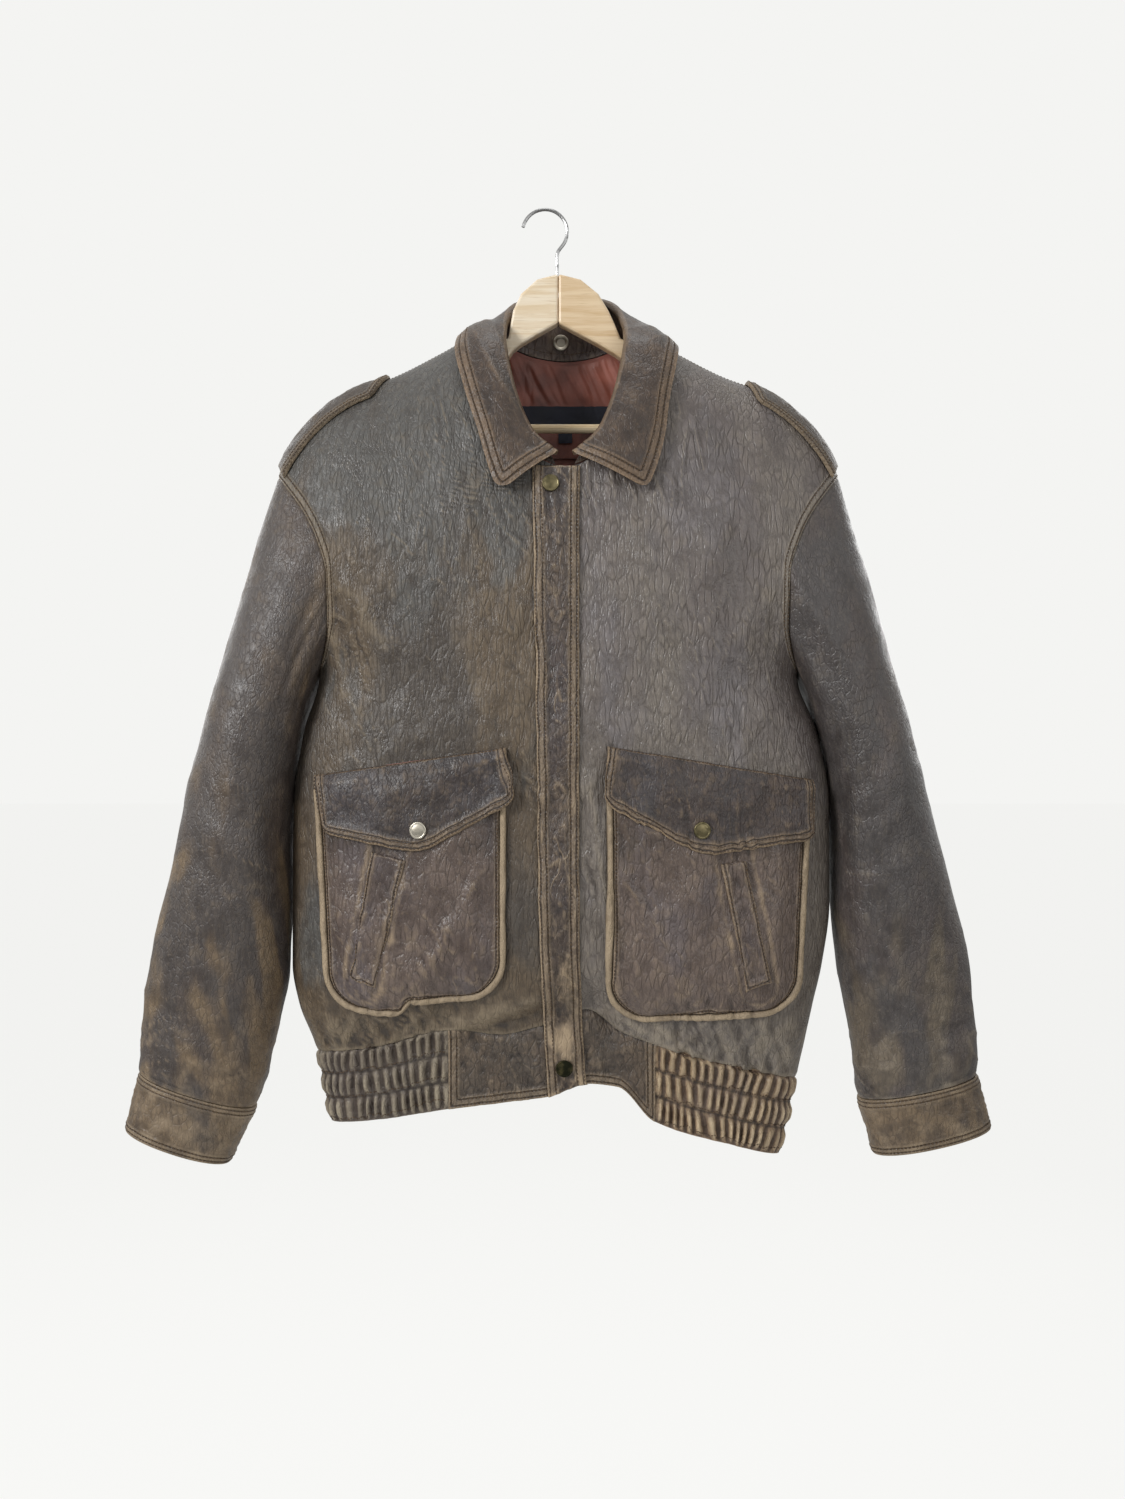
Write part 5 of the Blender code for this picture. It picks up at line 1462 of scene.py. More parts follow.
        inside = 0.5 - 0.5 * np.cos(2 * math.pi * turn)  # 1 at the inner edge
        top = bell(share, 0.16)
        drag = top * (0.25 + 0.75 * inside) * 4.2 * wrapped(noise, 24, 120, 1.1, seed)
        drag = drag + bell(share, 0.24) * inside**2 * 2.0 * wrapped(noise, 9.5, 46, 0.8, seed + 15)
        elbow = bell(share - 0.5, 0.17) * (0.35 + 0.65 * inside)
        bend = elbow * 3.6 * wrapped(noise, 90, 30, 0.45, seed + 3)
        low = smooth(share, 0.72, 0.97)
        stacked = low * 3.4 * wrapped(noise, 70, 36, -0.4, seed + 5)
        broad = 2.2 * wrapped(layered, 95, 130, 0.3, seed + 7)
        sharp = wrapped(creased, 60, 26, 0.5, seed + 9) * (elbow * 0.7 + low * 0.8 + 0.1)
        fine = wrapped(creased, 9, 26, 0.2, seed + 11) * (0.2 + 0.5 * inside)
        held = smooth(share, 0.0, 0.045) * smooth(1 - share, 0.0, 0.03)
        gather = bell(1 - share, 0.035) * 0.9 * wrapped(noise, 11, 60, 0.0, seed + 13)
        relief = held * (drag + bend + stacked + broad * smooth(share, 0, 0.12) + 1.3 * sharp + 0.35 * fine)
        relief = relief * (1 - 0.85 * inside**6 * (1 - smooth(share, 0.6, 0.75)))
        return relief + smooth(1 - share, 0.0, 0.008) * gather, np.clip(sharp + 0.3 * fine, 0, 1)

    def dress(self, finishes: Finishes) -> None:
        """Builds the fronts, the back and the sleeves."""
        for side in self.fronts:
            self.build_front(side, finishes)
        self.build_back(finishes)
        for side in Side:
            self.build_sleeve(side, self.sleeve(side), finishes)

    def build_front(self, side: Side, finishes: Finishes) -> None:
        """Builds a front: drawn in at its seams, worn on its folds and edges, faded low down."""
        panel = self.fronts[side]
        name = f"front_{SIDE_NAMES[side]}"
        x, z = panel.grid[..., 0], panel.grid[..., 2]
        armhole = panel.seams["armhole"] + FAR * smooth(-z, 420, 424)
        top = panel.seams["top"]
        lift = seam_profile(armhole, (2.0, 8.0), 10, 0.9) * (armhole < 40)
        lift = np.where(np.minimum(top, armhole) == top, seam_profile(top, (2.0, 8.0), 9, 0.6), lift)
        side_seam = panel.seams["armhole"] + FAR * smooth(z, -424, -414)
        lift = lift - 0.9 * bell(side_seam, 1.4) - 0.8 * bell(panel.seams["waist"], 1.5)
        edge = np.minimum(np.minimum(armhole, top), np.minimum(side_seam, panel.seams["waist"]))
        folds = sum(np.clip(c.at(x, z), 0, 9) / 3.0 for c in FRONT_CREASES if c.height > 0)
        crackle = creased((x + 0.12 * z) / 15, z / 58, 41 + Face.FRONT)
        wear = 0.5 * bell(edge, 1.6, 1.3) + 0.3 * np.clip(folds, 0, 1) ** 2
        wear = wear + 0.12 * crackle * smooth(noise(x / 60, z / 60, 91), -0.2, 0.6)
        pocket = Pocket(self.form, side).away(x, z)
        # Darker just outside the pocket and its flap, as painted shadow where they stand off the body, and at
        # the seams, as dirt and painted shade.
        grime = 0.3 * bell(np.maximum(pocket, 0), 3, 1.2) + 0.3 * bell(edge, 2.2)
        grime = grime + 0.2 * bell(panel.seams["waist"], 4, 1.5)
        tone = 0.12 * noise(x / 60, z / 150, 95)
        tone = tone + 0.22 * smooth(-z, 440, 600) + 0.3 * smooth(-z, 640, 740)
        wear = wear + 0.25 * smooth(-z, 670, 740)
        if side == Side.RIGHT:
            # A dark band beside the storm flap's free edge, between it and the pocket: painted shadow of the
            # raised edge, and dirt.
            between = bell(x + 40, 26) * smooth(-z, 500, 560) * (1 - smooth(-z, 650, 700))
            grime = grime + 0.4 * between * (0.7 + 0.6 * noise(x / 14, z / 60, 93))
            tone = tone - 0.3 * between - 0.2 * smooth(-z, 540, 620) * (1 - smooth(-z, 690, 720))
            tone = tone + 0.3 * bell(x + 42, 26) * smooth(-z, 290, 400) - 0.25 * smooth(z, -330, -220)
        paint = {"wear": wear, "grime": grime, "tone": tone, "edge": np.minimum(armhole, top)}
        self.cloth(name, panel, lift, name, paint).build(finishes)

    def build_back(self, finishes: Finishes) -> None:
        """Builds the back, worn most over the shoulder blades."""
        panel = self.back
        x, z = panel.grid[..., 0], panel.grid[..., 2]
        nearest = np.minimum(panel.seams["right"], panel.seams["left"])
        armhole = nearest + FAR * smooth(-z, 420, 424)
        side_seam = nearest + FAR * smooth(z, -424, -414)
        lift = seam_profile(armhole, (2.0, 8.0), 10, 0.9) * (armhole < 40)
        lift = lift - 0.9 * bell(side_seam, 1.4) - 0.8 * bell(panel.seams["waist"], 1.5)
        lift = lift - 0.7 * bell(panel.seams["top"], 1.4) * (np.abs(x - NECK_X) > 66)
        ends = np.minimum(panel.seams["top"], panel.seams["waist"])
        edge = np.minimum(np.minimum(armhole, side_seam), ends)
        folds = sum(np.clip(c.at(x, z), 0, 9) / 3.0 for c in BACK_CREASES if c.height > 0)
        wear = 0.5 * bell(edge, 1.6, 1.3) + 0.3 * np.clip(folds, 0, 1) ** 2
        wear = wear + 0.12 * creased((x + 0.12 * z) / 15, z / 58, 41 + Face.BACK)
        wear = wear + 0.35 * bell(z + 235, 60) * bell(np.abs(x) - 130, 50)
        # Darker at the seams, as dirt and painted shade, and in a band above the waist seam.
        grime = 0.4 * bell(edge, 2.2) + 0.35 * bell(panel.seams["waist"], 16, 1.5)
        paint = {"wear": wear, "grime": grime, "edge": armhole}
        self.cloth("back", panel, lift, "back", paint).build(finishes)

    def cloth(self, name: str, panel: Panel, lift: Grid, finish: str, paint: dict[str, Grid]) -> Cloth:
        """A panel with its walls."""
        outer = panel.grid + lift[..., None] * panel.normals
        panel.grid = outer
        even = softened(panel.normals, 4)
        return Cloth(name, outer, outer - (self.leather + lift[..., None]) * even, finish, paint=paint)

    def build_sleeve(self, side: Side, grid: Grid, finishes: Finishes) -> None:
        """Builds a sleeve from its rings without wrinkles."""
        relief, sharp = self.sleeve_relief(side, grid)
        normals = grid_normals(grid, None)
        edge_normals = [self.fronts[side].normals[: self.armhole_rows + 1, -1]]
        edge_normals += [self.back.normals[self.armhole_rows - 1 : 0 : -1, 0 if side == Side.RIGHT else -1]]
        normals[0] = unit(normals[0] + np.concatenate(edge_normals))
        fall = along_columns(grid)
        share = fall / fall[-1:]
        lift = relief - 0.9 * bell(fall, 1.6) - 0.7 * bell(fall[-1:] - fall, 1.6)
        outer = grid + lift[..., None] * normals
        inner = outer - (self.leather + np.minimum(lift, 0)[..., None] * 0.5) * normals
        turn = np.linspace(0, 2 * math.pi, grid.shape[1], endpoint=False)[None, :]
        front = np.clip(np.sin(turn), 0, 1)
        cloud = smooth(noise(turn * 3, share * 5, 77 + side), 0.0, 0.7)
        wear = 0.5 * bell(fall, 1.8, 1.3) + 0.45 * bell(fall[-1:] - fall, 3, 1.3) + 0.34 * sharp
        wear = wear + 0.3 * cloud * smooth(share, 0.55, 0.9) * front
        # Darker at the armhole seam, as dirt and painted shade, and in the hollows of the wrinkles, as
        # painted shade.
        grime = 0.35 * bell(fall, 5, 1.3) + 0.25 * np.clip(-relief / 2.5, 0, 1)
        lean = 1.6 if side == Side.RIGHT else -1.6
        bands = layered(fall / 52 + lean * np.sin(turn), np.cos(turn) * 1.6, 79 + side, 2)
        strong = 0.42 if side == Side.RIGHT else 0.25
        tone = (0.12 + strong * smooth(share, 0.3, 0.75)) * bands + 0.12 * smooth(share, 0.5, 0.9) - 0.1
        paint = {"wear": wear, "grime": grime, "tone": tone}
        finish = "sleeve" if side == Side.RIGHT else "sleeve_left"
        Cloth(f"sleeve_{SIDE_NAMES[side]}", outer, inner, finish, ring=True, paint=paint).build(finishes)


@dataclass
class Cuff:
    """A plain turned cuff, 45 mm deep, double-stitched along both edges.

    Args:
        side: Whose cuff.
        top: X and height of its top edge's outer end, then of its inner end.
        bottom: The same of its bottom edge.
    """

    side: Side
    top: tuple[float, float, float, float]
    bottom: tuple[float, float, float, float]
    depths: tuple[float, float] = (32.5, 30.0)
    outer: Grid | None = None

    def build(self, finishes: Finishes) -> None:
        """Builds the cuff."""
        turn = np.linspace(0, 2 * math.pi, 176, endpoint=False)
        wide, deep = rounded(turn)
        rings = []
        for share in packed(0, 1, 22, (0.012, 0.03)):
            x0, z0, x1, z1 = np.array(self.top) * (1 - share) + np.array(self.bottom) * share
            half_depth = self.depths[0] * (1 - share) + self.depths[1] * share
            middle = np.array([(x0 + x1) / 2, SLEEVE[-1][10], (z0 + z1) / 2])
            half = np.array([(x0 - x1) / 2, 0, (z0 - z1) / 2])
            rings.append(middle + wide[:, None] * half + deep[:, None] * np.array([0, half_depth, 0]))
        grid = np.array(rings)
        normals = grid_normals(grid, None)
        fall = along_columns(grid)
        near = np.minimum(fall, fall[-1:] - fall)
        lift = seam_profile(near, (2.4, 6.2), 9, 0.7)
        round_lumps = turn[None, :] * SLEEVE_ROUND / 18 / 2 / math.pi
        lift = lift + 0.9 * noise(round_lumps, fall / 22, 83 + self.side) * smooth(near, 1, 7)
        lift = lift + 0.8 * creased(turn[None, :] * 4, fall / 9, 87 + self.side) * smooth(near, 6, 10)
        self.outer = grid + lift[..., None] * normals
        inner = self.outer - (3.0 + np.minimum(lift, 0)[..., None]) * normals
        wear = 0.32 * smooth(noise(turn[None, :] * 3, fall / 20, 89), -0.1, 0.6) + 0.12
        wear = wear + 0.3 * (1 - smooth(near, 7, 13)) + (0.12 if self.side == Side.RIGHT else 0.0)
        paint = {"wear": wear, "tone": 0.14, "edge": near}
        name = f"cuff_{SIDE_NAMES[self.side]}"
        Cloth(name, self.outer, inner, "sleeve", ring=True, paint=paint).build(finishes)


# ---------------------------------------------------------------- stitches


def edge_line(
    grid: Grid, normals: Grid, edge: str, away: float, skip: tuple[float, float] = (0, 0)
) -> tuple[Grid, Grid]:
    """A line along one edge of a grid, at a distance from it.

    Args:
        grid: The points of a piece's face.
        normals: The way out at each.
        edge: "left", "right", "top" or "bottom": the first or the last column or row.
        away: The distance from the edge.
        skip: How much of the line's start and of its end is left out.

    Returns:
        The line's points and the way out at each.
    """
    both = np.concatenate([grid, normals], -1)
    if edge in ("top", "bottom"):
        both = np.swapaxes(both if edge == "top" else both[::-1], 0, 1)
    elif edge == "right":
        both = both[:, ::-1]
    run = along_rows(both[..., :3])
    line = np.array([[np.interp(away, run[k], row[:, c]) for c in range(6)] for k, row in enumerate(both)])
    length = travelled(line[:, :3])
    kept = (length >= skip[0]) & (length <= length[-1] - skip[1])
    return line[kept, :3], line[kept, 3:]


@dataclass
class Stitching:
    """Lockstitch in bonded thread. Each stitch stands proud in the middle and dips in at its ends.

    Args:
        pitch: From one stitch to the next; real top-stitching has 3 to 3.5 mm.
        length: Length of the thread that shows.
        width: Width of the thread.
    """

    pitch: float = 3.3
    length: float = 2.7
    width: float = 0.85
    lines: dict[str, list[tuple[Grid, Grid]]] = field(default_factory=dict)

    def add(self, group: str, line: tuple[Grid, Grid]) -> None:
        """Adds a line of stitches to a group."""
        self.lines.setdefault(group, []).append(line)

    def border(self, group: str, grid: Grid, normals: Grid, edges: str, distances: tuple[float, ...]) -> None:
        """Adds lines along some of a grid's edges.

        Args:
            group: The group that they go in.
            grid: The points of the piece's face.
            normals: The way out at each.
            edges: The edges' names, with spaces between.
            distances: How far each line lies from the edge.
        """
        for edge in edges.split():
            for away in distances:
                self.add(group, edge_line(grid, normals, edge, away, (away, away)))

    def stitches(self, line: tuple[Grid, Grid]) -> tuple[Grid, Grid, Grid]:
        """The middle, the way along and the way out of each stitch of a line."""
        points, out = line
        run = travelled(points)
        count = int(run[-1] / self.pitch)
        if count < 2:
            return np.zeros((0, 3)), np.zeros((0, 3)), np.zeros((0, 3))
        at = (np.arange(count) + 0.5) * run[-1] / count

        def pick(values: Grid, places: Grid) -> Grid:
            """The line's values at these distances along it."""
            return np.stack([np.interp(places, run, values[:, k]) for k in range(3)], -1)

        ahead, behind = pick(points, at + self.length / 2), pick(points, at - self.length / 2)
        return (ahead + behind) / 2, unit(ahead - behind), unit(pick(out, at))

    def build(self, finishes: Finishes) -> None:
        """Builds one object for each group."""
        places = np.array((-1.0, -0.5, 0.5, 1.0))
        widths, heights = np.array((0.4, 1.0, 1.0, 0.4)), np.array((-0.32, 0.2, 0.2, -0.32))
        turn = np.radians((-35, 50, 130, 215))
        sections, sides = len(places), len(turn)
        ring = np.arange(sections * sides).reshape(sections, sides)
        around = np.roll(ring, -1, 1)
        shape = np.stack([ring[:-1], around[:-1], around[1:], ring[1:]], -1).reshape(-1, 4)
        for group, lines in self.lines.items():
            parts = [self.stitches(line) for line in lines]
            middle, along, out = (np.concatenate([part[k] for part in parts]) for k in range(3))
            side = np.cross(along, out)
            points = middle[:, None, None] + along[:, None, None] * (places * self.length / 2)[:, None, None]
            wide = np.cos(turn) * widths[:, None] * self.width / 2
            points = points + side[:, None, None] * wide[..., None]
            rise = heights[:, None] + np.sin(turn) * widths[:, None] * self.width / 2
            points = points + out[:, None, None] * rise[..., None]
            first = (np.arange(len(middle)) * sections * sides)[:, None, None]
            quads = (first + shape).reshape(-1, 4)
            caps = np.concatenate([first[..., 0] + ring[0, ::-1], first[..., 0] + ring[-1]])
            data = bpy.data.meshes.new(f"stitches_{group}")
            places_m = (points.reshape(-1, 3) + (CENTRE_X, 0, 0)) * MM
            data.from_pydata(places_m.tolist(), [], quads.tolist() + caps.tolist())
            data.materials.append(finishes["thread"])
            data.update()
            made = add_object(f"stitches_{group}", data)
            repair = bmesh.new()
            repair.from_mesh(data)
            bmesh.ops.recalc_face_normals(repair, faces=repair.faces)
            repair.to_mesh(data)
            repair.free()
            data.shade_smooth()
            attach(made, "root")
            log.info("stitches on %s: %d", group, len(middle))


# ---------------------------------------------------------------- pieces laid on the body


def border_away(grid: Grid, edges: str = "left right top bottom") -> Grid:
    """Distance of each point of a grid from the nearest of these edges."""
    run, fall = along_rows(grid), along_columns(grid)
    away = {"left": run, "right": run[:, -1:] - run, "top": fall, "bottom": fall[-1:] - fall}
    return np.min([away[edge] for edge in edges.split()], axis=0)


@dataclass
class Laid:
    """A piece of leather laid on the body and sewn along its edges.

    Args:
        form: What it lies on.
        name: Its CAD node.
        xs: X of its points, by row and column.
        zs: Height of its points.
        base: How far its underside lies from the form.
        thick: How thick it is.
        finish: What it wears.
    """

    form: BodyForm
    name: str
    xs: Grid
    zs: Grid
    base: Grid | float
    thick: float
    finish: str
    outer: Grid | None = None
    normals: Grid | None = None

    def build(self, finishes: Finishes, lift: Grid, paint: dict[str, Grid], inside: str = "lining") -> None:
        """Builds it.

        Args:
            finishes: The finishes that it can wear.
            lift: What each point adds to the thickness.
            paint: Its wear, its dirt and painted shade, and its tone.
            inside: The finish of its underside.
        """
        front = (self.xs, self.zs, Face.FRONT)
        turned = 0.75 * bell(border_away(self.form.on(*front)), 0.7, 1.5)
        self.outer = self.form.on(*front, self.base + self.thick * (1 - turned) + lift)
        self.normals = grid_normals(self.outer, (0, Face.FRONT, 0))
        inner = self.form.on(*front, self.base)
        Cloth(self.name, self.outer, inner, self.finish, inside, paint=paint).build(finishes)


@dataclass
class StormFlap:
    """The flap over the hidden closure, two layers of leather turned in along its free edge."""

    form: BodyForm

    def build(self, finishes: Finishes, stitching: Stitching) -> None:
        """Builds the flap and its stitches."""
        free, sewn = column(STORM_FLAP, 0, 1), column(STORM_FLAP, 0, 2)
        share = packed(0, 1, 26, (0.008, 0.02, 0.04))[None, :]
        level = -packed(-STORM_FLAP[0][0], -STORM_FLAP[-1][0], 250, (0.4, 0.9, 1.6))[::-1, None]
        level = np.sort(level, axis=0)[::-1]
        wave = 0.8 * noise(level / 46, 0.5, 101) * smooth(-level, 250, 300)
        xs = (free(level) + wave) * (1 - share) + sewn(level) * share
        end = STORM_FLAP[-1][0]
        zs = level + (self.form.hem_front(xs) - level) * smooth(-level, -end - 60, -end)
        piece = Laid(self.form, "storm_flap", xs, zs, base=1.3, thick=2.2, finish="storm")
        flat = self.form.on(xs, zs, Face.FRONT)
        from_free, from_sewn = border_away(flat, "left"), border_away(flat, "right")
        ends = border_away(flat, "top bottom")
        lift = 0.7 * (1 - smooth(from_free, 7, 12)) - 0.45 * bell(from_free - 7.5, 1.1)
        lift = lift - 0.45 * bell(from_sewn - 2.2, 0.9) - 0.4 * bell(from_sewn - 8, 1.1)
        low = smooth(-zs, 600, 740)
        crumple = 0.6 * creased(xs / 13, zs / 22, 103) + 0.5 * creased(xs / 8 + zs / 60, zs / 11, 105)
        loose = smooth(np.minimum(from_free, from_sewn), 3, 9)
        wavy = noise(xs / 60, zs / 70, 107) * 1.6 + noise(xs / 30, zs / 26, 109) * (0.5 + 1.1 * low)
        lift = lift + loose * (0.75 + 0.9 * low) * crumple + (0.4 + 0.6 * loose) * np.maximum(wavy, -0.9)
        wear = 0.4 * bell(ends, 3, 1.3) + 0.3 * crumple * loose
        wear = wear + low * 0.75 * smooth(noise(xs / 24, zs / 30, 111), -0.25, 0.4)
        grime = 0.4 * np.clip(-noise(xs / 22, zs / 40, 113), 0, 1) * loose
        edge = np.minimum(from_free, from_sewn)
        piece.build(finishes, lift, {"wear": wear, "grime": grime, "tone": 0.25 * low - 0.05, "edge": edge})
        for border in ("left", "right"):
            for away in (2.2, 8.0):
                stitching.add("storm_flap", edge_line(piece.outer, piece.normals, border, away, (4, 4)))


# Its flap's outer and inner top corners, outer low corner, point and inner low corner, as X and height.
POCKET_FLAPS = {
    Side.RIGHT: ((-210, -507), (-44, -483), (-199, -557), (-116, -573), (-37, -529)),
    Side.LEFT: ((220, -511), (42, -482), (217, -563), (121, -575), (39, -531)),
}
# Outer X at top and bottom, inner X, height of the bottom's outer and inner corners.
POCKETS = {Side.RIGHT: (-205, -195, -50, -703, -690), Side.LEFT: (213, 204, 47, -708, -712)}
# The welt's top ends as X, X, height, height, and its bottom ends.
WELTS = {
    Side.RIGHT: ((-158, -129, -566, -573), (-177, -155, -680, -688)),
    Side.LEFT: ((138, 159, -576, -574), (160, 182, -691, -684)),
}


@dataclass
class Pocket:
    """A patch pocket edged with piping, with a slanted side-entry welt and a pointed flap.

    Args:
        form: What it lies on.
        side: The wearer's side.
        below_flap: How far its mouth lies below the flap's top edge.
        corner: Radius of its lower corners.
        height: About how tall it is.
        width: About how wide it is.
    """

    form: BodyForm
    side: Side
    below_flap: float = 13.0
    corner: float = 27.0
    height: float = 185.0
    width: float = 150.0

    def inset(self, down: Grid) -> Grid:
        """How far its sides are drawn in for its round corners, as a share of its width."""
        left = np.clip(self.corner - (1 - down) * self.height, 0, self.corner)
        return (self.corner - np.sqrt(self.corner**2 - left**2)) / self.width

    def place(self, across: Grid, down: Grid) -> tuple[Grid, Grid]:
        """X and height on it, across from 0 at its outer edge to 1 and down from 0 to 1."""
        top_x, bottom_x, inner_x, bottom_outer, bottom_inner = POCKETS[self.side]
        outer_x = top_x + (bottom_x - top_x) * down
        x = outer_x + (inner_x - outer_x) * across
        outer, inner = sorted(POCKET_FLAPS[self.side][:2])
        top = np.interp(x, (outer[0], inner[0]), (outer[1], inner[1])) - self.below_flap
        bottom = bottom_outer + (bottom_inner - bottom_outer) * across
        if self.side == Side.RIGHT:
            # The right pocket's bottom sags to one side of a fold.
            bottom = bottom - 9 * bell(x + 142, 32) * (1 - smooth(x, -137, -128))
        return x, top + (bottom - top) * down

    def outline(self, steps: int = 60) -> tuple[Grid, Grid]:
        """Its sides and bottom as across and down, from the outer edge's top round to the inner edge's."""
        corner = self.corner / self.height
        turn = np.linspace(0, math.pi / 2, 14)
        down = np.concatenate([np.linspace(0, 1 - corner, steps)[:-1], 1 - corner * (1 - np.sin(turn))])
        inset = self.inset(down)
        across = np.concatenate([inset, np.linspace(inset[-1], 1 - inset[-1], steps)[1:-1], 1 - inset[::-1]])
        return across, np.concatenate([down, np.ones(steps - 2), down[::-1]])

    def away(self, x: Grid, z: Grid) -> Grid:
        """Distance of places on the body from the pocket's outline."""
        line = np.stack(self.place(*self.outline(20)), -1)
        corners = np.array(POCKET_FLAPS[self.side], float)[[0, 2, 3, 4, 1]]
        return np.minimum(near_line(x, z, line), near_line(x, z, corners)) - 7

    def build(self, finishes: Finishes, stitching: Stitching) -> None:
        """Builds the pocket, its piping, its welt and its flap, with their stitches."""
        self.build_body(finishes, stitching)
        self.build_piping(finishes)
        self.build_welt(finishes, stitching)
        self.build_flap(finishes, stitching)

    def build_body(self, finishes: Finishes, stitching: Stitching) -> None:
        """Builds the patch itself."""
        down = packed(0, 1, 70, (0.002, 0.006))[:, None]
        inset = self.inset(down)
        share = packed(0, 1, 64, (0.003, 0.008))
        xs, zs = self.place(inset + (1 - 2 * inset) * share, down)
        name = SIDE_NAMES[self.side]
        piece = Laid(self.form, f"pocket_{name}", xs, zs, base=1.3, thick=1.7, finish="pocket")
        away = border_away(self.form.on(xs, zs, Face.FRONT), "left right bottom")
        seed = 121 if self.side == Side.RIGHT else 141
        puff = smooth(away, 2, 26)
        folds = Crease((-64, -588), (-130, -706), 8, 2.6, 1.3).at(xs, zs) if self.side == Side.RIGHT else 0.0
        swell = 1.7 + 2.2 * noise(xs / 46, zs / 60, seed) + 0.6 * creased(xs / 24, zs / 44, seed + 3)
        folds = folds + puff * swell
        ripple = bell(away, 14) * 0.7 * noise(xs / 13 + zs / 40, zs / 13, seed + 5) * smooth(away, 0.5, 3)
        low = smooth(-zs, 600, 690) * puff * 1.2
        lift = folds + ripple + low - 0.35 * bell(away - 2, 1)
        line = np.array([(sum(end[:2]) / 2, sum(end[2:]) / 2) for end in WELTS[self.side]])
        welt = near_line(xs, zs, line)
        lift = lift - 0.6 * bell(welt, 16, 4)
        wear = 0.2 * creased(xs / 17, zs / 40, seed + 3) * puff
        wear = wear + 0.2 * smooth(noise(xs / 30, zs / 40, seed + 7), 0, 0.6) + 0.5 * bell(welt - 17, 2.6)
        # Painted shadow across the top under the flap, and a thin painted dark line for the shade in the
        # mouth beside the welt; a faint dark band inside the sewn edges.
        grime = 0.4 * smooth(zs, -590, -565) + 0.2 * bell(away - 8, 6) + 0.5 * bell(welt - 13.6, 1.4)
        tone = 0.1 * noise(xs / 60, zs / 60, seed + 9) + (0.15 if self.side == Side.LEFT else 0.0)
        piece.build(finishes, lift, {"wear": wear, "grime": grime, "tone": tone, "edge": away})
        for edge in ("left", "right", "bottom"):
            stitching.add(f"pocket_{name}", edge_line(piece.outer, piece.normals, edge, 2.2, (12, 2)))

    def build_piping(self, finishes: Finishes) -> None:
        """Builds the rolled edging round the patch."""
        across, down = self.outline()
        line = refine(np.stack(self.place(across, down), -1), 2)
        way = unit(np.gradient(line, axis=0))
        out = np.stack([way[:, 1], -way[:, 0]], -1)
        out *= np.sign(((line - line.mean(axis=0)) * out).sum())
        run = travelled(line)
        seed = 131 if self.side == Side.RIGHT else 151
        wide = 5.7 + 0.6 * noise(run / 26, 0.3, seed)
        over = np.linspace(0, 1, 9)
        xs, zs = (line[:, None, k] + out[:, None, k] * (0.5 + wide[:, None] * over) for k in (0, 1))
        round_part = np.sqrt(np.clip(1 - (2 * over - 1) ** 2, 0, 1))[None, :]
        pinch = noise(run[:, None] / 4.5 + over * 0.8, over * 1.2, seed + 2)
        high = 0.7 + round_part * (2.5 + 0.45 * pinch + 0.5 * noise(run[:, None] / 30, 0.1, seed + 4))
        outer = self.form.on(xs, zs, Face.FRONT, 1.2 + high)
        inner = self.form.on(xs, zs, Face.FRONT, 1.2)
        wear = 0.45 + 0.3 * round_part + 0.15 * noise(run[:, None] / 22, over, seed + 6)
        # Painted shade at the piping's foot, where its round sides meet the body, and in the dips where it is
        # pinched.
        grime = 0.75 * (1 - smooth(round_part, 0.2, 0.75)) + 0.2 * np.clip(-pinch, 0, 1)
        name = f"pocket_piping_{SIDE_NAMES[self.side]}"
        Cloth(name, outer, inner, "piping", "piping", paint={"wear": wear, "grime": grime}).build(finishes)

    def build_welt(self, finishes: Finishes, stitching: Stitching) -> None:
        """Builds the welt of the side entry."""
        top, bottom = WELTS[self.side]
        along = packed(0, 1, 46, (0.004, 0.012))[:, None]
        over = packed(0, 1, 14, (0.02, 0.05))[None, :]
        ends = [end[0] + (end[1] - end[0]) * over for end in (top, bottom)]
        heights = [end[2] + (end[3] - end[2]) * over for end in (top, bottom)]
        xs = ends[0] * (1 - along) + ends[1] * along
        zs = (heights[0] - 6) * (1 - along) + heights[1] * along
        name = SIDE_NAMES[self.side]
        piece = Laid(self.form, f"pocket_welt_{name}", xs, zs, base=3.7, thick=2.0, finish="pocket")
        away = border_away(self.form.on(xs, zs, Face.FRONT), "left right bottom")
        seed = 161 if self.side == Side.RIGHT else 171
        lift = 1.0 * (1 - smooth(away, 5, 8)) + 0.7 * noise(xs / 22, zs / 24, seed)
        lift = lift + 0.5 * creased(xs / 9, zs / 16, seed)
        lift = np.maximum(lift - 0.5 * bell(away - 2.2, 0.9), -0.6)
        wear = 0.2 * creased(xs / 9, zs / 16, seed)
        piece.build(finishes, lift, {"wear": wear, "edge": away})
        stitching.border(f"pocket_{name}", piece.outer, piece.normals, "left right bottom", (2.2,))

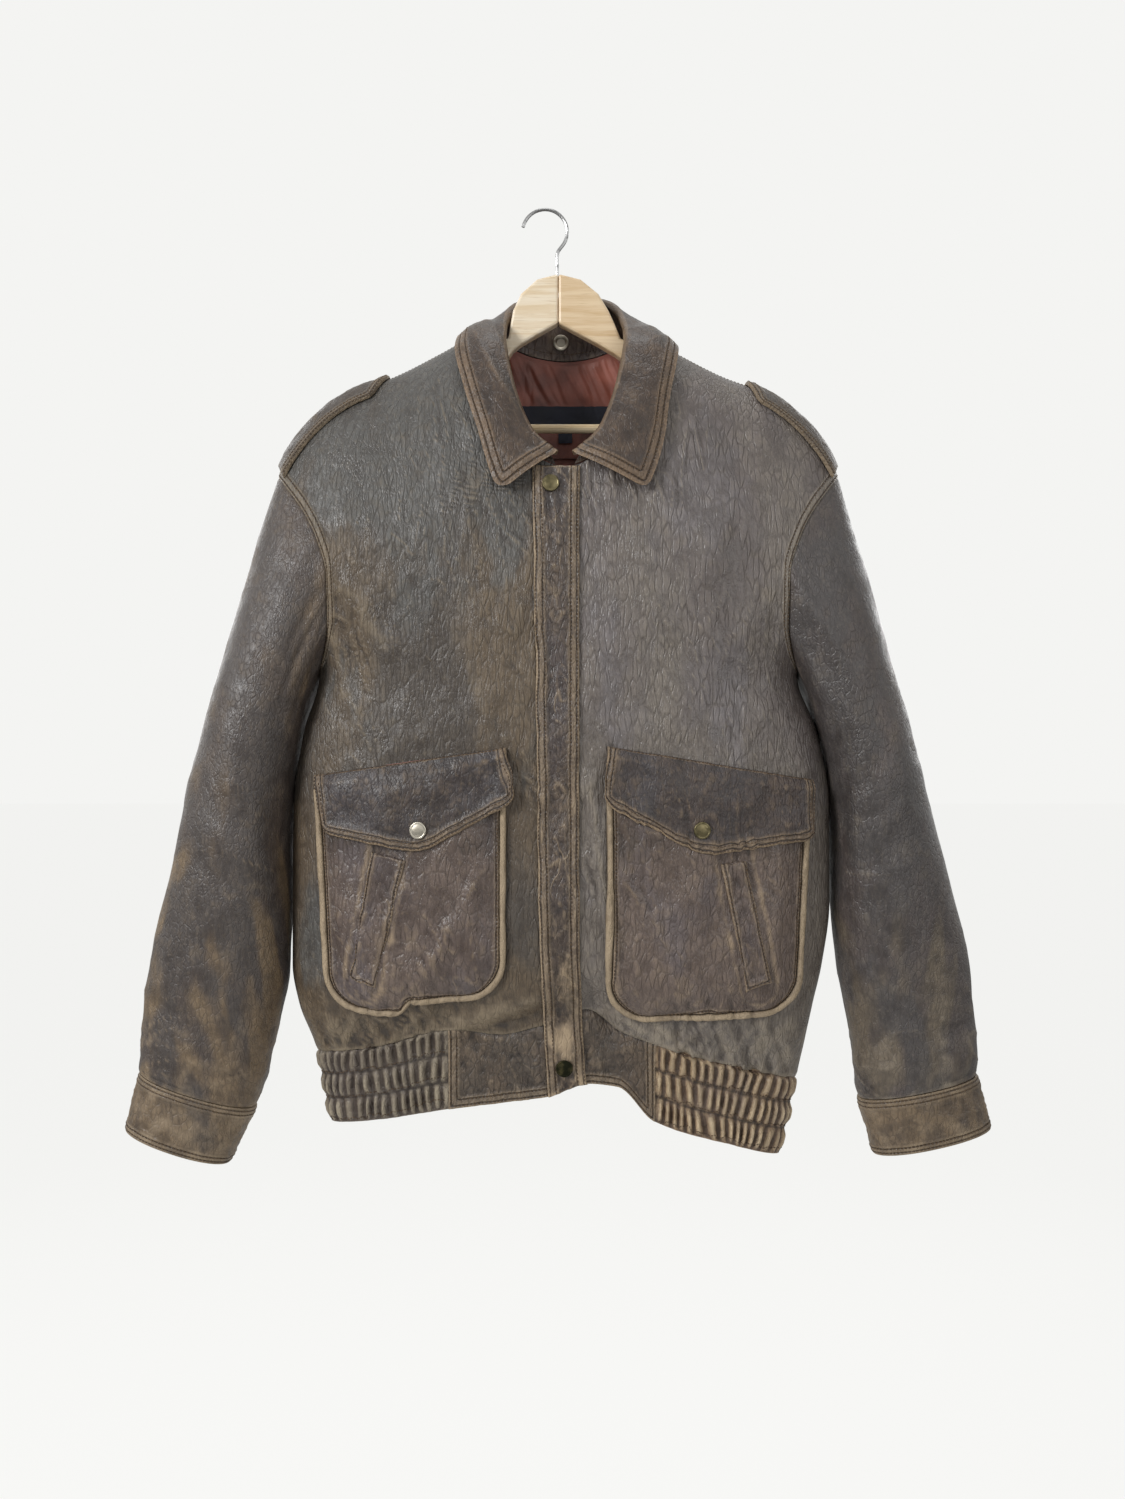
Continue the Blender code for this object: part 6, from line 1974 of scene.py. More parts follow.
    def build_flap(self, finishes: Finishes, stitching: Stitching) -> None:
        """Builds the flap, double-stitched all round."""
        corners = (np.array(p, float) for p in POCKET_FLAPS[self.side])
        top_outer, top_inner, low_outer, point, low_inner = corners
        share = packed(0, 1, 76, (0.0025, 0.006, 0.012))
        low_x = low_outer[0] + (low_inner[0] - low_outer[0]) * share
        order = np.argsort((low_outer[0], point[0], low_inner[0]))
        knots = np.array((low_outer, point, low_inner))[order]
        low_z = np.interp(low_x, knots[:, 0], knots[:, 1])
        low_z = low_z + 2.2 * bell(low_x - point[0], 7)
        edge = self.width * np.minimum(share, 1 - share)
        low_z = low_z + 7 - np.sqrt(np.clip(49 - np.clip(7 - edge, 0, 7) ** 2, 0, 49))
        top_x = top_outer[0] + (top_inner[0] - top_outer[0]) * share
        top_z = top_outer[1] + (top_inner[1] - top_outer[1]) * share
        fall = packed(0, 1, 30, (0.005, 0.012, 0.025))[:, None]
        xs, zs = top_x * (1 - fall) + low_x * fall, top_z * (1 - fall) + low_z * fall
        base = np.interp(fall, (0, 0.16, 0.55, 1), (1.0, 4.2, 4.6, 5.6)) + np.zeros(xs.shape)
        name = SIDE_NAMES[self.side]
        piece = Laid(self.form, f"pocket_flap_{name}", xs, zs, base, thick=2.6, finish="flap")
        away = border_away(self.form.on(xs, zs, Face.FRONT), "left right bottom")
        seed = 181 if self.side == Side.RIGHT else 191
        lift = seam_profile(away, (2.8, 7.4), 10, 1.2) + 0.9 * bell(away, 1.1)
        middle = smooth(away, 8, 18)
        lumps = 1.8 * noise(xs / 40, zs / 30, seed) + 0.3 * creased(xs / 22, zs / 22, seed + 3)
        lift = lift + middle * lumps
        lift = lift + 0.5 * noise(xs / 26, zs / 26, seed + 5)
        wear = 0.2 * (1 - smooth(away, 9, 12.5)) * (0.75 + 0.35 * noise(xs / 30, zs / 30, seed + 7))
        wear = wear + 0.15 * middle * creased(xs / 15, zs / 14, seed + 3)
        tone = 0.1 * noise(xs / 50, zs / 40, seed + 9) - (0.15 if self.side == Side.RIGHT else 0.0)
        piece.build(finishes, lift, {"wear": wear, "tone": tone, "edge": away})
        stitching.border(f"pocket_flap_{name}", piece.outer, piece.normals, "left right bottom", (2.8, 7.4))
        stitching.border(f"pocket_flap_{name}", piece.outer, piece.normals, "top", (2.2,))


@dataclass
class Waistband:
    """The waistband: plain in front and behind, and gathered on elastic in three channels round each side.

    Args:
        form: What it lies on.
        leather: Thickness of the wall.
        pleat: Spacing of the gathers.
        channels: Lines between the channels, as shares of the band's height.
    """

    form: BodyForm
    leather: float = 2.3
    pleat: float = 8.6
    channels: tuple[float, float] = (0.34, 0.67)

    def build(self, finishes: Finishes, stitching: Stitching) -> None:
        """Builds the five stretches of band and their stitches."""
        middle = float(self.form.centre(-750))
        for side in Side:
            ends = sorted((PLAIN_BAND[side], middle))
            self.plain(f"waist_front_{SIDE_NAMES[side]}", ends, Face.FRONT, finishes, stitching)
            self.elastic(side, finishes, stitching)
        self.plain("waist_back", (-BACK_BAND, BACK_BAND), Face.BACK, finishes, stitching)

    def plain(
        self, name: str, ends: tuple[float, float], face: Face, finishes: Finishes, stitching: Stitching
    ) -> None:
        """Builds a plain stretch between two places of X."""
        xs = packed(ends[0], ends[1], int((ends[1] - ends[0]) / 2.2), (0.4, 0.9, 1.7))[None, :]
        share = packed(0, 1, 30, (0.006, 0.014, 0.027))[:, None]
        zs = (self.form.waist(xs, face) + 1.6) * (1 - share) + self.form.hem(xs, face) * share
        xs = np.broadcast_to(xs, zs.shape)
        outer = np.stack([xs, self.form.y(xs, zs, face), zs], -1)
        out = unit(grid_normals(outer, (0, face, 0)) * (1, 1, 0.3))
        sewn = "bottom left right"
        if name.endswith("right"):
            sewn = "bottom left"
        elif name.endswith("left"):
            sewn = "bottom right"
        away = border_away(outer, sewn)
        seed = 201 + len(name)
        lift = seam_profile(away, (2.4, 7.4), 9.5, 0.7)
        from_top = border_away(outer, "top")
        loose = smooth(away, 6, 14) * smooth(from_top, 2, 10)
        lumps = 1.6 * noise(xs / 28, zs / 16, seed) + 0.5 * creased(xs / 20, zs / 12, seed + 2)
        lift = lift - 1.7 * bell(from_top, 3.2) + loose * lumps
        grid = outer + lift[..., None] * out
        wear = 0.2 * (1 - smooth(away, 7, 11)) * (0.8 + 0.4 * noise(xs / 26, zs / 26, seed + 4))
        wear = wear + 0.25 * loose * creased(xs / 14, zs / 12, seed + 2)
        paint = {"wear": wear, "tone": -0.05, "edge": away}
        Cloth(name, grid, outer - self.leather * out, "band", "band", paint=paint).build(finishes)
        stitching.border(name, grid, out, sewn, (2.4, 7.4))

    def elastic(self, side: Side, finishes: Finishes, stitching: Stitching) -> None:
        """Builds the gathered stretch round one side."""
        waist, hem = WAIST[0 if side == Side.RIGHT else -1][1:]
        wide = np.array([self.form.half[side](waist), self.form.half[side](hem)])
        starts = {Face.FRONT: abs(PLAIN_BAND[side]), Face.BACK: BACK_BAND}

        def band(places: Grid, share: Grid) -> Grid:
            """Points of the band, at places from -1 in front to 1 behind and shares down it."""
            turn = np.sin((1 - np.abs(places)) * math.pi / 2)
            start = np.where(places < 0, starts[Face.FRONT], starts[Face.BACK])
            top_x, hem_x = (side * (start + (w - start) * turn) for w in wide)
            top_z, hem_z = (
                np.where(places < 0, line(x, Face.FRONT), line(x, Face.BACK))
                for line, x in ((self.form.waist, top_x), (self.form.hem, hem_x))
            )
            xs = top_x * (1 - share) + hem_x * share
            zs = (top_z + 2.5) * (1 - share) + hem_z * share
            y = np.where(places < 0, self.form.y(xs, zs, Face.FRONT), self.form.y(xs, zs, Face.BACK))
            return np.stack([xs, np.where(np.abs(places) < 1e-9, 0, y), zs], -1)

        dense = np.linspace(-1, 1, 401)
        path = band(dense, np.full(401, 0.5))
        run = travelled(path)
        count = 10 * round(run[-1] / self.pleat)
        length = np.linspace(0.3, run[-1] - 0.3, count + 1)
        places = np.interp(length, run, dense)
        places[np.argmin(np.abs(places))] = 0
        share = packed(0, 1, 40, (0.006, 0.014))[:, None]
        grid = band(places[None, :] + 0 * share, share + 0 * places[None, :])
        out = unit(grid_normals(grid, grid) * (1, 1, 0.15))
        out = softened(out * np.sign((out * grid * (1, 1, 0)).sum(-1, keepdims=True)))
        # The lines of stitches between the channels pinch the gathers.
        pinch = np.min([np.abs(share - c) for c in (0.0, *self.channels, 1.0)], axis=0)
        open_part = smooth(pinch, 0.0, 0.13)
        seed = 211 if side == Side.RIGHT else 231
        total = 0.0
        for k, (low, high) in enumerate(zip((0.0, *self.channels), (*self.channels, 1.0))):
            part = smooth(share, low - 0.03, low + 0.03) * (1 - smooth(share, high - 0.03, high + 0.03))
            shift = 5.5 * noise(length / 34, k * 1.7, seed) + 2.9 * k
            lean = 16 * noise(length[None, :] / 60, k * 2.3, seed + 8) * (share - (low + high) / 2)
            ridge = np.cos(2 * math.pi * (length[None, :] + shift[None, :] + lean) / self.pleat)
            ridge = ridge + 0.6 * noise(length[None, :] / 6.5, share * 3 + 4 * k, seed + 2)
            total = total + part * ridge
        sewn = smooth(share, 0.0, 0.09)
        height = total * (0.3 + 1.7 * open_part) * sewn
        height = height + 0.5 * noise(length[None, :] / 30, share * 4, seed + 4) * sewn
        ends = smooth(np.minimum(length, run[-1] - length), 0, 8)[None, :]
        height = height * ends + 1.5 * open_part - 1.5 * smooth(share, 0.0, 0.12) - 0.3 - 3.0 * (1 - sewn)
        outer = grid + height[..., None] * out
        inner = outer - (self.leather + 0.9 + 0.5 * np.maximum(height, 0)[..., None]) * out
        up = smooth(total, 0.1, 1.2)
        wear = 0.95 * up * (0.4 + 0.6 * open_part) * (0.2 + 0.8 * smooth(share, 0.15, 0.7))
        wear = wear * (0.8 + 0.5 * noise(length[None, :] / 40, share * 2, seed + 6))
        # Painted shade in the troughs of the gathers and along the pinched lines of stitches between the
        # channels.
        grime = 0.42 * (1 - smooth(total, -0.9, 0.1))
        grime = grime + 0.75 * bell(pinch, 0.022) * (share > 0.05) * (share < 0.95)
        name = f"waist_elastic_{SIDE_NAMES[side]}"
        hide = "gathers_right" if side == Side.RIGHT else "gathers"
        Cloth(name, outer, inner, hide, hide, paint={"wear": wear, "grime": grime}).build(finishes)
        normals = grid_normals(outer, outer * (1, 1, 0))
        tall = float(along_columns(grid)[-1].mean())
        for away in (2.0, self.channels[0] * tall, self.channels[1] * tall, tall - 2.5):
            stitching.add(name, edge_line(outer, normals, "top", away, (2, 2)))


@dataclass
class ShoulderStrap:
    """A shoulder strap, pointed at the collar end and sewn in at the sleeve head, double-stitched.

    Args:
        form: What it lies on.
        side: The wearer's side.
        tip: X of its point.
        square: X of the point's corners.
        half_width: Half of its width.
    """

    form: BodyForm
    side: Side
    tip: float
    square: float
    half_width: float = 25.0

    def build(self, finishes: Finishes, stitching: Stitching) -> None:
        """Builds the strap and its stitches."""
        over = 2 * packed(0, 1, 30, (0.012, 0.03, 0.05))[None, :] - 1
        ys = self.half_width * over
        pointed = np.sqrt(np.abs(over) ** 2 + 0.02)
        start = self.tip + (self.square - self.tip) * np.clip(pointed, 0, 1) ** 1.5
        start = start + self.side * 2.5 * smooth(np.abs(over), 0.9, 1.0)
        end = self.side * (ARMHOLE[0][1] - 3 - 0.012 * ys**2)
        share = packed(0, 1, 60, (0.006, 0.015, 0.03))[:, None]
        xs = start * (1 - share) + end * share
        ys = np.broadcast_to(ys, xs.shape)
        flat = self.form.over_shoulder(xs, ys, 0.0)
        away, sides = border_away(flat, "left right top"), border_away(flat, "left right")
        seed = 251 + self.side
        lift = seam_profile(away, (2.4, 7.4), 9.5, 0.8) + 0.4 * noise(xs / 24, ys / 18, seed)
        lift = lift + 0.9 * bell(away, 1.1) + 0.5 * smooth(sides, 8, 14) * creased(xs / 16, ys / 9, seed + 2)
        thick = 1.0 + 2.8 * (1 - 0.75 * bell(border_away(flat), 0.7, 1.5))
        outer = self.form.over_shoulder(xs, ys, thick + lift)
        inner = self.form.over_shoulder(xs, ys, 1.0)
        normals = grid_normals(outer, (0, 0, 1))
        wear = 0.15 * (1 - smooth(away, 7, 11)) + 0.2 * smooth(noise(xs / 30, ys / 20, seed + 6), 0, 0.6)
        name = f"epaulette_{SIDE_NAMES[self.side]}"
        Cloth(name, outer, inner, "strap", "strap", paint={"wear": wear, "edge": away}).build(finishes)
        stitching.border(name, outer, normals, "left right top", (2.4, 7.4))


@dataclass
class Collar:
    """A shirt collar: a stand from the neck seam, and a fall that rolls over it and lies on the shoulders.

    Args:
        form: What it lies on.
        lift: How high its outer edge lies off the shoulders.
        thick: Thickness of the leather.
        roll: Radius of the roll's outside.
        bulge: How much the fall swells between the roll and the edge.
        times: Steps of the mesh between two rows of the NECK table.
    """

    form: BodyForm
    lift: float = 7.5
    thick: float = 2.2
    roll: float = 4.6
    bulge: float = 6.0
    times: int = 9

    def stations(self) -> tuple[Grid, Grid, Grid]:
        """Fold, seam and outer edge, from the front on the wearer's left round to the front on the right."""
        order = [(Side.LEFT, k) for k in range(len(NECK))]
        order += [(Side.RIGHT, k) for k in range(len(NECK) - 2, -1, -1)]
        fold, seam, edge = [], [], []
        for side, k in order:
            fold_x, fold_y, fold_z, _, _, edge_right, edge_left, edge_z = NECK[k]
            face = Face.FRONT if k <= SHOULDER_STATION else Face.BACK
            fold.append((NECK_X + side * fold_x, fold_y, fold_z))
            x, z = neck_seam(self.form, side, k)
            seam.append((x, 0 if k == SHOULDER_STATION else float(self.form.y(x, z, face)), z))
            x = NECK_X + side * (edge_left if side == Side.LEFT else edge_right)
            if k == SHOULDER_STATION:
                edge.append((x, 0, float(self.form.shoulder(abs(x))) + self.lift))
            else:
                edge.append(tuple(self.form.on(x, edge_z, face, self.lift).reshape(-1)[:3]))
        return tuple(refine(np.array(line, float), self.times) for line in (fold, seam, edge))

    def build(self, finishes: Finishes, stitching: Stitching) -> None:
        """Builds the stand and the fall, with their stitches."""
        fold, seam, edge = self.stations()
        along = unit(np.gradient(fold, axis=0))
        rise = unit(fold - seam)
        out = unit(np.cross(along, rise))
        out *= np.sign(((fold - (NECK_X, -8, 0)) * (1, 1, 0) * out).sum())
        rise = unit(np.cross(out, along))
        rise *= np.sign(((fold - seam) * rise).sum())
        roll_centre = fold - rise * self.roll
        self.build_stand(finishes, stitching, seam, roll_centre, rise, out)
        self.build_fall(finishes, stitching, fold, edge, roll_centre, rise, out)

    def build_stand(
        self, finishes: Finishes, stitching: Stitching, seam: Grid, roll_centre: Grid, rise: Grid, out: Grid
    ) -> None:
        """Builds the stand, which stops short of the fall's front ends."""
        cut = round(0.4 * self.times)
        seam, centre = seam[cut:-cut], roll_centre[cut:-cut]
        rise, out = rise[cut:-cut], out[cut:-cut]
        low = seam + rise * 1.0 - out * self.thick / 2
        high = centre - out * self.roll - rise * 0.9
        share = packed(0, 1, 16, (0.01, 0.03))[:, None, None]
        grid = low * (1 - share) + high * share
        run = along_rows(grid)
        fall = along_columns(grid)
        lift = 0.35 * noise(run / 22, fall / 16, 261)
        lift = lift + 0.3 * creased(run / 12, fall / 12, 263) * smooth(fall, 3, 8)
        lift = lift - 0.4 * bell(fall - 6, 0.9)
        inside = grid - np.clip(lift, -0.5, 0.5)[..., None] * out
        outer = grid + self.thick * out
        wear = 0.3 * bell(fall, 3, 1.3) + 0.2 * smooth(noise(run / 30, fall / 20, 265), 0, 0.6)
        # Painted shade at the top of the stand, under the roll of the fall, over a faint even darkening.
        grime = 0.35 * bell(fall[-1:] - fall, 8) + 0.08
        paint = {"wear": wear, "grime": grime}
        # The stand's inner face wears the paler pocket hide, as painted light where it lies in shade inside
        # the neck.
        Cloth("collar_stand", inside, outer, "pocket", "collar", paint=paint).build(finishes)
        stitching.add("collar_stand", edge_line(inside, -out + 0 * inside, "top", 6.0, (4, 4)))

    def build_fall(
        self,
        finishes: Finishes,
        stitching: Stitching,
        fold: Grid,
        edge: Grid,
        centre: Grid,
        rise: Grid,
        out: Grid,
    ) -> None:
        """Builds the roll and the fall."""
        rows = []
        for degrees in np.linspace(0, 145, 13):
            t = math.radians(degrees)
            rows.append(centre + self.roll * (math.sin(t) * rise - math.cos(t) * out))
        last = rows[-1]
        up = unit(np.cross(np.gradient(edge, axis=0), edge - fold))
        up *= np.sign((up * (rise + out)).sum())
        for share in packed(0, 1, 34, (0.008, 0.02, 0.04))[1:]:
            rows.append(last + (edge - last) * share + up * self.bulge * math.sin(math.pi * share))
        grid = np.array(rows)
        # The points at the front are turned round a little.
        run = along_rows(grid)
        fall = along_columns(grid)
        from_edge = fall[-1:] - fall
        ends = np.minimum(run, run[:, -1:] - run)
        low, near = (np.clip(1 - away / 10, 0, 1) for away in (from_edge, ends))
        along_in = unit(np.gradient(grid, axis=1)) * np.where(run < run[:, -1:] / 2, 1, -1)[..., None]
        up_in = -unit(np.gradient(grid, axis=0))
        grid = grid + 10 * (near * (1 - np.sqrt(1 - low**2 / 2)))[..., None] * along_in
        grid = grid + 10 * (low * (1 - np.sqrt(1 - near**2 / 2)))[..., None] * up_in
        normals = grid_normals(grid, np.concatenate([grid[:4] - centre, grid[4:] * 0]))
        away = np.minimum(from_edge, ends)
        lift = seam_profile(away, (4.5, 10.8), 13, 0.7) + 0.9 * bell(away, 1.1)
        loose = smooth(away, 10, 18) * smooth(fall, 6, 14)
        lumps = 1.5 * noise(run / 34, fall / 24, 271) + 0.35 * creased(run / 26, fall / 16, 273)
        lift = lift + loose * lumps
        lift = lift + 1.2 * noise(run / 48, fall / 36, 275) * smooth(fall, 8, 20)
        outer = grid + lift[..., None] * normals
        inner = grid - self.thick * (1 - 0.6 * bell(away, 0.8))[..., None] * normals
        wear = 0.15 * (1 - smooth(away, 9, 14)) * (0.75 + 0.45 * noise(run / 32, fall / 26, 277))
        wear = wear + 0.2 * bell(fall - 7, 5) + 0.15 * loose * creased(run / 20, fall / 11, 273)
        paint = {"wear": wear, "tone": 0.12 * noise(run / 60, fall / 40, 279), "edge": away}
        Cloth("collar", outer, inner, "collar", "collar", paint=paint).build(finishes)
        for edge_name, skips in (("bottom", True), ("left", False), ("right", False)):
            for away_mm in (4.5, 10.8):
                skip = (away_mm, away_mm) if skips else (16, away_mm)
                stitching.add("collar", edge_line(outer, normals, edge_name, away_mm, skip))


@dataclass
class NeckInside:
    """The gathered lining inside the back of the neck, with a bare woven label and a size tab.

    Args:
        form: What it lies on.
        leather: Thickness of the back, which it lies inside.
        half_width: Half of the lining's width.
        bottom: Height of its lower edge at the middle.
        label: The label's X from and to, and its height from and to.
        tab: The same of the tab.
    """

    form: BodyForm
    leather: float = 2.3
    half_width: float = 58.0
    bottom: float = -212.0
    label: tuple[float, float, float, float] = (-38.0, 48.0, -183.0, -164.0)
    tab: tuple[float, float, float, float] = (0.0, 13.0, -198.0, -184.0)

    def build(self, finishes: Finishes) -> None:
        """Builds the lining, the label and the tab."""
        share = np.linspace(-1, 1, 141)[None, :]
        down = np.linspace(0, 1, 44)[:, None]
        xs = NECK_X + self.half_width * share + 0 * down
        behind = range(SHOULDER_STATION, len(NECK))
        line = refine(np.array([neck_seam(self.form, Side.LEFT, k) for k in behind]), 8)
        top = np.interp(np.abs(xs - NECK_X), line[::-1, 0] - NECK_X, line[::-1, 1]) - 3.4
        zs = top + (self.bottom - top) * down
        run = (xs - NECK_X) + 0.5 * (zs + 140)
        fold = noise(run / 7.5, zs / 60, 281) + 0.5 * noise(run / 3.8, zs / 34, 283)
        near = bell(down - 0.12, 0.5)
        wavy = 1.3 * fold * (0.35 + 0.65 * near) + 0.7 * noise(xs / 26, zs / 30, 285)
        wavy = wavy * smooth(down, 0, 0.06) * (1 - 0.75 * smooth(-zs, 156, 163))
        face = Face.BACK
        lift = -self.leather - 0.5 - 1.2 - 0.75 + np.clip(wavy, -2.6, 0.7)
        inner_side = self.form.on(xs, zs, face, lift)
        outer_side = self.form.on(xs, zs, face, -self.leather - 0.45)
        grime = 0.3 * np.clip(-fold, 0, 1)
        Cloth("neck_lining", inner_side, outer_side, "lining", paint={"grime": grime}).build(finishes)
        for name, (x0, x1, z0, z1), steps in (("neck_label", self.label, 60), ("size_tab", self.tab, 16)):
            xs, zs = np.meshgrid(np.linspace(x0, x1, steps), np.linspace(z1, z0, 20))
            droop = 0.35 * noise(xs / 20, zs / 14, 287) + 0.5 * smooth(-zs, -z1, -z0)
            base = -self.leather - 0.5 - 1.2 - 1.9 - droop
            front = self.form.on(xs, zs, face, base - 0.7)
            behind = self.form.on(xs, zs, face, base)
            Cloth(name, front, behind, "label", "label").build(finishes)


@dataclass
class PressStud:
    """A press stud's cap, 15 mm across, drawn from sheet brass with a rolled rim.

    Args:
        node: The CAD node that it replaces.
        finish: What it wears.
        ring: Whether it is the stud's socket, which is an open ring, instead of its cap.
    """

    node: str
    finish: str
    ring: bool = False

    def build(self, finishes: Finishes) -> None:
        """Builds the stud on its CAD node's place and way."""
        cad = bpy.data.objects[self.node]
        points = np.array([cad.matrix_world @ v.co for v in cad.data.vertices])
        middle = points.mean(axis=0)
        _, _, ways = np.linalg.svd(points - middle)
        way = Vector(ways[2])
        if way.y > 0:
            way.negate()
        reach = (points - middle) @ np.array(way)
        low = Vector(middle) + way * float(reach.min())
        bpy.ops.object.select_all(action="DESELECT")
        bpy.ops.mesh.primitive_cylinder_add(vertices=48, radius=7.3 * MM, depth=2.0 * MM)
        stud = bpy.context.object
        stud.name = f"{self.node}_metal"
        bpy.ops.object.mode_set(mode="EDIT")
        self.pick_top(stud)
        for inset, rise in self.steps():
            bpy.ops.mesh.inset(thickness=inset * MM, depth=rise * MM)
        bpy.ops.object.mode_set(mode="OBJECT")
        bevel = stud.modifiers.new("Rim", "BEVEL")
        bevel.width, bevel.segments = 0.35 * MM, 3
        bevel.limit_method, bevel.angle_limit = "ANGLE", math.radians(24)
        bpy.ops.object.modifier_apply(modifier=bevel.name)
        turn = way.to_track_quat("Z", "Y").to_matrix().to_4x4()
        turn.translation = low + way * 1.0 * MM
        stud.data.transform(turn)
        stud.data.materials.append(finishes[self.finish])
        bpy.ops.object.shade_smooth_by_angle(angle=math.radians(38))
        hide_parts(self.node)
        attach(stud, "root")

    def steps(self) -> tuple[tuple[float, float], ...]:
        """Insets of the top face and how far each then rises."""
        if self.ring:
            return (0.5, 0.5), (1.0, 0.1), (1.4, -0.8), (0.4, -0.9), (2.2, 0.05)
        return (0.35, 0.45), (0.9, 0.15), (0.35, -0.3), (1.4, 0.42), (1.7, 0.22), (1.3, 0.06)

    @staticmethod
    def pick_top(stud: bpy.types.Object) -> None:
        """Selects the top face in edit mode."""
        bpy.ops.mesh.select_mode(type="FACE")
        shape = bmesh.from_edit_mesh(stud.data)
        for face in shape.faces:
            face.select_set(face.normal.z > 0.9)
        bmesh.update_edit_mesh(stud.data)


@dataclass
class Hanger:
    """The wooden hanger: two shaped beech arms, a trouser bar and a hook of drawn steel wire."""

    def build(self, finishes: Finishes) -> None:
        """Dresses the CAD's arms, bar and hook."""
        for node, finish in (
            ("hanger_arm_right", "beech_right"),
            ("hanger_arm_left", "beech_left"),
            ("trouser_bar", "bar"),
            ("hook", "steel"),
        ):
            cad = bpy.data.objects[node]
            cad.data.materials.clear()
            cad.data.materials.append(finishes[finish])


@dataclass
class Studio:
    """A plain pale studio with soft lights, and the camera.

    Args:
        ground: The colour of the floor and of the world.
        eye: Where the camera stands, in metres.
        lens: The camera's focal length for a 36 mm sensor.
    """

    ground: str = "#F4F4F2"
    eye: tuple[float, float, float] = (0.0158, -1.2, -0.4847)
    lens: float = 32.0

    def build(self) -> None:
        """Builds the floor, the world, the lights and the camera."""
        self.build_floor()
        self.build_world()
        for name, place, size, power in (
            ("key", (-1.9, -1.7, 0.5), 1.0, 50.0),
            ("fill", (1.5, -2.3, 0.1), 2.0, 14.0),
            ("top", (0.1, -0.2, 1.9), 1.4, 14.0),
            ("back_right", (-1.5, 2.0, 0.4), 1.6, 14.0),
            ("back_left", (1.5, 2.0, 0.4), 1.6, 14.0),
        ):
            self.add_light(name, place, size, power)
        camera = add_object("camera", bpy.data.cameras.new("camera"))
        camera.data.lens = self.lens
        camera.data.sensor_fit = "VERTICAL"
        camera.data.sensor_height = 36.0
        camera.location = self.eye
        camera.rotation_euler = (math.radians(90), 0, 0)
        bpy.context.scene.camera = camera
        bpy.context.scene.view_settings.view_transform = "Standard"

    def build_floor(self) -> None:
        """A plain floor well below the jacket."""
        bpy.ops.object.select_all(action="DESELECT")
        bpy.ops.mesh.primitive_plane_add(size=60, location=(0, 0, -1.75))
        floor = bpy.context.object
        floor.name = "floor"
        recipe = Recipe("studio floor")
        tree, shader = recipe.tree, recipe.shader
        shader.inputs["Base Color"].default_value = srgb(self.ground)
        shader.inputs["Roughness"].default_value = 0.9
        path = add_node(tree, "LightPath").outputs["Is Camera Ray"]
        plain_part = add_node(tree, "Math", {0: path, 1: 0.88}, operation="MULTIPLY").outputs[0]
        shown = add_node(tree, "Emission", {"Color": self.ground, "Strength": 1.07}).outputs[0]
        both = add_node(tree, "MixShader", {0: plain_part, 1: shader.outputs[0], 2: shown}).outputs[0]
        tree.links.new(both, tree.nodes["Material Output"].inputs["Surface"])
        floor.data.materials.append(recipe.made)

    def build_world(self) -> None:
        """A world that is pale to the camera and in reflections, and lights more softly."""
        world = bpy.data.worlds.new("studio")
        world.use_nodes = True
        tree = world.node_tree
        tree.nodes.clear()
        path = add_node(tree, "LightPath").outputs
        rays = {0: path["Is Camera Ray"], 1: path["Is Transmission Ray"]}
        seen = add_node(tree, "Math", rays, operation="MAXIMUM").outputs[0]
        seen = add_node(tree, "Math", {0: seen, 1: path["Is Glossy Ray"]}, operation="MAXIMUM").outputs[0]
        light, shown = (
            add_node(tree, "Background", {"Color": self.ground, "Strength": strength}).outputs[0]
            for strength in (0.3, 1.0)
        )
        both = add_node(tree, "MixShader", {0: seen, 1: light, 2: shown}).outputs[0]
        out = add_node(tree, "OutputWorld", {"Surface": both})
        out.is_active_output = True
        bpy.context.scene.world = world

    def add_light(self, name: str, place: tuple[float, float, float], size: float, power: float) -> None:
        """Adds a soft area light aimed at the jacket's middle."""
        data = bpy.data.lights.new(name, "AREA")
        data.shape, data.size, data.energy = "DISK", size, power
        made = add_object(name, data)
        made.location = place
        way = Vector((0.01, 0, -0.45)) - Vector(place)
        made.rotation_euler = way.to_track_quat("-Z", "Y").to_euler()


CUFFS = {
    Side.RIGHT: ((-371.5, -770, -268.5, -802), (-384, -820, -292, -851)),
    Side.LEFT: ((371.5, -772, 266.5, -794), (384, -819, 280, -843)),
}
STRAPS = ((Side.RIGHT, -150.0, -163.0), (Side.LEFT, 167.0, 176.0))
STUDS = {
    "snap_top": "brass",
    "snap_bottom": "black",
    "flap_snap_right": "bright",
    "flap_snap_left": "brass",
    "stand_snap": "bright",
}


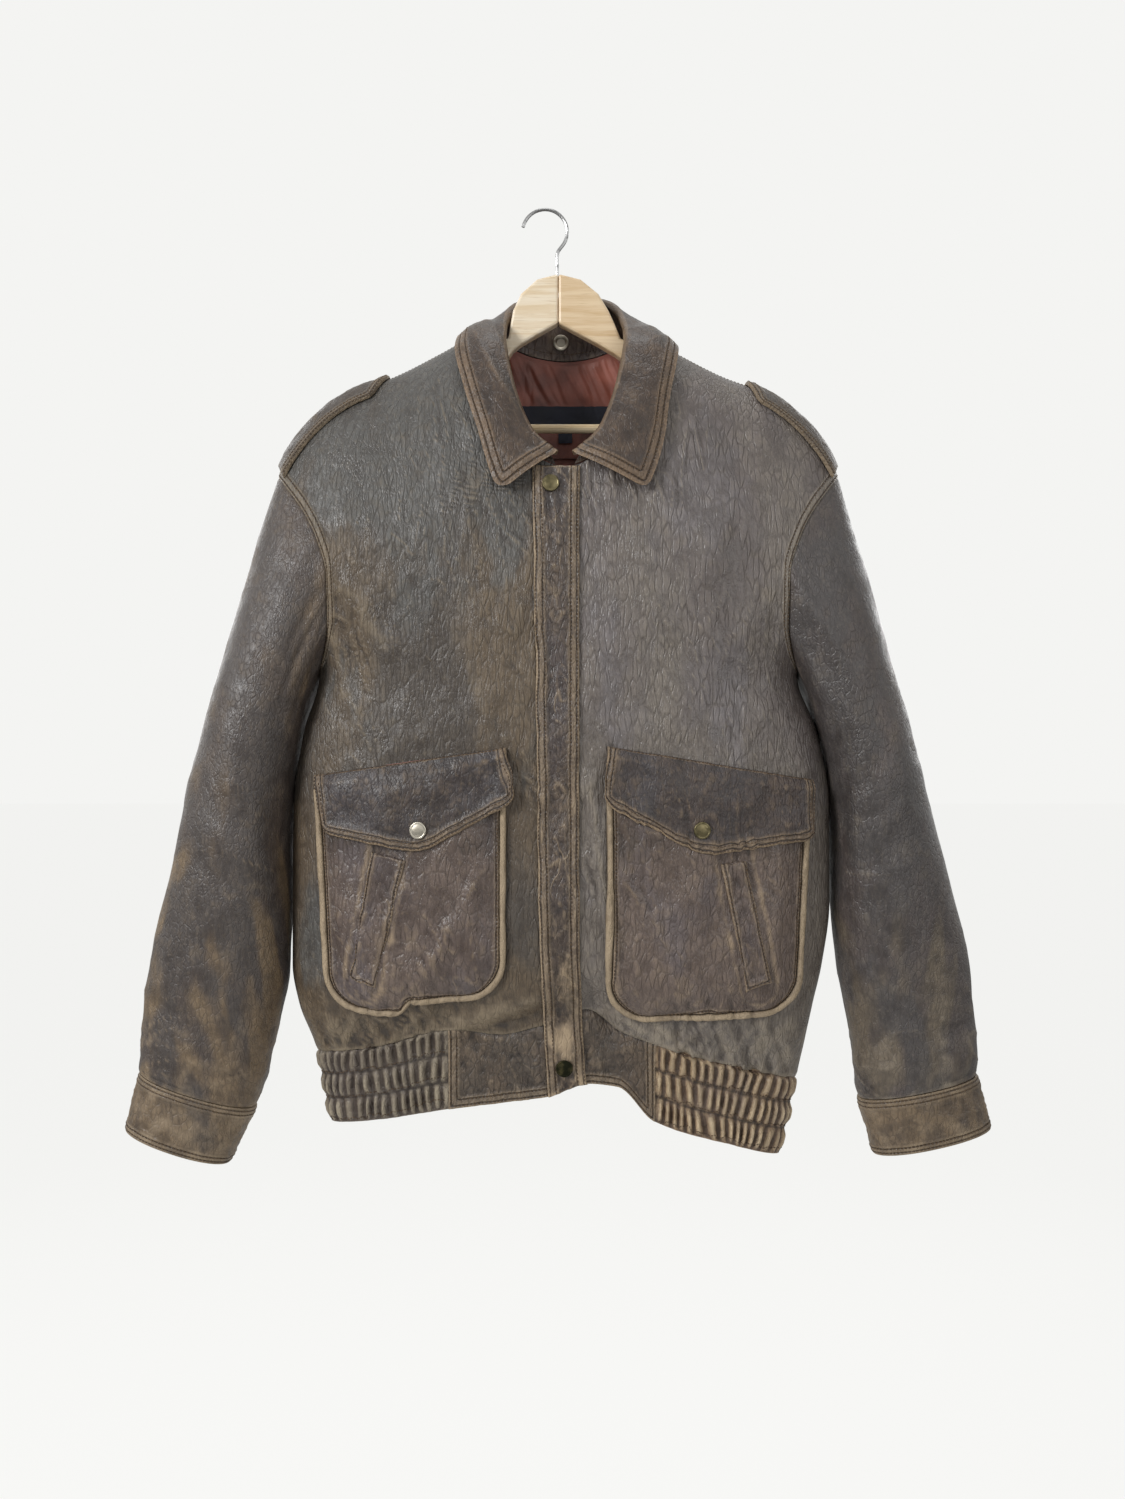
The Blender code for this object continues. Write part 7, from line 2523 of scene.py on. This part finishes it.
def add_seam_stitches(body: Body, cuffs: list[Cuff], stitching: Stitching) -> None:
    """Adds the top-stitching of the body's seams and of the cuffs.

    Args:
        body: The fronts, the back and the sleeves.
        cuffs: The cuffs.
        stitching: What the lines are added to.
    """
    rows = body.armhole_rows + 1
    for side, panel in body.fronts.items():
        name = f"front_{SIDE_NAMES[side]}"
        for away in (2.0, 8.0):
            stitching.add(name, edge_line(panel.grid[:rows], panel.normals[:rows], "right", away, (away, 3)))
            stitching.add(name, edge_line(panel.grid, panel.normals, "top", away, (4, away)))
            edge = "left" if side == Side.RIGHT else "right"
            behind = (body.back.grid[:rows], body.back.normals[:rows])
            stitching.add("back", edge_line(*behind, edge, away, (2, 3)))
    for cuff in cuffs:
        ring = np.concatenate([cuff.outer, cuff.outer[:, :1]], 1)
        out = grid_normals(ring, ring - ring.mean(axis=1, keepdims=True))
        for edge in ("top", "bottom"):
            for away in (2.4, 6.2):
                stitching.add(f"cuff_{SIDE_NAMES[cuff.side]}", edge_line(ring, out, edge, away))


def main() -> None:
    """Dresses the whole jacket and sets up the studio."""
    logging.basicConfig(level=logging.INFO, format="%(name)s: %(message)s")
    for name in ("Cube", "Camera", "Light"):
        if name in bpy.data.objects:
            bpy.data.objects.remove(bpy.data.objects[name])
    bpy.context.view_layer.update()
    finishes = Finishes()
    form = BodyForm()
    stitching = Stitching()
    body = Body(form)
    body.shape()
    body.dress(finishes)
    log.info("body and sleeves")
    cuffs = [Cuff(side, *edges) for side, edges in CUFFS.items()]
    for cuff in cuffs:
        cuff.build(finishes)
    add_seam_stitches(body, cuffs, stitching)
    log.info("cuffs")
    Waistband(form).build(finishes, stitching)
    log.info("waistband")
    StormFlap(form).build(finishes, stitching)
    for side in Side:
        Pocket(form, side).build(finishes, stitching)
    log.info("storm flap and pockets")
    for side, tip, square in STRAPS:
        ShoulderStrap(form, side, tip, square).build(finishes, stitching)
    Collar(form).build(finishes, stitching)
    log.info("shoulder straps and collar")
    NeckInside(form).build(finishes)
    for node, finish in STUDS.items():
        PressStud(node, finish, node == "stand_snap").build(finishes)
    Hanger().build(finishes)
    log.info("neck, press studs and hanger")
    stitching.build(finishes)
    Studio().build()


if __name__ == "__main__":
    main()
